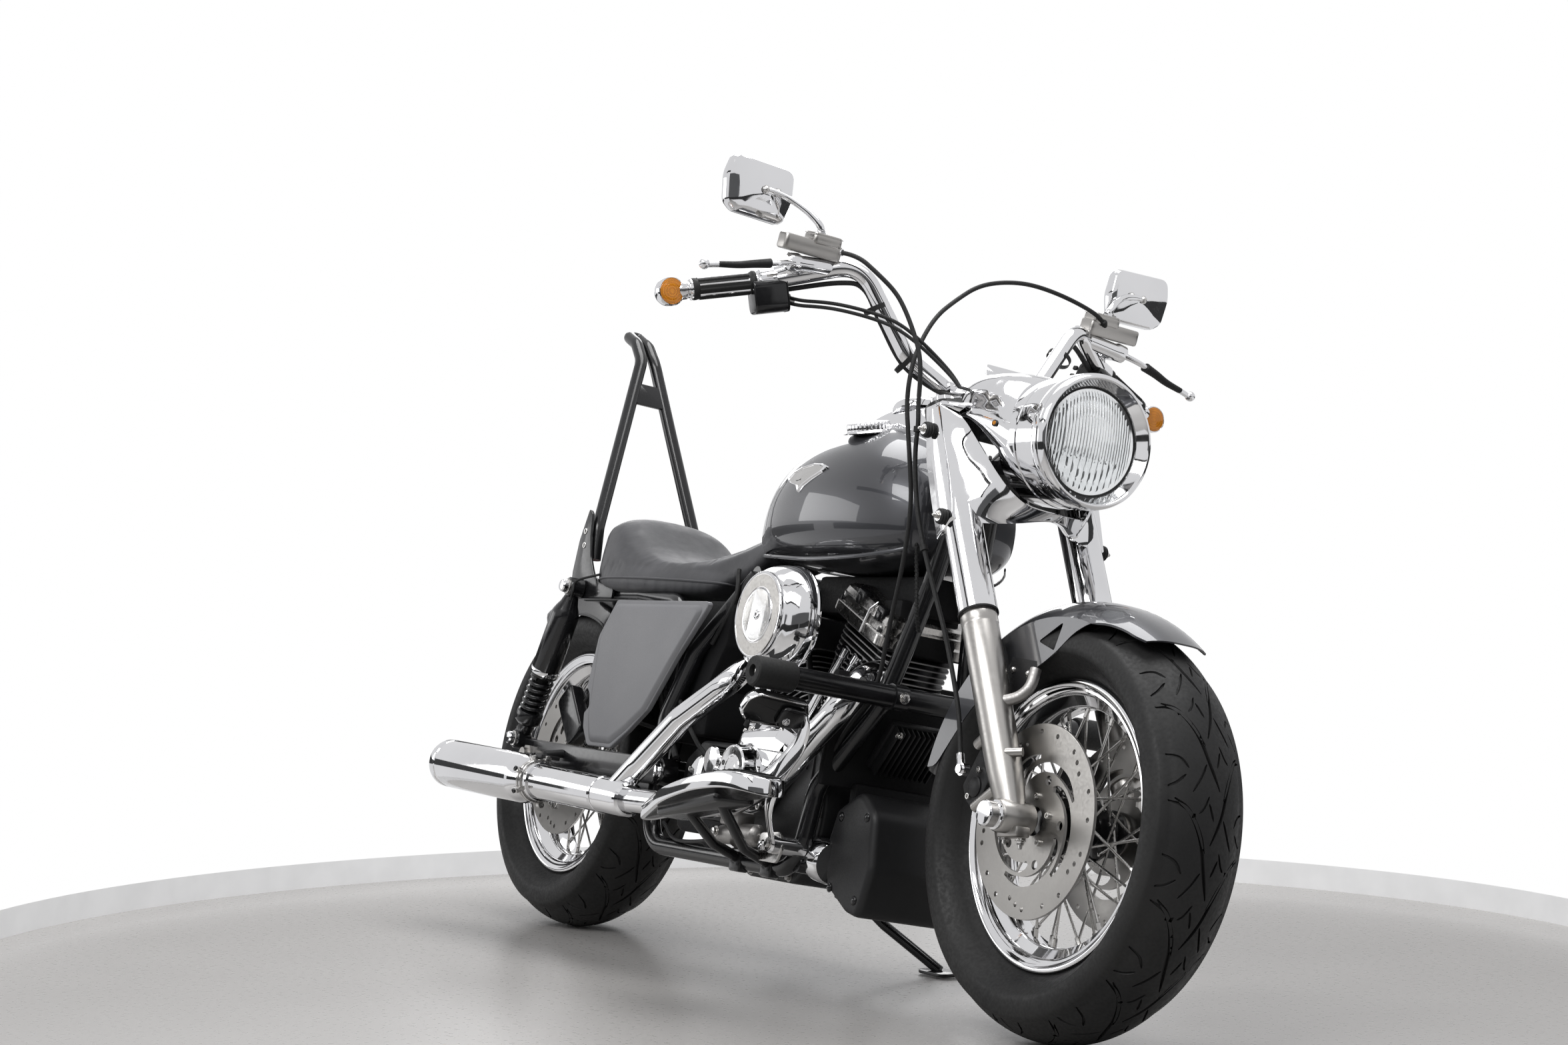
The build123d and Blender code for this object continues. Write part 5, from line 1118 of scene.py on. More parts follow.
def make_console():
    """A bright spine along the tank's crown that carries the speedometer."""
    shape = Shape(chrome)
    rows = []
    for k in range(41):
        x = 1148 - 462 * k / 40
        half = table([(686, 4), (700, 14), (760, 26), (860, 35), (960, 45), (1040, 47), (1110, 36),
                      (1148, 10)], x)
        lift = table([(686, 2), (720, 8), (800, 16), (900, 27), (980, 38), (1050, 40), (1110, 30), (1148, 8)],
                     x)
        top = tank_section(x)[3]
        row = []
        for i in range(33):
            a = math.pi * (i / 32 - 0.5)
            z = top - 10 if i in (0, 32) else top - 8 + (lift + 8) * math.cos(a) ** 0.55
            row.append(Vector((x, half * slope_power(math.sin(a), 0.8), z)))
        rows.append(row)
    shape.loft(rows, chrome, caps=False, open_loops=True)
    tilt = Vector((-0.24, 0, 0.97)).normalized()
    spot = Vector((1006, 0, 984))
    shape.lathe(spot, tilt, [(0, 50), (10, 50), (14, 48.5), (17, 46), (18, 44), (17, 42.4), (12, 41.6)],
                chrome, 80)
    shape.lathe(spot, tilt, [(11, 42), (11.5, 0)], satin_black, 80)
    first, second = across_to(tilt)[1:]
    for k in range(41):
        a = math.radians(-130 + 260 * k / 40)
        forward = first * math.cos(a) * math.copysign(1, first.x) + second * math.sin(a)
        long = 6.5 if k % 5 == 0 else 3.4
        middle = spot + tilt * 12.2 + forward * (38 - long / 2)
        shape.box(middle, (long, 0.9 if k % 5 else 1.5, 0.5), plate_white, 0, forward, tilt.cross(forward))
    needle = first * math.cos(2.0) + second * math.sin(2.0)
    shape.box(spot + tilt * 13.6 + needle * 12, (34, 1.6, 0.7), red, 0, needle, tilt.cross(needle))
    shape.lathe(spot + tilt * 12, tilt, [(0, 5), (2.6, 4.4), (3, 0)], gloss_black, 24)
    for y in (-22, 0, 22):
        shape.lathe((930, y, 972), (0.1, 0, 1), [(-6, 5.5), (3.6, 5.5), (4.6, 4), (4.8, 0)],
                    chrome if y else gloss_black, 20)
    shape.done("console_spine", "chassis", "instrument_console", angle=32)
    cover = Shape(glass)
    cover.lathe(spot, tilt, [(15.4, 43), (16.2, 42), (16.6, 0)], glass, 64)
    cover.done("speedometer_glass", "chassis", slot="lens")


make_tank()
make_console()

SEAT = [  # x, half-width, bottom, shoulder height, crown height
    (64, 58, 676, 716, 742), (70, 78, 672, 744, 770), (82, 96, 670, 762, 792), (104, 116, 668, 776, 806),
    (134, 132, 660, 782, 812), (170, 142, 654, 778, 808), (206, 147, 650, 762, 792),
    (240, 148, 648, 744, 766), (276, 147, 648, 728, 742), (320, 143, 648, 716, 723),
    (370, 136, 648, 710, 712), (420, 126, 648, 710, 712), (470, 113, 650, 716, 721),
    (520, 98, 656, 728, 736), (570, 84, 680, 744, 755), (620, 72, 706, 764, 776), (660, 62, 738, 782, 794),
    (690, 50, 764, 796, 806), (704, 34, 782, 802, 809)]


def seat_loop(x, shrink):
    """The seat's outline at a station: flat below, steep at the sides and domed above."""
    half, low, shoulder, crown = columns(SEAT, x)
    half, low, shoulder, crown = half - shrink, low + 0.4 * shrink, shoulder - shrink, crown - shrink
    right = [(0.0, low), (0.55 * half, low), (0.88 * half, low + 1), (0.965 * half, low + 5),
             (0.992 * half, low + 14)]
    for k in range(1, 7):
        t = k / 6
        right.append((half * (1.0 - 0.075 * t ** 2), low + 14 + (shoulder - low - 14) * t * 0.86))
    top = shoulder - 0.14 * (shoulder - low - 14)
    for k in range(1, 9):
        a = math.pi / 2 * k / 8
        right.append((half * 0.925 * math.cos(a) ** 0.72, top + (crown - top) * math.sin(a) ** 0.95))
    loop = [Vector((x, y, z)) for y, z in right]
    loop += [Vector((x, -y, z)) for y, z in reversed(right[1:-1])]
    return loop


def make_seat():
    """A padded solo seat: a carved form, swelled as leather over foam, with piping and seams."""
    shape = Shape(leather)
    xs = [64 + 640 * (0.5 - 0.5 * math.cos(math.pi * k / 44)) for k in range(45)]
    shape.loft([seat_loop(x, 4.0) for x in xs], leather)
    seat = shape.done("seat_pad", None)
    remesh = seat.modifiers.new("remesh", "REMESH")
    remesh.mode = "VOXEL"
    remesh.voxel_size = 0.0058
    smooth = seat.modifiers.new("smooth", "SMOOTH")
    smooth.iterations = 6
    smooth.factor = 0.5
    mesh = baked(seat)
    start = [v.co.copy() for v in mesh.vertices]
    into, most = PLACE.inverted(), 0.009

    def above_base(spot):
        """None of a swell at the seat's base plate, and all of it 26 mm up."""
        return max(0.0, min(1.0, ((into @ spot).z - 672) / 26))

    cloth = seat.modifiers.new("cloth", "CLOTH")
    cloth.settings.quality = 5
    cloth.settings.mass = 0.3
    cloth.settings.tension_stiffness = 15
    cloth.settings.compression_stiffness = 15
    cloth.settings.bending_stiffness = 0.6
    cloth.settings.use_pressure = True
    cloth.settings.uniform_pressure_force = 4
    cloth.settings.effector_weights.gravity = 0
    cloth.point_cache.frame_start, cloth.point_cache.frame_end = 1, 20
    for step in range(1, 21):
        bpy.context.scene.frame_set(step)
    graph = bpy.context.evaluated_depsgraph_get()
    swelled = [v.co.copy() for v in seat.evaluated_get(graph).data.vertices]
    seat.modifiers.clear()
    bpy.context.scene.frame_set(1)
    for vert, old, new in zip(mesh.vertices, start, swelled):
        move = new - old
        if move.length > most:
            move *= most / move.length
        vert.co = old + move * above_base(old)
    mesh.shade_smooth()
    tree = BVHTree.FromPolygons([v.co.copy() for v in mesh.vertices], [p.vertices[:] for p in mesh.polygons])

    def skin(origin, direction):
        """Where a ray from inside the seat leaves it."""
        hit = tree.ray_cast(place(*origin), (PLACE.to_3x3() @ Vector(direction)).normalized())[0]
        return into @ hit if hit is not None else None

    def ring(x, lean_back, low_angle, height=690):
        """A line over the seat from side to side."""
        points = []
        for k in range(49):
            a = math.radians(-low_angle + 2 * low_angle * k / 48)
            spot = skin((x, 0, height), (lean_back * math.cos(a), math.sin(a), math.cos(a)))
            if spot is not None:
                points.append(spot)
        return points

    seams = Shape(leather)
    rows = [ring(134, -0.22, 96), ring(500, -0.35, 80, 700)]
    seams.tube(smooth_path(rows[0][::2], 4), 2.6, leather, 10)
    hem = []
    for a in turns(72) + [2 * math.pi]:
        spot = skin((330 + 150 * math.cos(a), 0, 676), (math.cos(a), 0.8 * math.sin(a), 0))
        if spot is not None:
            hem.append(spot)
    if len(hem) > 20:
        seams.tube(hem, 2.6, leather, 8)
    seams.done("seat_piping", "chassis", slot="leather")
    lines = [[place(*p) for p in row] for row in (ring(146, -0.22, 96), rows[1])]
    places = [p for row in lines for a, b in zip(row, row[1:]) for p in (a, a.lerp(b, 0.33), a.lerp(b, 0.66))]
    near = KDTree(len(places))
    for k, p in enumerate(places):
        near.insert(p, k)
    near.balance()
    rounds = seat.modifiers.new("round", "SUBSURF")
    rounds.levels = rounds.render_levels = 1
    mesh = baked(seat)
    for vert in mesh.vertices:
        distance = near.find(vert.co)[2]
        if distance < 0.014:
            vert.co -= vert.normal * 0.0016 * math.exp(-(distance / 0.0038) ** 2)
    mesh.shade_smooth()
    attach(seat, "chassis")
    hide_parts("seat")


make_seat()


def make_side_covers():
    """Panels with a wide chamfer, a rounded rear notch and rubber-bushed studs behind."""
    outline = [(294, 630), (664, 630), (566, 528), (486, 428), (420, 384), (360, 351), (264, 351), (236, 384),
               (230, 412), (247, 424), (240, 448), (226, 462), (240, 560)]
    soft = rounded(outline, [8, 10, 20, 26, 30, 22, 16, 14, 6, 8, 8, 6, 30], 5)
    shape = Shape(satin_grey)
    shape.dish(soft, ((1.5, -149), (0, -150.5), (0, -157), (0.7, -158.6), (2.2, -159.4)), satin_grey, 60)
    face = rounded([(300, 624), (650, 624), (560, 522), (480, 424), (416, 386), (358, 357), (270, 357),
                    (252, 400), (246, 560)], [20, 14, 40, 40, 40, 24, 24, 40, 60], 6)
    centre = Vector((400, 0, 510))
    rows = []
    for share, y in ((0.995, -158.6), (0.985, -160.4), (0.94, -164.2), (0.925, -164.9), (0.90, -165.1)):
        rows.append([Vector((centre.x + (x - centre.x) * share, y, centre.z + (z - centre.z) * share))
                     for x, z in face])
    shape.loft(rows, satin_grey, sharp=60)
    shape.tube([(480, -150, 560), (480, -132, 560)], 12, rubber, 20)
    shape.tube([(330, -150, 612), (330, -112, 612)], 10, rubber, 20)
    shape.mirror()
    shape.done("side_panels", "chassis", "side_covers", angle=28)


make_side_covers()


# ---------------------------------------------------------------- engine
CRANK = Vector((908, 0, 285))


def make_cylinders():
    """Finned barrels and heads with bright fin edges, and rocker boxes with their bolts."""
    fins, rockers = Shape(wrinkle), Shape(chrome)
    for sign in (-1, 1):
        ahead_dir, up = tilted(math.radians(-22.5 * sign))

        def at(height, forward=0.0, y=0.0):
            """A point of the cylinder, by its distance from the crankshaft."""
            return CRANK + up * height + ahead_dir * forward + Vector((0, y, 0))

        fins.lathe(at(150), up, [(0, 55), (198, 55)], wrinkle, 48)
        outward = ahead_dir * sign
        for k in range(16):
            height, back = 183 + 10 * k, 70 if k < 9 else 78
            half = (back + (84 if k < 9 else 98)) / 2
            middle = at(height) + outward * (half - back)
            shape_of = rounded_box(half - 0.8, 69.4, 34, 6)
            edge_of = rounded_box(half, 70.2, 34, 6)
            fins.prism(shape_of, middle, ahead_dir, (0, 1, 0), 3.0, wrinkle)
            fins.prism(edge_of, middle + up * 0.4, ahead_dir, (0, 1, 0), 2.2, fin_edge,
                       holes=[rounded_box(half - 7, 63, 30, 6)])
        for forward, y in ((-58, -58), (58, -58), (-58, 58), (58, 58)):
            fins.tube([at(176, forward, y), at(346, forward, y)], 7, wrinkle, 14)
        centre = outward * 11

        def box_level(height, half_x, half_y, corner):
            """The rocker box's outline at a height."""
            return [at(height, a, b) + centre for a, b in rounded_box(half_x, half_y, corner, 6)]

        rockers.loft([box_level(*level)
                      for level in ((348, 85, 94, 16), (350, 87, 96, 16), (366, 87, 96, 16),
                                    (369, 85, 94, 16), (370, 83, 92, 16), (380, 82.4, 91.4, 16),
                                    (384, 83, 92, 16), (386, 81.4, 90.4, 16), (396, 80, 89, 18),
                                    (401, 76, 85, 20), (403.4, 68, 78, 20), (404, 58, 68, 18))], polished)
        rockers.loft([box_level(height, 85.5, 94.5, 16) for height in (346.6, 349)], rubber)
        for forward in (-70, 0, 70):
            for y in (-84, 84):
                rockers.bolt(at(369, forward, y * 1.05) + centre, up, 6.4, 8, gloss_black, "cap")
        for side in (-1, 1):
            for forward in (-18, 56):
                rockers.box(at(399, forward * sign, side * 86) + centre, (24, 18, 17), gloss_black, 3,
                            ahead_dir, up)
                rockers.box(at(392, forward * sign, side * 93) + centre, (14, 16, 9), gloss_black, 2,
                            ahead_dir, up)
            rockers.tube([at(349, 26 * sign, side * 98) + centre, at(392, 26 * sign, side * 94.4) + centre,
                          at(405, 26 * sign, side * 84) + centre], 2.4, chrome, 14)
    fins.done("cylinder_fins", "chassis", "cylinders", slot="engine_black", angle=30)
    rockers.done("rocker_boxes", "chassis", "rocker_covers", angle=30)


def make_timing_side():
    """The bright cam cover with its round lid, lifter blocks and pushrod tubes."""
    shape = Shape(chrome)
    lid_x, lid_z = 836, 340
    outline = rounded(hull_outline([(838, 344, 76), (802, 392, 26), (914, 402, 22), (962, 388, 24),
                                    (784, 316, 42)], 160), 4, 1)
    shape.dish(outline, ((0, -98.4), (0, -116), (1.5, -121), (6, -126), (14, -130), (24, -132.5), (36, -134)),
               chrome)
    shape.lathe((lid_x, -122, lid_z), (0, -1, 0),
                [(0, 62), (5, 57), (9, 51), (14, 47.4), (22, 45.4), (34, 43.6), (40, 43), (42, 41.6),
                 (42.6, 39.4), (41.6, 38), (41.2, 26), (42.2, 25), (42.2, 22.4), (41.2, 21.4), (41.2, 13),
                 (42.2, 12), (42.2, 0)], chrome, 96)
    for a in turns(5, 90):
        shape.lathe(about((lid_x, -163.2, lid_z), 31.6, a), (0, -1, 0),
                    [(0, 4.6), (0.8, 4.6), (1.2, 3.8), (0.4, 2.8), (0.4, 0)], gloss_black, 20)
    for x, z in ((797, 408), (918, 415), (966, 396), (762, 336), (790, 282), (880, 284), (936, 352)):
        shape.bolt((x, -119, z), (0, -1, 0), 6.4, 8, polished, "cap")
    blocks = Shape(chrome)
    for sign in (-1, 1):
        right, upward = tilted(math.radians(-22.5 * sign))
        middle = Vector((CRANK.x + sign * 68, -112, 424))
        blocks.prism(rounded_box(35, 14, 8), middle - Vector((0, -13, 0)), right, upward, 26, chrome, 2)
        for step in (-30, 30):
            blocks.bolt(middle + right * step * 0.86 + Vector((0, -12.6, 0)), (0, -1, 0), 4.4, 4,
                        polished, "cap")
        for offset in (0, 34):
            low = Vector((CRANK.x + sign * (52 + offset), -111, 426 - offset * 0.3))
            high = Vector((CRANK.x + sign * (124 + offset * 1.2), -90, 566 - offset * 0.4))
            along, length = (high - low).normalized(), (high - low).length
            blocks.lathe(low, along, [(0, 11.5), (14, 11.5), (17, 10.6), (20, 11.2), (24, 9.4),
                                      (length * 0.52, 9.0), (length * 0.52, 10.6), (length * 0.56, 11.0),
                                      (length * 0.6, 10.6), (length * 0.6, 8.0), (length - 18, 8.0),
                                      (length - 16, 10), (length, 10.4)], chrome, 28)
            blocks.lathe(low + along * length * 0.61, along, [(0, 9.6), (5, 9.2), (5.5, 8.2)], rubber, 24)
    shape.done("cam_cover", "chassis", "timing_cover", angle=28)
    blocks.done("pushrod_covers", "chassis", "pushrod_tubes", angle=30)


def make_air_cleaner():
    """An oval bright shell whose raised round face carries a dark ring, a dish and a bolt."""
    shape = Shape(chrome)
    mid_x, mid_z = 922, 600

    def oval(a, b, y, shift=0.0):
        """The shell's outline at a distance out, with half-axes a and b."""
        return [Vector((mid_x + shift + a * slope_power(math.cos(t), 0.9), y,
                        mid_z + b * slope_power(math.sin(t), 0.9))) for t in turns(96)]

    shape.loft([oval(*row) for row in (
        (100, 84, -147), (107.4, 91.4, -147.4), (109.4, 93.4, -149), (110, 94, -153), (108.6, 92.6, -155.4),
        (108.2, 92.2, -156.6), (108.8, 92.8, -158), (108.2, 92.2, -168), (105.6, 90.4, -176),
        (101, 87.4, -184), (94.6, 83.4, -191, 0.8), (87, 79.2, -197, 1.4), (81, 76.2, -201.6, 2),
        (78, 75, -204.4, 2.6), (76.4, 74.4, -205, 3))], chrome)
    face = (mid_x + 3, -204, mid_z)
    shape.lathe(face, (0, -1, 0), [(0, 75.6), (3.0, 75.6), (5.4, 75), (6.8, 73.6), (7.2, 72), (6.6, 70.8),
                                   (6.0, 70.2), (6.0, 47.8), (7.0, 47.2), (7.8, 46), (7.4, 44)], chrome, 96)
    shape.lathe(face, (0, -1, 0), [(7.4, 44), (5.6, 40), (3.4, 28), (2.6, 14), (2.4, 0)], polished, 96)
    shape.lathe(face, (0, -1, 0), [(5.8, 70), (6.7, 69.4), (6.7, 48.6), (5.8, 48)], ground, 96, ring=True)
    shape.lathe((mid_x + 3, -205.6, mid_z), (0, -1, 0),
                [(0, 10.4), (4.2, 10.0), (6.8, 8.0), (7.8, 5.8), (7.8, 4.0), (5, 3.8), (5, 0)], chrome, 32)
    shape.lathe((908, -148, 592), (0, 1, 0), [(0, 84), (10, 82), (22, 74), (24, 30), (70, 26), (150, 24)],
                wrinkle, 48)
    shape.tube([(862, 6, 592), (954, 6, 592)], 22, wrinkle, 24)
    for a in turns(6, 20):
        shape.bolt((mid_x + 100 * math.cos(a), -151, mid_z + 86 * math.sin(a)), (0, 1, 0), 4, 4,
                   gloss_black, "cap")
    shape.done("air_filter_shell", "chassis", "air_cleaner", angle=26)


def make_engine_blocks():
    """Crankcase and gearbox castings with ribs and bolts, and the long bright clutch-side cover."""
    shape = Shape(wrinkle)
    case = [about(CRANK, 142, a) for a in turns(72)]
    shape.panel([(p.x, max(p.z, 166)) for p in case], 97, 194, wrinkle, 6, 3)
    shape.panel(rounded([(545, 222), (838, 222), (838, 388), (600, 388), (545, 350)], 26), 76, 172,
                wrinkle, 6, 3)
    shape.panel(rounded([(560, 236), (800, 236), (800, 300), (560, 300)], 20), 60, 60, wrinkle, 4, 2)
    for x in range(800, 1021, 22):
        top = CRANK.z + math.sqrt(max(0, 138 ** 2 - (x - CRANK.x) ** 2))
        shape.box((x, -97, top - 26), (3.4, 44, 8), wrinkle, 1)
    for angle in range(200, 361, 20):
        spot = about(CRANK, 128, math.radians(angle), -96.6)
        spot.z = max(176, spot.z)
        shape.bolt(spot, (0, -1, 0), 6, 6, cast, "hex")
    shape.lathe((640, -96, 312), (0, -1, 0), [(0, 50), (14, 50), (19, 46), (21, 40), (21, 0)], chrome, 64)
    for a in turns(6, 30):
        shape.bolt(about((640, -113, 312), 43, a), (0, -1, 0), 4.4, 4, polished, "cap")
    shape.box((738, -112, 300), (70, 104, 30), wrinkle, 7)
    shape.lathe((724, -96, 352), (0, -1, 0), [(0, 26), (44, 26), (48, 23), (49, 0)], chrome, 40)
    shape.tube(bent_path([(724, -118, 240), (724, -128, 205), (800, -128, 196), (846, -110, 210)], 20), 7,
               satin_black)
    shape.tube([(1010, -84, 222), (1050, -84, 214), (1066, -84, 214)], 36, wrinkle, 40)
    shape.lathe((1050, -84, 214), (1, 0, -0.1), [(0, 37), (30, 37), (36, 34), (38, 0)], chrome, 48)
    shape.done("engine_castings", "chassis", "engine_case", angle=30)
    cover = Shape(chrome)
    drive, clutch = (CRANK.x, 304), (650, 311)
    outline = hull_outline([(*drive, 92), (*clutch, 100)], 144)
    cover.dish(outline, ((0, 116), (0, 152), (2, 160), (7, 168), (14, 174), (24, 179), (38, 182), (52, 183)),
               chrome)
    for (x, z), radius in ((clutch, 66), (drive, 40)):
        cover.lathe((x, 176, z), (0, 1, 0), [(0, radius + 4), (6, radius + 2), (9, radius - 2),
                                             (9.6, radius - 6), (8.4, radius - 10), (8.6, 0)], chrome, 72)
        for a in turns(5, 18):
            cover.bolt(about((x, 185, z), radius - 5, a), (0, 1, 0), 4, 3.4, polished, "cap")
    for x, z in hull_outline([(*drive, 84), (*clutch, 92)], 12):
        cover.bolt((x, 163, z), (0, 1, 0), 5, 6, polished, "cap")
    cover.lathe((drive[0], 97, drive[1]), (0, 1, 0), [(0, 88), (20, 88)], wrinkle, 64)
    cover.done("clutch_side_cover", "chassis", "primary_cover", angle=28)


make_cylinders()
make_timing_side()
make_air_cleaner()
make_engine_blocks()


# ---------------------------------------------------------------- exhaust
def make_exhaust():
    """Smooth bright pipes that meet low on the right, and one long silencer."""
    front = [(1090, -40, 537), (1124, -106, 518), (1150, -150, 468), (1106, -162, 420), (1017, -170, 338),
             (900, -184, 285), (760, -196, 264), (500, -205, 260)]
    rear = [(716, -34, 531), (690, -84, 524), (712, -124, 492), (636, -168, 416), (560, -196, 326),
            (500, -205, 272)]
    shape = Shape(chrome)
    for route, bend in ((front, 90), (rear, 60)):
        shape.tube(bent_path(route, bend, 16), 22.4, chrome, 44)
    shape.tube([(566, -205, 262), (562, -205, 262), (552, -205.2, 262), (212, -212, 270)], [26, 31, 33, 33],
               chrome, 56)
    shape.lathe((470, -206.9, 264), (-1, -0.02, 0.023), [(0, 33.2), (1, 34.4), (9, 34.4), (10, 33.2)], chrome,
                56, ring=True)
    for x, y, z, way in ((1086, -38, 537, (0.35, -0.9, 0.1)), (716, -34, 531, (-0.4, -0.85, 0))):
        shape.tube([Vector((x, y, z)), Vector((x, y, z)) + Vector(way) * 12], 31, cast, 32)
    shape.done("exhaust_pipes", "chassis", "exhaust_headers", angle=30)
    muffler = Shape(chrome)
    start, end = Vector((212, -212, 270)), Vector((-206, -222, 280))
    along, length = (end - start).normalized(), (end - start).length
    muffler.lathe(start, along, [(0, 30), (0, 36), (3, 37), (32, 37.5), (38, 39), (48, 43), (62, 46.6),
                                 (72, 47.4), (length - 30, 47.4), (length - 26, 47), (length - 24, 45),
                                 (length - 22, 44.8), (length - 20, 47), (length - 16, 47.4),
                                 (length - 3, 47.4), (length, 46.4), (length, 43.6), (length - 2, 42.4),
                                 (length - 40, 40.6), (length - 88, 39), (length - 89, 0)], chrome, 96)
    for distance in (13, 24):
        muffler.lathe(start + along * distance, along,
                      [(0, 37), (0, 40.4), (1, 41.4), (6, 41.4), (7, 40.4), (7, 37)], polished, 64, ring=True)
    for dy, dz in ((-1, 0.35), (-0.9, -0.5), (-0.35, 0.95)):
        out = Vector((0, dy, dz)).normalized()
        muffler.box(start + along * 21 + out * 45, (20, 12, 10), polished, 2, along, out)
        muffler.bolt(start + along * 21 + out * 50, out, 4.6, 5, gloss_black, "cap")
    for lug in (Vector((0, 14, -44)), Vector((0, 14, 44))):
        muffler.tube([start + along * 16 + lug, start + along * 28 + lug], 6, polished, 12)
    muffler.box((150, -190, 318), (70, 8, 40), satin_black, 2, (1, 0, 0), (0, 0, 1))
    muffler.tube([(150, -186, 322), (150, -150, 330)], 8, satin_black, 16)
    muffler.done("silencer", "chassis", "muffler", angle=28)


make_exhaust()


# ---------------------------------------------------------------- boards, pedals and guards
def make_boards():
    """Long boards with a bright arched rim round a ribbed rubber mat, on black brackets."""
    tilt = math.radians(10.8)
    shape = Shape(chrome)
    (right, rise), out = tilted(tilt), Vector((0, -1, 0))
    origin = Vector((1010, -300, 280))
    edge = [(-207, 3), (-204, -9), (-190, -20), (-130, -34), (-60, -45), (40, -46), (120, -46), (170, -44),
            (194, -30), (203, -6), (197, 20), (176, 39), (130, 50), (60, 55.4), (-10, 53), (-72, 45.4),
            (-140, 27), (-196, 11), (-207, 3)]
    outline = [(p.x, p.y) for p in smooth_path([(a, b, 0) for a, b in edge], 6)[:-1]]

    def arch(a):
        """How far the board's middle rises above its ends."""
        return 7 - (13 * ((60 - a) / 270) ** 1.5 if a < 60 else 18 * ((a - 60) / 146) ** 3)

    def level(by, height, deep=0.0):
        """The board's outline drawn in and raised; deep lets its nose hang lower."""
        return [origin + right * a + out * b + rise * (height + arch(a) - deep * max(0, (a - 40) / 166))
                for a, b in inset(outline, by)]

    shape.loft([level(9, -3, 5), level(3, -4.4, 6), level(0.8, -3, 6), level(0, 0, 5), level(0, 15, 0),
                level(0.8, 17.6), level(2.6, 19), level(5.4, 19.2), level(7, 17.4)], chrome, caps=False)
    shape.loft([level(7.4, -3.2, 5), level(10, -1.6, 4), level(20, -1.6)], gloss_black)
    shape.loft([level(6.4, 15), level(6.8, 20), level(8.6, 21.6), level(12, 21.8)], rubber)
    for k in range(-11, 11):
        a = 16.0 * k + 8
        reach = max(8, min(38, 50 - 0.30 * max(0, -a - 30) - 0.9 * max(0, a - 150)))
        shape.box(origin + right * a + rise * (22.2 + arch(a)) + out * (4 if a > -80 else 0),
                  (6, 1.8 * reach, 3), rubber, 0.8, right, (0, 1, 0))
    for x in (860, 965):
        low = origin.z + (x + 95 - origin.x) * math.tan(tilt) - 8
        shape.tube(bent_path([(x, -128, 190), (x + 30, -205, 212), (x + 95, -300, low)], 40), 9,
                   gloss_black, 20)
        shape.box((x + 4, -134, 190), (34, 40, 22), gloss_black, 4)
        shape.bolt((x + 4, -146, 196), (0, -1, 0), 7, 6, polished, "hex")
    shape.prism(rounded([(-120, -32), (110, -34), (96, 34), (-110, 30)], 12), origin + rise * 4, right, out,
                22, gloss_black, 5, 2)
    shape.mirror()
    shape.done("rider_boards", "chassis", "footboards", angle=32)


def make_pedals():
    """The brake pedal's bright arm and rimmed pad on the right, the shift lever on the left."""
    shape = Shape(chrome)
    lean = math.radians(50.3)
    across, middle = Vector((0, -1, 0)), Vector((1186, -300, 436))
    long_way, back = tilted(lean)
    front = -back
    outline = rounded([(-58, -16), (-24, -29), (40, -30), (58, -12), (57, 16), (42, 30), (-50, 26), (-60, 8)],
                      [8, 26, 26, 16, 18, 20, 12, 10], 6)

    def pad(by, height):
        """The pad's outline drawn in and raised."""
        return [middle + across * a + long_way * b + front * height for a, b in inset(outline, by)]

    shape.loft([pad(4.6, 4), pad(3.4, 6.6), pad(2.2, 7.4), pad(0.7, 6.8), pad(0, 5), pad(0, -3),
                pad(1.4, -5.4), pad(5, -6.4)], chrome)
    shape.loft([pad(3.6, 4.6), pad(5, 5.4), pad(9, 5.8)], gloss_black)
    boss = middle - across * 30 - long_way * 3
    shape.prism(rounded([(-26, -19), (22, -22), (22, 20), (-26, 16)], 12), boss + front * 4, across, long_way,
                -11, gloss_black, 5, 3)
    shape.bolt(boss + across * 8 - long_way * 6 + front * 14.4, front, 5, 4, chrome, "hex")
    shape.loft([pad(1.8, -5), pad(2.4, -9.6), pad(5, -11)], rubber)
    for k in range(-2, 3):
        shape.box(middle + long_way * 9.6 * k - front * 11.6, (92, 4, 2.6), rubber, 0.8, across,
                  long_way)
    arm = smooth_path([(1198, -250, 434), (1196, -244, 414), (1180, -240, 388), (1152, -238, 364),
                       (1130, -236, 342), (1108, -232, 316), (1082, -220, 276), (1042, -180, 226)], 8)
    shape.tube(arm, [11 + 6 * math.sin(math.pi * min(1, 1.1 * k / (len(arm) - 1))) for k in range(len(arm))],
               chrome, 28, flat=0.34, lay=(0, 1, 0))
    shape.lathe((1042, -122, 226), (0, -1, 0), [(0, 15), (62, 15), (66, 12), (67, 0)], chrome, 32)
    shape.bolt((1042, -188, 226), (0, -1, 0), 7, 5, polished, "hex")
    shape.tube(bent_path([(1150, 286, 408), (1120, 256, 388), (930, 236, 322), (868, 256, 388),
                          (850, 286, 402)], 60), 8, chrome, 20)
    shape.lathe((930, 184, 320), (0, 1, 0), [(0, 12), (0, 15), (54, 15), (58, 12), (59, 0)], chrome, 28)
    for x in (1150, 850):
        ribs = [(4 + 6 * k, 13.2 if k % 2 else 14) for k in range(9)]
        shape.lathe((x, 260, 404), (0, 1, 0), [(0, 12)] + ribs + [(56, 12)], rubber, 28)
    shape.done("pedals", "chassis", "foot_controls", angle=30)


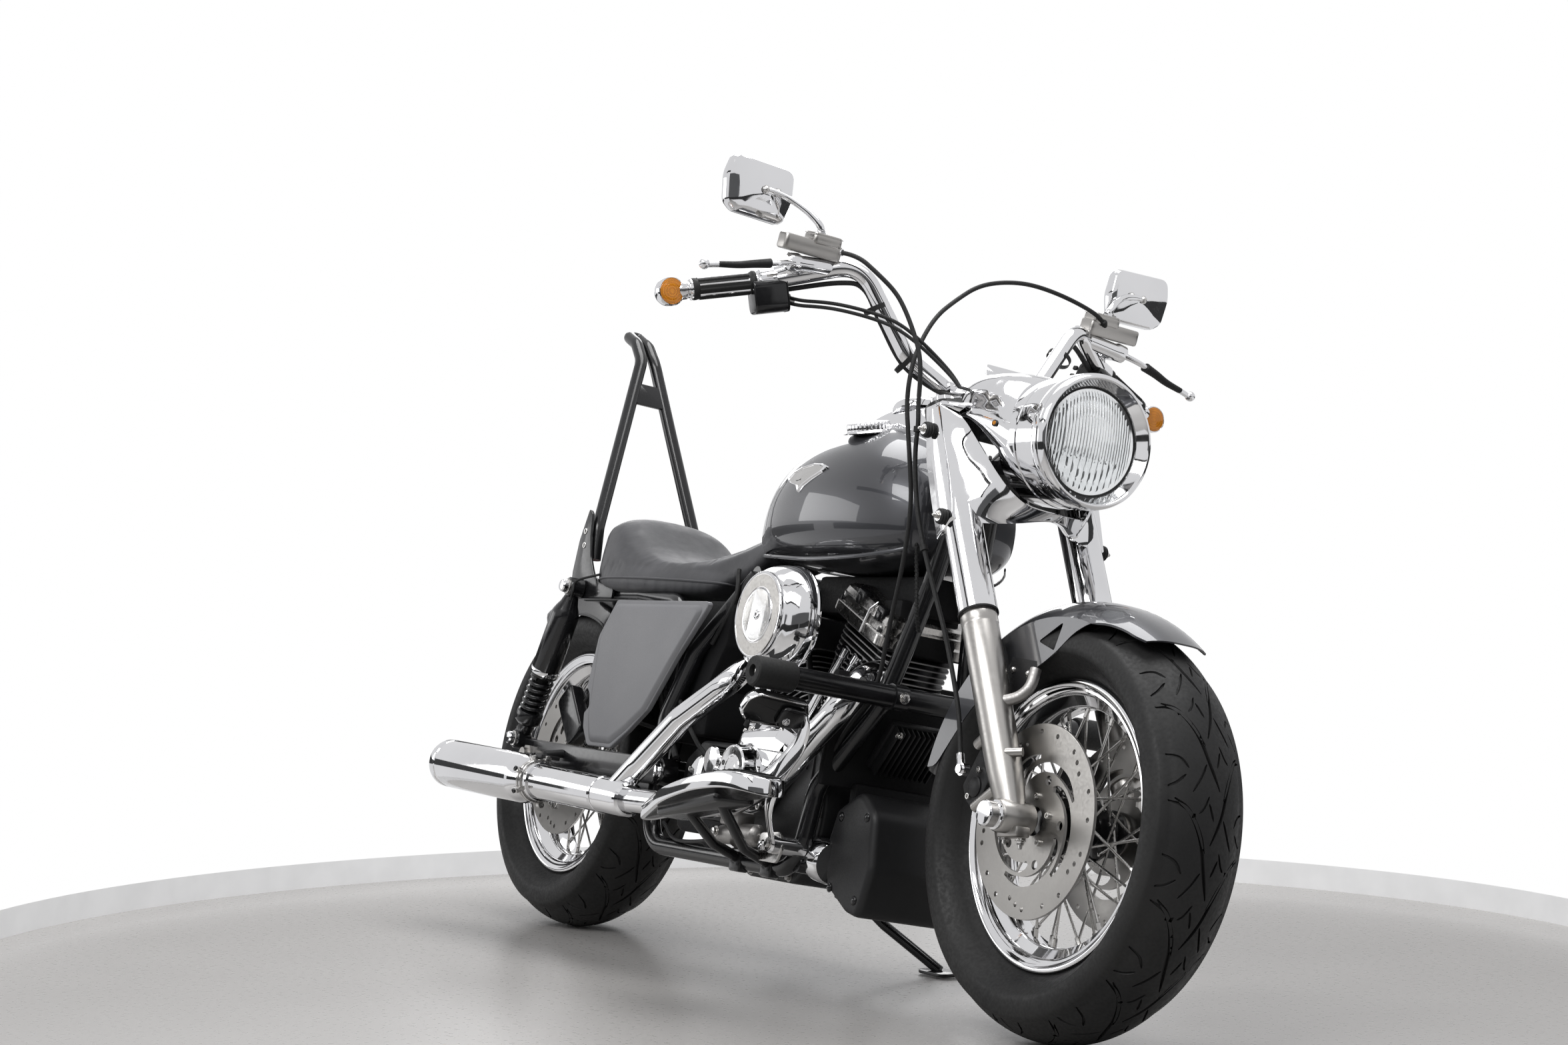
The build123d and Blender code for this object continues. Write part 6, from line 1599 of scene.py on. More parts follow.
def make_brake_cylinder():
    """The rear brake's pump under the right board: a body with an eye, its rod, lid and a bolted bracket."""
    shape = Shape(cast)
    shape.lathe((952, -152, 236), (-1, 0, -0.06), [(0, 9), (3, 15), (8, 18.6), (60, 19.4), (66, 22), (74, 22),
                                                   (78, 17), (128, 16), (136, 13), (140, 0)], cast, 40)
    shape.box((866, -152, 258), (64, 26, 34), cast, 5)
    shape.tube([(952, -152, 236), (1036, -160, 230)], 5.4, polished, 16)
    shape.panel(rounded([(-34, -26), (30, -26), (44, 0), (30, 26), (-34, 20)], 12), -166, 6, polished, 1.4,
                centre=(1016, 222))
    shape.bolt((1000, -173, 222), (0, -1, 0), 7, 6, chrome, "hex")
    shape.bolt((834, -172, 232), (0, -1, 0), 7, 6, polished, "hex")
    shape.tube(smooth_path([(812, -150, 232), (770, -150, 214), (640, -140, 206), (560, -128, 232)], 10), 3.4,
               satin_black, 10)
    shape.done("brake_pump", "chassis", slot="alloy", angle=30)


def make_guard():
    """The straight bar across the down tubes with rubber-capped ends, and its clamps."""
    shape = Shape(gloss_black)
    shape.tube([(1190, -292, 490), (1190, 292, 490)], 19, gloss_black, 40)
    for side in (-1, 1):
        shape.lathe((1190, side * 278, 490), (0, side, 0),
                    [(0, 19.5), (0, 22.5), (2, 24.6), (5, 25), (68, 25), (72, 24), (74, 21.4), (74, 10),
                     (64, 9.6), (64, 0)], rubber, 48)
        shape.bolt((1190, side * 341, 490), (0, side, 0), 5.4, 5, polished, "hex")
        shape.tube([(1148, side * 80, 482), (1190, side * 79, 490)], 15, gloss_black, 24)
        shape.tube([(1190, side * 66, 490), (1190, side * 92, 490)], 22, gloss_black, 32)
        shape.bolt((1213, side * 79, 490), (1, 0, 0), 7, 6, polished, "hex")
    shape.done("guard_bar", "chassis", "engine_guard", angle=32)


make_boards()
make_pedals()
make_brake_cylinder()
make_guard()


def make_fillers():
    """Dark parts that close the view through the middle: battery box, oil tank, coil, horn and wiring, and blocks
    and thin sheets that paint the shade between the frame's sides.
    """
    shape = Shape(shade)
    shape.panel(rounded([(430, 380), (530, 380), (640, 560), (650, 640), (430, 640)], 20), 104, 208,
                shade, 6, 2)
    # Partly real boxes, and partly dark blocks and thin sheets across the down tubes that stand for the shade
    # inside the frame.
    for centre, size, soft in (((352, 0, 540), (150, 168, 176), 10), ((540, 0, 560), (120, 120, 150), 12),
                               ((520, 0, 440), (150, 90, 190), 10), ((1000, 0, 664), (340, 66, 90), 8),
                               ((1110, -6, 610), (60, 90, 120), 8), ((910, 44, 560), (90, 160, 70), 10),
                               ((1082, 0, 430), (16, 190, 270), 4), ((1094, 0, 250), (20, 190, 150), 4)):
        shape.box(centre, size, shade, soft)
    for spot, side in (((1112, -52, 600), -1), ((1108, 52, 604), 1)):
        shape.lathe(spot, (0, side, 0), [(0, 24), (14, 24), (16, 21), (16, 0)], gloss_black, 32)
    routes = [[(700, -70, 690), (760, -96, 640), (800, -104, 560), (786, -100, 470), (760, -104, 420)],
              [(420, -112, 620), (470, -118, 540), (540, -122, 450), (620, -118, 380), (680, -112, 350)],
              [(400, -116, 600), (440, -124, 500), (500, -128, 420), (560, -124, 350)],
              [(620, -90, 700), (640, -100, 640), (600, -110, 560)]]
    for k, route in enumerate(routes):
        shape.tube(smooth_path(route, 8), 4.2 if k % 2 else 6.0, rubber, 12)
    loom = smooth_path([(1172, -80, 800), (1187, -84, 738), (1204, -84, 680), (1218, -84, 627),
                        (1210, -70, 600)], 36)
    coil = [p + Vector((3.4 * math.cos(1.4 * k), 3.4 * math.sin(1.4 * k), 0)) for k, p in enumerate(loom)]
    shape.tube(loom, 2.8, rubber, 12)
    shape.tube(coil, 1.1, rubber, 6)
    shape.done("inner_parts_and_painted_shade", "chassis", slot="engine_black", angle=32)


make_fillers()


# ---------------------------------------------------------------- handlebar and controls
BAR = [(1164, -45, 1000), (1142, -130, 1046), (1107, -223, 1184), (1016, -352, 1132), (984, -470, 1094)]
GRIP_WAY = (Vector(BAR[-1]) - Vector(BAR[-2])).normalized()


def make_handlebar():
    """The tall bright bar, its risers and the clamps that hold it."""
    shape = Shape(chrome)
    left = [(x, -y, z) for x, y, z in BAR]
    shape.tube(bent_path(BAR[::-1] + left, 60, 14), 14, chrome, 40)
    for side in (-1, 1):
        low, high = on_fork(732, side * 40), Vector((1164, side * 40, 1000))
        way = (high - low).normalized()
        shape.tube([low, high], 15.6, chrome, 32)
        for step in (-13, 13):
            shape.tube([high + Vector((0, step - 11, 0)), high + Vector((0, step + 11, 0))], 21, chrome, 40)
            for ahead in (-15, 15):
                shape.bolt(high + Vector((ahead, step, 9)), way, 5.2, 14, polished, "cap")
    shape.done("bar", "steering", "handlebar", angle=32)
    grips = Shape(rubber)
    start = Vector(BAR[-2]) + GRIP_WAY * 12.3
    grips.lathe(start, GRIP_WAY, [(0, 14.6), (0, 20), (4, 20.6), (7, 19), (10, 17.2), (98, 17.2), (102, 18.2),
                                  (106, 18.2), (110, 16.6), (110, 14.6)], rubber, 64)
    across = GRIP_WAY.orthogonal().normalized()
    other = GRIP_WAY.cross(across)
    for k in range(12):
        a = math.radians(30 * k)
        out = across * math.cos(a) + other * math.sin(a)
        finish = chrome if k % 2 else rubber
        grips.tube([start + GRIP_WAY * 12 + out * 16.6, start + GRIP_WAY * 97 + out * 16.6],
                   2.2 if k % 2 else 2.8, finish, 10)
    grips.lathe(start + GRIP_WAY * 108, GRIP_WAY, [(0, 17.8), (2.4, 17.8), (4, 16), (4.6, 0)], chrome, 48)
    grips.mirror()
    grips.done("hand_grips", "steering", "grips", angle=32)


def make_levers():
    """Perches, fluid box and clutch perch, levers with sleeved blades, and the switch housings."""
    shape = Shape(chrome)
    perch = Vector(BAR[-2]) - GRIP_WAY * 26
    root = Vector((1066, -318, 1166))
    shape.lathe(perch, GRIP_WAY, [(0, 14.4), (0, 20), (2, 22), (30, 22), (32, 20), (32, 14.4)], chrome, 48)
    shape.tube([perch + GRIP_WAY * 6 + Vector((6, 0, 12)), root + Vector((-12, 4, -4))], 12, chrome, 28)
    tilt = Vector((0.2, 0, 0.98)).normalized()
    right = Vector((0, -1, 0))
    up = tilt.cross(right)
    base = Vector((1076, -288, 1176))
    for height, inner, outer, half, deep, finish, soft in (
            (-7, -31, 76, 20, 27, brushed, 4), (20.4, -27, 27, 20.5, 15, brushed, 2.4),
            (36, -26, 26, 19.5, 7, brushed, 2)):
        taper = 4 if outer > 40 else 0
        outline = rounded([(inner, -half), (outer, -half + taper), (outer, half - taper), (inner, half)], 8)
        shape.prism(outline, base + tilt * (height + deep / 2), right, up, deep, finish, soft, 2)
    for a, b in ((-24, -15), (24, -15), (-24, 15), (24, 15)):
        shape.bolt(base + tilt * 43.4 + right * a + up * b, tilt, 3.4, 1.6, polished, "dome")
    pump = Vector((1080, -254, 1172))
    shape.lathe(pump, (0, -1, -0.1),
                [(0, 9), (2, 13), (70, 13.4), (76, 16), (92, 15), (96, 10), (96, 0)], chrome, 36)
    shape.lathe(pump, (0, 1, 0.12),
                [(-2, 8.6), (5, 8.6), (5.4, 9.8), (12, 9.8), (12.4, 6)], polished, 6)
    shape.lathe(root + Vector((0, -6, -15)), (0.08, 0, 1),
                [(0, 0), (0, 11), (1.5, 12.4), (27, 12.4), (28.5, 11), (28.5, 6), (30, 5.4), (31, 0)],
                chrome, 36)
    blade = smooth_path([root, (1086, -344, 1160), (1096, -372, 1152), (1095, -400, 1144)], 8)
    shape.tube(blade, [9.5 - 2.4 * k / (len(blade) - 1) for k in range(len(blade))], chrome, 24, flat=0.6,
               lay=(0, 0, 1))
    sleeve = smooth_path([(1096, -386, 1148), (1094, -412, 1141), (1090, -440, 1133), (1088, -474, 1126)], 8)
    shape.tube(sleeve, [11.2 - 4.2 * (k / (len(sleeve) - 1)) ** 0.8 for k in range(len(sleeve))], rubber, 24,
               flat=0.7, lay=(0, 0, 1))
    shape.tube([(1088, -470, 1127), (1087, -494, 1121)], 5, chrome, 20)
    ball = [math.radians(-88 + 11 * k) for k in range(17)]
    shape.lathe((1087, -499, 1121), (0, -1, -0.18), [(9 * math.sin(t), 9 * math.cos(t)) for t in ball],
                chrome, 36)
    middle = Vector((1027, -312, 1122))
    way = Vector((-0.25, -0.922, -0.297)).normalized()
    x_dir = (FORWARD - way * way.x).normalized()
    y_dir = way.cross(x_dir)
    for by, depth, finish, soft in ((0, 58, gloss_black, 4), (0.6, 1.4, rubber, 0)):
        outline = [(-24 - by, -30 - by), (24 + by, -30 - by), (24 + by, 26 + by), (-24 - by, 26 + by)]
        shape.prism(rounded(outline, 14), middle, x_dir, y_dir, depth, finish, soft, 3)
    for along, rise in ((-9, 8), (-9, -8), (8, 0)):
        spot = middle - x_dir * 22 + way * along + y_dir * rise
        shape.box(spot, (8, 9, 6), rubber, 2, y_dir, -x_dir)
    for shift in (-4, 5):
        shape.lathe(Vector((1018, -320 + shift, 1118 - shift * 0.8)), (0.7, 0.68, -0.22),
                    [(0, 7), (6, 7), (7, 5.4), (24, 5.2), (25, 4.6)], cast, 20)
    shape.mirror()
    shape.done("levers", "steering", "hand_controls", angle=32)


def make_mirrors():
    """Bright shells with a faceted back, on curved stalks."""
    shape = Shape(chrome)
    facing = Vector((-1, 0, 0.06)).normalized()
    out_way = Vector((0, -1, 0))
    up = facing.cross(out_way)
    middle = Vector((1036, -395, 1278))
    outline = rounded([(-60, 43), (56, 48), (64, 12), (57, -34), (40, -47), (-54, -50), (-65, -8)],
                      [17, 17, 60, 20, 20, 17, 60], 6)

    def level(share, back, shift=(0, 0)):
        """The mirror's outline scaled, and moved back from its glass."""
        return [middle + out_way * (a * share + shift[0]) + up * (b * share + shift[1]) - facing * back
                for a, b in outline]

    foot = (-6, -4)
    shape.loft([level(0.93, -17.4), level(0.955, -18), level(0.985, -17), level(1.0, -14), level(1.0, -6),
                level(0.985, -1), level(0.95, 3), level(0.88, 5.4, (-1, 0)), level(0.62, 9, (-2, -1)),
                level(0.36, 12, (-4, -2)), level(0.2, 15, foot), level(0.1, 16, foot)], chrome)
    shape.loft([level(0.93, -17.2), level(0.9, -16.2)], rubber, caps=False)
    shape.loft([level(0.9, -16.6), level(0.5, -16.7)], polished)
    stalk = smooth_path([Vector((1085, -296, 1219)), (1088, -300, 1232), (1076, -320, 1252),
                         (1060, -346, 1268), (1054, -374, 1275), (1052, -392, 1275)], 8)
    shape.tube(stalk, [6.2 - 1.4 * k / (len(stalk) - 1) for k in range(len(stalk))], chrome, 28)
    shape.lathe((1085, -296, 1217), (0.2, 0, 0.98), [(0, 10), (6, 10), (7, 8), (9, 8), (10, 6)], chrome, 6)
    for spot in ((1054, -392, 1275), (1051, -368, 1276)):
        shape.bolt(spot, (1, 0, 0), 6, 6, polished, "dome")
    shape.mirror()
    shape.done("rear_view_mirrors", "steering", "mirrors", angle=24)


def make_bar_signals():
    """Amber lamps at the bar's ends in bright bullet shells."""
    shape = Shape(chrome)
    end = Vector(BAR[-1]) + GRIP_WAY * 32.3
    shape.lathe(Vector(BAR[-1]) + GRIP_WAY * 0.3, GRIP_WAY,
                [(0, 0), (0, 14), (2, 15.6), (9, 15.6), (14, 14), (18, 12), (22, 11)], chrome, 40)
    shape.lathe(end - Vector((18, 0, 0)), (1, 0, 0),
                [(0, 0), (0.4, 6), (2, 12), (5, 17), (10, 21.4), (16, 23.4), (24, 24), (31, 24), (33, 23.4),
                 (33.6, 22), (32.6, 21)], chrome, 64)
    shape.lathe(end + Vector((14, 0, 0)), (1, 0, 0),
                [(0, 21), (1, 21.4), (2, 20.6), (3, 17), (3.6, 12), (4, 6), (4, 0)], amber, 64)
    for k in range(1, 5):
        shape.lathe(end + Vector((17.2 - 0.3 * k, 0, 0)), (1, 0, 0),
                    [(0, 4.4 * k), (0.7, 4.4 * k + 0.6), (0, 4.4 * k + 1.4)], amber, 48, ring=True)
    shape.mirror()
    shape.done("bar_signals", "steering", "bar_end_signals", angle=32)


make_handlebar()
make_levers()
make_mirrors()
make_bar_signals()


# ---------------------------------------------------------------- control cables
THROTTLE = [(1016, -322, 1122), (1036, -300, 1112), (1085, -264, 1113), (1118, -236, 1109),
            (1143, -196, 1103), (1165, -168, 1093), (1186, -138, 1071), (1203, -104, 1043), (1218, -80, 1018),
            (1236, -67, 988), (1210, -64, 944), (1210, -52, 884), (1220, -34, 844)]
CLOSING = [(1016, -326, 1113), (1036, -304, 1103), (1085, -268, 1104), (1118, -240, 1100), (1143, -200, 1094),
           (1166, -172, 1084), (1189, -144, 1064), (1208, -111, 1038), (1225, -86, 1014), (1245, -70, 986),
           (1218, -68, 944), (1220, -56, 890), (1234, -30, 859)]
HOSE = [(1086, -264, 1198), (1122, -246, 1196), (1151, -212, 1165), (1166, -186, 1142), (1179, -172, 1117),
        (1194, -158, 1081), (1208, -148, 1045), (1215, -144, 1008), (1212, -138, 960), (1218, -136, 930),
        (1214, -132, 880), (1236, -126, 791), (1270, -122, 725), (1317, -116, 648), (1353, -112, 592),
        (1393, -110, 521), (1428, -114, 468), (1461, -123, 406), (1470, -125, 390)]
CLUTCH = [(1088, 292, 1198), (1114, 272, 1206), (1100, 212, 1227), (1098, 130, 1235), (1105, 66, 1225),
          (1110, 8, 1204), (1121, -40, 1166), (1145, -90, 1124), (1166, -128, 1061), (1185, -146, 1009),
          (1184, -143, 963), (1194, -138, 917), (1202, -130, 864), (1204, -116, 800), (1196, -110, 700),
          (1176, -106, 600), (1160, -99, 492), (1108, -118, 430), (1062, -120, 350)]
BENDING = (  # name, route, radius, and where the bend that the steering makes starts and ends
    ("throttle_cable", THROTTLE, 3.0, (1186, -138, 1071), (1216, -40, 850)),
    ("closing_cable", CLOSING, 3.0, (1189, -144, 1064), (1228, -38, 862)),
    ("clutch_cable", CLUTCH, 3.8, (1182, -146, 1016), (1200, -112, 720)))


def cable_line(route):
    """The smooth line of a cable, read from a spline that its route's points control."""
    curve = bpy.data.curves.new("route", "CURVE")
    curve.dimensions = "3D"
    curve.resolution_u = 10
    spline = curve.splines.new("NURBS")
    spline.points.add(len(route) - 1)
    for point, spot in zip(spline.points, route):
        point.co = (*spot, 1)
    spline.order_u = 3
    spline.use_endpoint_u = True
    obj = bpy.data.objects.new("route", curve)
    line = bpy.data.meshes.new_from_object(obj)
    points = [v.co.copy() for v in line.vertices]
    bpy.data.objects.remove(obj)
    bpy.data.meshes.remove(line)
    return points


def make_cables():
    """The brake hose rides with the fork; the other cables belong to no body, and their place is baked into their
    shape.
    """
    hose = Shape(rubber)
    line = cable_line(HOSE)
    hose.tube(line, 3.8, rubber, 20)
    hose.lathe(line[0] - (line[1] - line[0]).normalized() * 12, line[1] - line[0],
               [(0, 5), (0, 7.4), (16, 7.4), (18, 6.2), (26, 6.2), (27, 5)], chrome, 24)
    hose.lathe(line[-1] - (line[-1] - line[-2]).normalized() * 20, line[-1] - line[-2],
               [(0, 5), (1, 6.4), (16, 6.4), (18, 7), (24, 7), (25, 5)], chrome, 24)
    hose.lathe((1476, -134, 384), (0, 1, 0), [(0, 0), (0, 7), (5, 7), (5, 10), (16, 10), (16, 6)], chrome, 24)
    for k in (len(line) // 2, len(line) * 2 // 3):
        way = (line[k + 1] - line[k]).normalized()
        hose.lathe(line[k], way, [(0, 5), (0, 6.6), (9, 6.6), (9, 5)], rubber, 20)
    hose.done("brake_hose", "steering", "control_cables")
    for name, route, radius, start, end in BENDING:
        shape = Shape(rubber)
        line = cable_line(route)
        shape.tube(line, radius, rubber, 18)
        shape.lathe(line[0], line[1] - line[0],
                    [(0, radius), (0, radius + 2.4), (22, radius + 2), (26, radius)],
                    rubber if name == "clutch_cable" else cast, 20)
        shape.tube([line[-1], line[-1] + (line[-1] - line[-2]).normalized() * 2], radius + 2, cast, 20)
        obj = shape.done(name, None, slot="rubber")
        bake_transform(obj)


def make_bar_loom():
    """The switch wiring that follows the bar's rise, with its straps."""
    shape = Shape(rubber)
    offset = Vector((-9, 7, -13))
    run = smooth_path([Vector((1030, -330, 1128)) + offset * 0.4, Vector((1090, -250, 1164)) + offset,
                       Vector((1110, -214, 1158)) + offset * 0.9, Vector((1124, -182, 1110)) + offset,
                       Vector((1142, -138, 1048)) + offset, Vector((1166, -84, 1016)) + offset,
                       Vector((1206, -60, 990))], 12)
    shape.tube(run, 4.2, rubber, 16)
    for share in (0.46, 0.68):
        k = int(len(run) * share)
        way = (run[k + 1] - run[k]).normalized()
        shape.lathe(run[k] - offset * 0.5, way, [(-4, 20.5), (-4, 21.6), (4, 21.6), (4, 20.5)], rubber, 28,
                    ring=True)
    shape.mirror()
    shape.done("switch_wiring", "steering", slot="rubber")


make_cables()
make_bar_loom()


# ---------------------------------------------------------------- rear end
def make_shocks():
    """Dark dampers: a long smooth shroud above, bellows and coils below, bright caps on the eyes."""
    shape = Shape(gloss_black)
    top, low = Vector((82, -150, 654)), Vector((-47, -150, 348))
    along, length = (top - low).normalized(), (top - low).length
    shape.lathe(low, along, [(14, 12), (22, 17), (34, 18), (40, 25), (43, 26.6), (60, 26.6), (63, 25),
                             (66, 16)], gloss_black, 56)
    shroud = ((196, 17), (192, 26), (188, 28), (62, 28), (54, 27), (44, 23), (34, 18), (20, 14), (12, 10))
    shape.lathe(low, along, [(length - below, r) for below, r in shroud], gloss_black, 64)
    shape.lathe(low, along, [(length - 186, 28.5), (length - 184, 29.2), (length - 178, 29.2),
                             (length - 176, 28.5)], chrome, 56, ring=True)
    shape.tube([low + along * 60, low + along * (length - 190)], 13, rubber, 28)
    windings, steps = 5.6, 150
    across = Vector((0, 1, 0))
    other = along.cross(across)
    coil = []
    for k in range(steps + 1):
        a = 2 * math.pi * windings * k / steps
        rise = 64 + (length - 196 - 64) * k / steps
        coil.append(low + along * rise + across * 20.5 * math.cos(a) + other * 20.5 * math.sin(a))
    shape.tube(coil, 4.6, gloss_black, 14)
    for spot in (top, low):
        shape.lathe(spot + Vector((0, 15, 0)), (0, -1, 0),
                    [(0, 9), (0, 17), (2, 19), (28, 19), (30, 17), (30, 9)], gloss_black, 40)
        shape.lathe(spot + Vector((0, 25.4, 0)), (0, -1, 0), [(0, 8), (46, 8)], cast, 24)
        shape.lathe(spot + Vector((0, -15, 0)), (0, -1, 0), [(0, 15), (3, 15), (4, 13), (5, 13)],
                    polished, 32)
        shape.lathe(spot + Vector((0, -19.4, 0)), (0, -1, 0),
                    [(0, 13), (0, 12.6), (8, 12.2), (11, 10), (12, 0)], chrome, 32)
    hose = ((12, -10, -26), (22, -14, -10), (20, -8, 12), (60, 20, 30))
    shape.tube(smooth_path([top + Vector(p) for p in hose], 8), 2.4, rubber, 10)
    shape.mirror()
    shape.done("shocks", "chassis", "shock_absorbers", angle=32)


def make_rear_fender():
    """A black mudguard of rounded section with rolled edges over the rear tyre."""
    sheet = Shape(gloss_black)
    outer_half = 90

    def section(radius, half, drop):
        """Points across the mudguard, with a straight skirt at each side."""
        hem = radius - drop - 26
        arc = [math.pi * (k / 14 - 0.5) for k in range(15)]
        dome = [(half * slope_power(math.sin(t), 0.7), radius - drop * (1 - math.cos(t) ** 0.8)) for t in arc]
        return [(-half, hem)] + dome + [(half, hem)]

    along = [math.radians(30 + 88 * k / 32) for k in range(33)]
    skin = section(349, outer_half, 30) + section(345.6, outer_half - 3.6, 29)[::-1]
    sheet.loft([[about(REAR_AXLE, r, a, y) for y, r in skin] for a in along], gloss_black)
    for side in (-1, 1):
        sheet.tube([about(REAR_AXLE, 292, a, side * (outer_half - 1.4)) for a in along], 3.6, gloss_black, 12)
    sheet.done("rear_mudguard", "chassis", "rear_fender", angle=32)


def make_sissy_bar():
    """Side plates with bolts and a tall black loop that leans back at its peak."""
    shape = Shape(gloss_black)
    right = [(70, -112, 716), (62, -112, 782), (-17, -52, 1008), (-66, -15, 1150), (-104, -13.5, 1188),
             (-150, -13, 1208)]
    route = right + [(x, -y, z) for x, y, z in reversed(right)]
    shape.tube(bent_path(route, 60, 12), 12.6, gloss_black, 36)
    plane_up = Vector((0.94, 0, 0.34)).cross(Vector((0, 1, 0)))
    way = Vector((0, 1, 0)).cross(plane_up)
    shape.prism(rounded([(-34, -20), (34, -20), (24, 26), (-24, 26)], 6), Vector((-38, 0, 1072)), (0, 1, 0),
                plane_up, 8, gloss_black, 1.2)
    for y, z in ((-15, -6), (15, -6), (0, 12)):
        spot = Vector((-38 - 0.3 * z, y, 1072 + z))
        shape.lathe(spot - way.normalized() * 4.6, way, [(0, 5), (0, 6.4), (9.2, 6.4), (9.2, 5)], rubber, 20)
    shape.done("sissy_loop", "chassis", "sissy_bar", angle=32)
    plates = Shape(gloss_black)
    outline = [(56, 816), (70, 806), (78, 760), (94, 716), (118, 684), (150, 668), (214, 656), (214, 636),
               (30, 636), (24, 690), (32, 752)]
    for side in (-1, 1):
        plates.panel(rounded(outline, [5, 8, 40, 40, 40, 20, 6, 6, 10, 30, 30], 4), side * 127.3, 6,
                     gloss_black, 1.2)
        for x, z in ((54, 770), (58, 742)):
            plates.bolt((x, side * 130.4, z), (0, side, 0), 6.4, 5, polished, "cap")
            plates.lathe((x, side * 130.2, z), (0, side, 0), [(0, 9), (1.4, 9), (1.4, 5)], chrome, 24)
    plates.done("sissy_plates", "chassis", "sissy_bar_plates", angle=32)


def make_tail():
    """The tail lamp on the mudguard's end, and the blank plate on its holder at the left axle."""
    angle = math.radians(108)
    out = tilted(angle)[0]
    up = Vector((0, 1, 0)).cross(out)
    spot = about(REAR_AXLE, 349.2, angle)
    lamp = Shape(gloss_black)

    def level(half_y, half_x, rise, corner):
        """The lamp's outline at a distance out from the mudguard."""
        return [spot + Vector((0, a, 0)) + up * b + out * rise
                for a, b in rounded_box(half_y, half_x, corner, 6)]

    lamp.loft([level(*row, 13) for row in ((41.6, 19.6, 0), (41.6, 19.6, 3), (40.6, 18.8, 10), (40, 18, 14))],
              gloss_black)
    lamp.loft([level(*row, min(12, row[1] * 0.8)) for row in (
        (37.6, 16.4, 13), (37.6, 16.4, 20), (36, 15, 23.6), (30, 11, 25.4), (18, 5, 26))], red)
    lamp.done("tail_light", "chassis", "tail_lamp", angle=32)
    plate = Shape(plate_white)
    centre = (-118, REAR_Z + 26)
    plate.panel(rounded_box(90, 100, 10, 4), 193.6, 1.6, plate_white, 0.4, centre=centre)
    plate.panel(rounded_box(90, 100, 10, 4), 195.1, 1.0, chrome, 0.4, centre=centre,
                holes=[rounded_box(85, 95, 8, 4)])
    plate.panel(rounded_box(91, 101, 10, 4), 192, 1.4, gloss_black, 0.4, centre=centre)
    plate.panel(rounded([(-113, -18), (17, -18), (17, 18), (-113, 18)], 10), 187, 4, gloss_black, 1,
                centre=(-1, REAR_Z))
    plate.lathe((0, 156.3, REAR_Z), (0, 1, 0), [(0, 12.6), (0, 20), (30, 20), (30, 12.6)], gloss_black, 40)
    for x in (-190, -46):
        plate.bolt((x, 195.4, REAR_Z + 96), (0, 1, 0), 5, 3, polished, "dome")
    plate.done("side_plate", "chassis", "licence_plate", angle=32)


def make_swingarm():
    """Box arms with rounded edges, axle plates, nuts and adjusters."""
    shape = Shape(gloss_black)
    outline = [(536, 296), (536, 344), (120, REAR_Z + 29), (-83, REAR_Z + 33), (-83, REAR_Z - 21),
               (120, REAR_Z - 25)]
    for side in (-1, 1):
        shape.panel(rounded(outline, 8, 3), side * 125, 25, gloss_black, 3, 2)
        shape.lathe((528, side * 111, 320), (0, side, 0), [(0, 26), (28, 26), (30, 24), (30, 0)],
                    gloss_black, 40)
        shape.bolt((528, side * 141, 320), (0, side, 0), 13, 8, chrome, "hex")
        shape.box((-70, side * 125, REAR_Z), (30, 29, 44), cast, 3)
        shape.bolt((-86, side * 125, REAR_Z), (-1, 0, 0), 7, 8, polished, "hex")
    shape.tube([(476, -115, 323), (476, 115, 323)], 23.5, gloss_black, 36)
    shape.done("rear_fork", "chassis", "swingarm", angle=32)


def make_rear_brake():
    """The rear caliper: a dark two-part casting with a bright bridge, bolts and its hose."""
    shape = Shape(gloss_black)
    right, up = tilted(math.radians(42))
    middle = Vector((96, 0, REAR_Z + 88))
    for y, deep in ((-66, 22), (-97, 28)):
        shape.prism(rounded_box(30, 58, 14, 4), middle + Vector((0, y, 0)), right, up, deep,
                    gloss_black, 4, 3)
    shape.box(middle + Vector((0, -82, 0)) + right * 24, (12, 90, 18), gloss_black, 3, right, up)
    for b in (-34, 0, 34):
        shape.lathe(middle + Vector((0, -110, 0)) + up * b, (0, -1, 0),
                    [(0, 12), (1.6, 12), (2.6, 10), (2.6, 0)], gloss_black, 32)
    for b in (-50, 50):
        shape.bolt(middle + Vector((0, -111, 0)) + up * b + right * 16, (0, -1, 0), 5, 5, polished, "cap")
    shape.tube(smooth_path([middle + Vector((20, -104, 30)), middle + Vector((60, -100, 60)), (260, -96, 420),
                            (400, -90, 400)], 10), 4, rubber, 14)
    shape.done("rear_brake", "chassis", "rear_caliper", angle=32)


def make_side_stand():
    """A bent round leg with a welded foot plate."""
    shape = Shape(gloss_black)
    normal = Vector((0, -math.sin(LEAN), math.cos(LEAN)))
    contact = Vector((946, 250, 250 * math.tan(LEAN)))
    pivot = Vector((808, 142, 158))
    shape.tube(bent_path([pivot, (858, 178, 116), contact + normal * 9], 60, 12), 9, gloss_black, 24)
    across = normal.cross(Vector((1, 0, 0)))
    shape.prism(rounded_box(43, 23, 17, 4), contact + normal * 3.1, (1, 0, 0), across, 5.8, gloss_black, 1)
    shape.lathe(pivot - Vector((0, 8, 0)), (0, 1, 0),
                [(0, 11.2), (0, 16), (2, 18), (18, 18), (20, 16), (20, 11.2)], gloss_black, 36)
    shape.done("kick_stand", "side_stand", "side_stand", angle=32)


def make_regulator():
    """A finned block low on the down tubes."""
    shape = Shape(satin_black)
    way, up = tilted(math.radians(-38))
    middle = Vector((1128, 0, 410))
    shape.box(middle - way * 8, (14, 112, 96), satin_black, 3, way, (0, 1, 0))
    for k in range(11):
        shape.box(middle + way * 7 + Vector((0, -50 + 10 * k, 0)), (22, 3.6, 92), satin_black, 1, way,
                  (0, 1, 0))
    for y in (-48, 48):
        shape.bolt(middle + way * 16 + Vector((0, y, 0)) + up * 40, way, 5, 4, polished, "hex")
    shape.done("charge_regulator", "chassis", "regulator", angle=32)


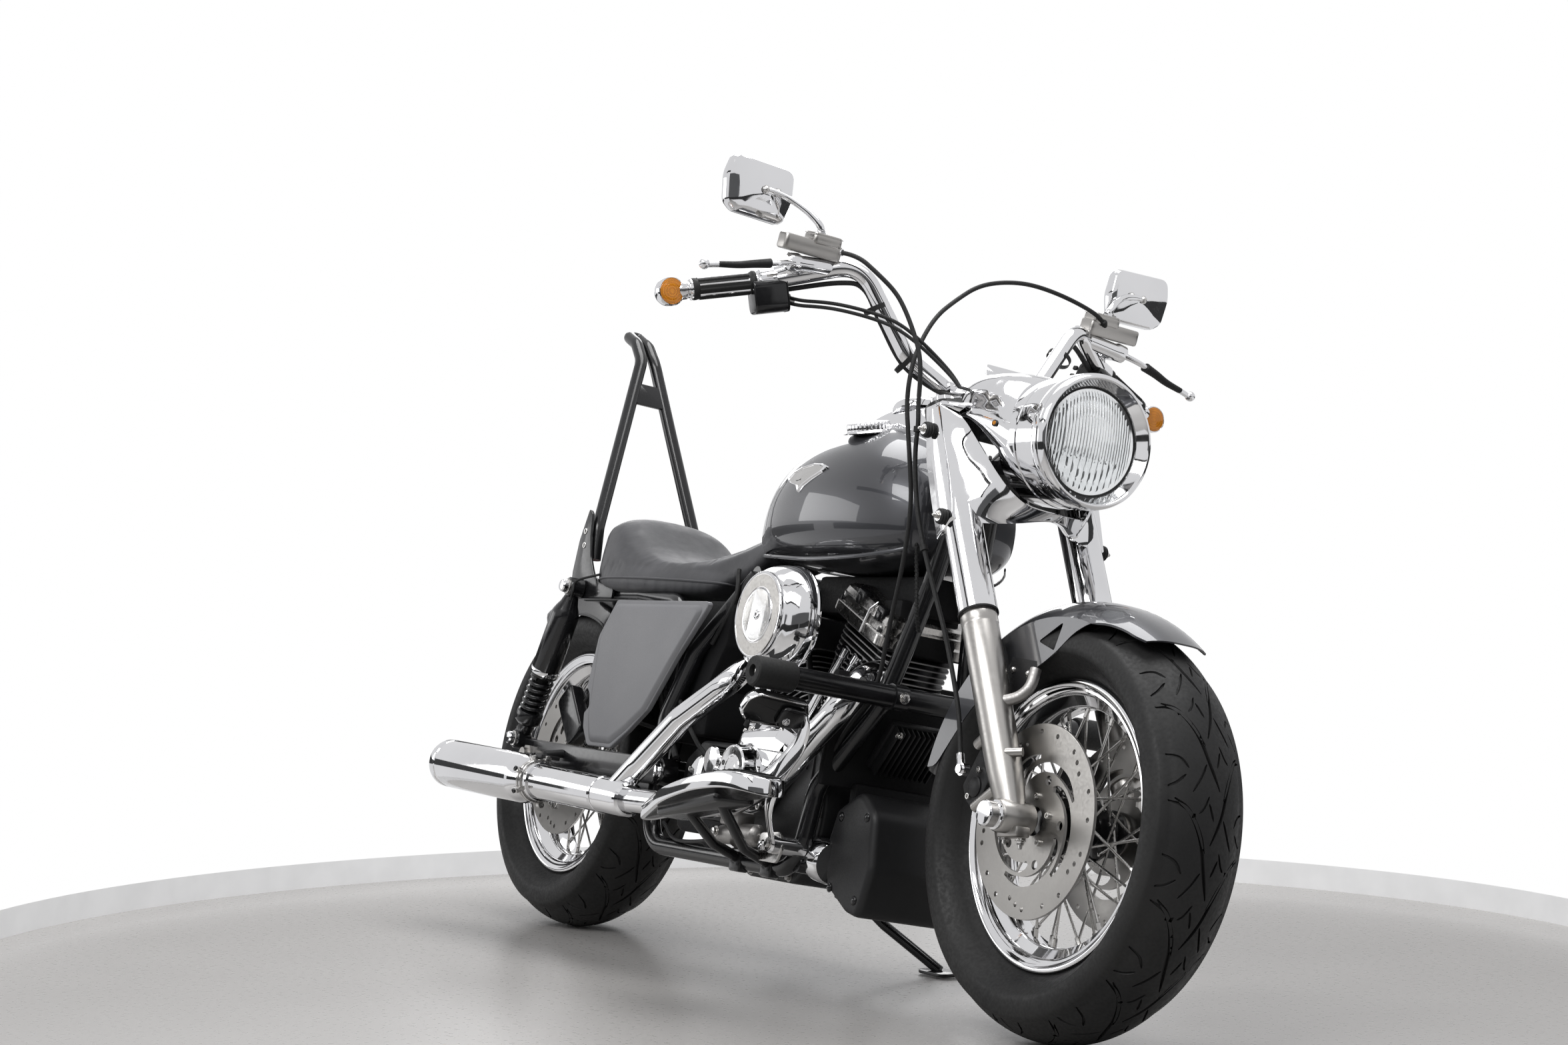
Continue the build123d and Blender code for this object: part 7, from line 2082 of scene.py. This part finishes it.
def make_chin():
    """The smooth dark cover under the front of the frame."""
    outline = [(1062, 224), (1084, 299), (1150, 336), (1203, 299), (1215, 210), (1195, 129), (1150, 137),
               (1086, 171)]
    shape = Shape(satin_black)
    shape.panel(rounded(outline, [26, 22, 34, 34, 40, 22, 22, 30], 6), 95, 190, satin_black, 12, 5)
    for x, z in ((1100, 172), (1180, 158), (1104, 288), (1182, 292)):
        for side in (-1, 1):
            shape.bolt((x, side * 94.6, z), (0, side, 0), 7, 4, gloss_black, "dome")
    shape.done("chin_panel", "chassis", "chin_cover", angle=32)


make_shocks()
make_rear_fender()
make_sissy_bar()
make_tail()
make_swingarm()
make_rear_brake()
make_side_stand()
make_regulator()
make_chin()


# ---------------------------------------------------------------- camera, light and floor
camera = bpy.data.objects.new("camera", bpy.data.cameras.new("camera"))
bpy.context.scene.collection.objects.link(camera)
bpy.context.scene.camera = camera
camera.data.lens, camera.data.sensor_width, camera.data.clip_end = 63.45, 36, 60
CAMERA_SPOT = (4962.97, -2480.15, 248.03)  # in the upright motorcycle's millimetres
YAW, PITCH, ROLL = (math.radians(a) for a in (150.41, 6.32, 9.07))
ahead = Vector((math.cos(YAW) * math.cos(PITCH), math.sin(YAW) * math.cos(PITCH), math.sin(PITCH)))
side = Vector((math.sin(YAW), -math.cos(YAW), 0))
over = side.cross(ahead)
side, over = (math.cos(ROLL) * side + math.sin(ROLL) * over, math.cos(ROLL) * over - math.sin(ROLL) * side)
turn = PLACE.to_3x3().normalized() @ Matrix((side, over, -ahead)).transposed()
camera.matrix_world = Matrix.Translation(place(*CAMERA_SPOT)) @ turn.to_4x4()

bpy.context.scene.view_settings.view_transform = "Standard"


def backdrop_material():
    """Pale floor whose tone varies in broad patches, with a fine grain in its roughness and relief."""
    mat, tree, shader = nodes_of("floor")
    tone, grain = noise(tree, 1.6, 3.0), noise(tree, 90, 3.0)
    tree.links.new(blend_colors(tree, spread(tree, tone.outputs[0], 0, 1), (0.385, 0.373, 0.36),
                                (0.407, 0.395, 0.381)), shader.inputs["Base Color"])
    tree.links.new(spread(tree, grain.outputs[0], 0.27, 0.33), shader.inputs["Roughness"])
    bump(tree, shader, grain.outputs[0], 0.012, 0.0002)
    return mat


def skirting_material():
    """The low painted edge where the wall meets the floor."""
    mat, tree, shader = nodes_of("skirting")
    streak = noise(tree, 12, 3.0)
    tree.links.new(blend_colors(tree, spread(tree, streak.outputs[0], 0, 1), (0.90, 0.90, 0.90),
                                (0.95, 0.95, 0.95)), shader.inputs["Base Color"])
    shader.inputs["Roughness"].default_value = 0.8
    return mat


def add_mesh(name, vertices, faces):
    """A plain mesh in the row frame."""
    mesh = bpy.data.meshes.new(name)
    mesh.from_pydata([tuple(v) for v in vertices], [], faces)
    mesh.update()
    obj = bpy.data.objects.new(name, mesh)
    bpy.context.scene.collection.objects.link(obj)
    return obj


def floor_outline():
    """The floor's edge: a round wall behind the machine, whose ends run on past the camera."""
    centre, radius, way = Vector((632, 181)), 1565, math.atan2(-2661, 4331)
    onward = Vector((math.cos(way), math.sin(way))) * 7000
    arc = [centre + Vector((math.cos(a), math.sin(a))) * radius
           for a in (way + math.pi / 2 + math.pi * k / 72 for k in range(73))]
    edge = [arc[0] + onward] + arc + [arc[-1] + onward]
    return [place(p.x, p.y * math.cos(LEAN), p.y * math.sin(LEAN)) for p in edge]


floor_z = cad_box[0].z
rim = [Vector((p.x, p.y, floor_z)) for p in floor_outline()]
floor = add_mesh("floor", rim, [tuple(range(len(rim)))[::-1]])
floor.data.materials.append(backdrop_material())
strip = add_mesh("skirting", rim + [p + Vector((0, 0, 0.055)) for p in rim],
                 [(k, k + 1, len(rim) + k + 1, len(rim) + k) for k in range(len(rim) - 1)])
strip.data.materials.append(skirting_material())


def card(name, centre, facing, width, height, value):
    """A matt card out of the camera's sight, for metal to reflect."""
    normal = Vector(facing).normalized()
    across = Vector((0, 0, 1)).cross(normal)
    across = across.normalized() if across.length > 0.1 else Vector((1, 0, 0))
    upward = normal.cross(across)
    middle = Vector(centre)
    corners = [middle + across * sx * width / 2 + upward * sy * height / 2
               for sx, sy in ((-1, -1), (1, -1), (1, 1), (-1, 1))]
    obj = add_mesh(name, corners, [(0, 1, 2, 3)])
    mat, _, shader = nodes_of(name)
    shader.inputs["Base Color"].default_value = (value, value, value, 1)
    shader.inputs["Roughness"].default_value = 0.9
    obj.data.materials.append(mat)
    obj.visible_camera = False
    obj.visible_shadow = False
    obj.visible_diffuse = False


def light(name, location, target, size, energy):
    """A rectangular softbox that looks at a target."""
    lamp = bpy.data.lights.new(name, "AREA")
    lamp.shape = "RECTANGLE"
    lamp.size, lamp.size_y = size
    lamp.energy = energy
    obj = bpy.data.objects.new(name, lamp)
    bpy.context.scene.collection.objects.link(obj)
    obj.location = location
    obj.rotation_euler = (Vector(target) - Vector(location)).to_track_quat("-Z", "Y").to_euler()


light("key", (1.5, -3.2, 3.6), (0.2, 0, 0.5), (3.0, 1.6), 105)
light("top", (0.0, 0.4, 4.2), (0.1, 0, 0.4), (4.0, 2.0), 125)
light("rim", (-3.4, 1.6, 2.4), (-0.2, 0, 0.6), (2.0, 2.0), 34)
light("far_right", (-4.6, -4.2, 1.9), (0.0, 0, 0.7), (4.0, 1.5), 38)
card("low_right", (0.4, -4.2, 0.55), (0, 1, 0), 9, 0.8, 0.02)
card("low_front", (4.6, -0.4, 0.5), (-1, 0, 0), 6, 0.7, 0.02)
card("low_left", (0.0, 4.2, 0.6), (0, -1, 0), 9, 0.9, 0.03)
card("low_back", (-4.4, 0, 0.5), (1, 0, 0), 6, 0.7, 0.05)
card("high_right", (0.6, -3.4, 2.9), (0, 1, -0.6), 6, 0.25, 0.02)
lens_spot = camera.matrix_world.translation
card("room_behind", (lens_spot.x * 1.3, lens_spot.y * 1.3, 1.3), (-lens_spot.x, -lens_spot.y, 0), 7.5, 2.5,
     0.16)

world = bpy.data.worlds.new("world")
bpy.context.scene.world = world
world.use_nodes = True
sky = world.node_tree
paths = sky.nodes.new("ShaderNodeLightPath")


def choose(factor, first, second):
    """One colour, or another where the ray is of a kind."""
    mix = sky.nodes.new("ShaderNodeMix")
    mix.data_type = "RGBA"
    mix.inputs[7].default_value = (*second, 1)
    if isinstance(first, tuple):
        mix.inputs[6].default_value = (*first, 1)
    else:
        sky.links.new(first, mix.inputs[6])
    sky.links.new(paths.outputs[factor], mix.inputs["Factor"])
    return mix.outputs[2]


air = choose("Is Glossy Ray", (0.38, 0.39, 0.41), (0.76, 0.76, 0.77))
air = choose("Is Transmission Ray", air, (1, 1, 1))
air = choose("Is Camera Ray", air, (1, 1, 1))
sky.links.new(air, sky.nodes["Background"].inputs["Color"])
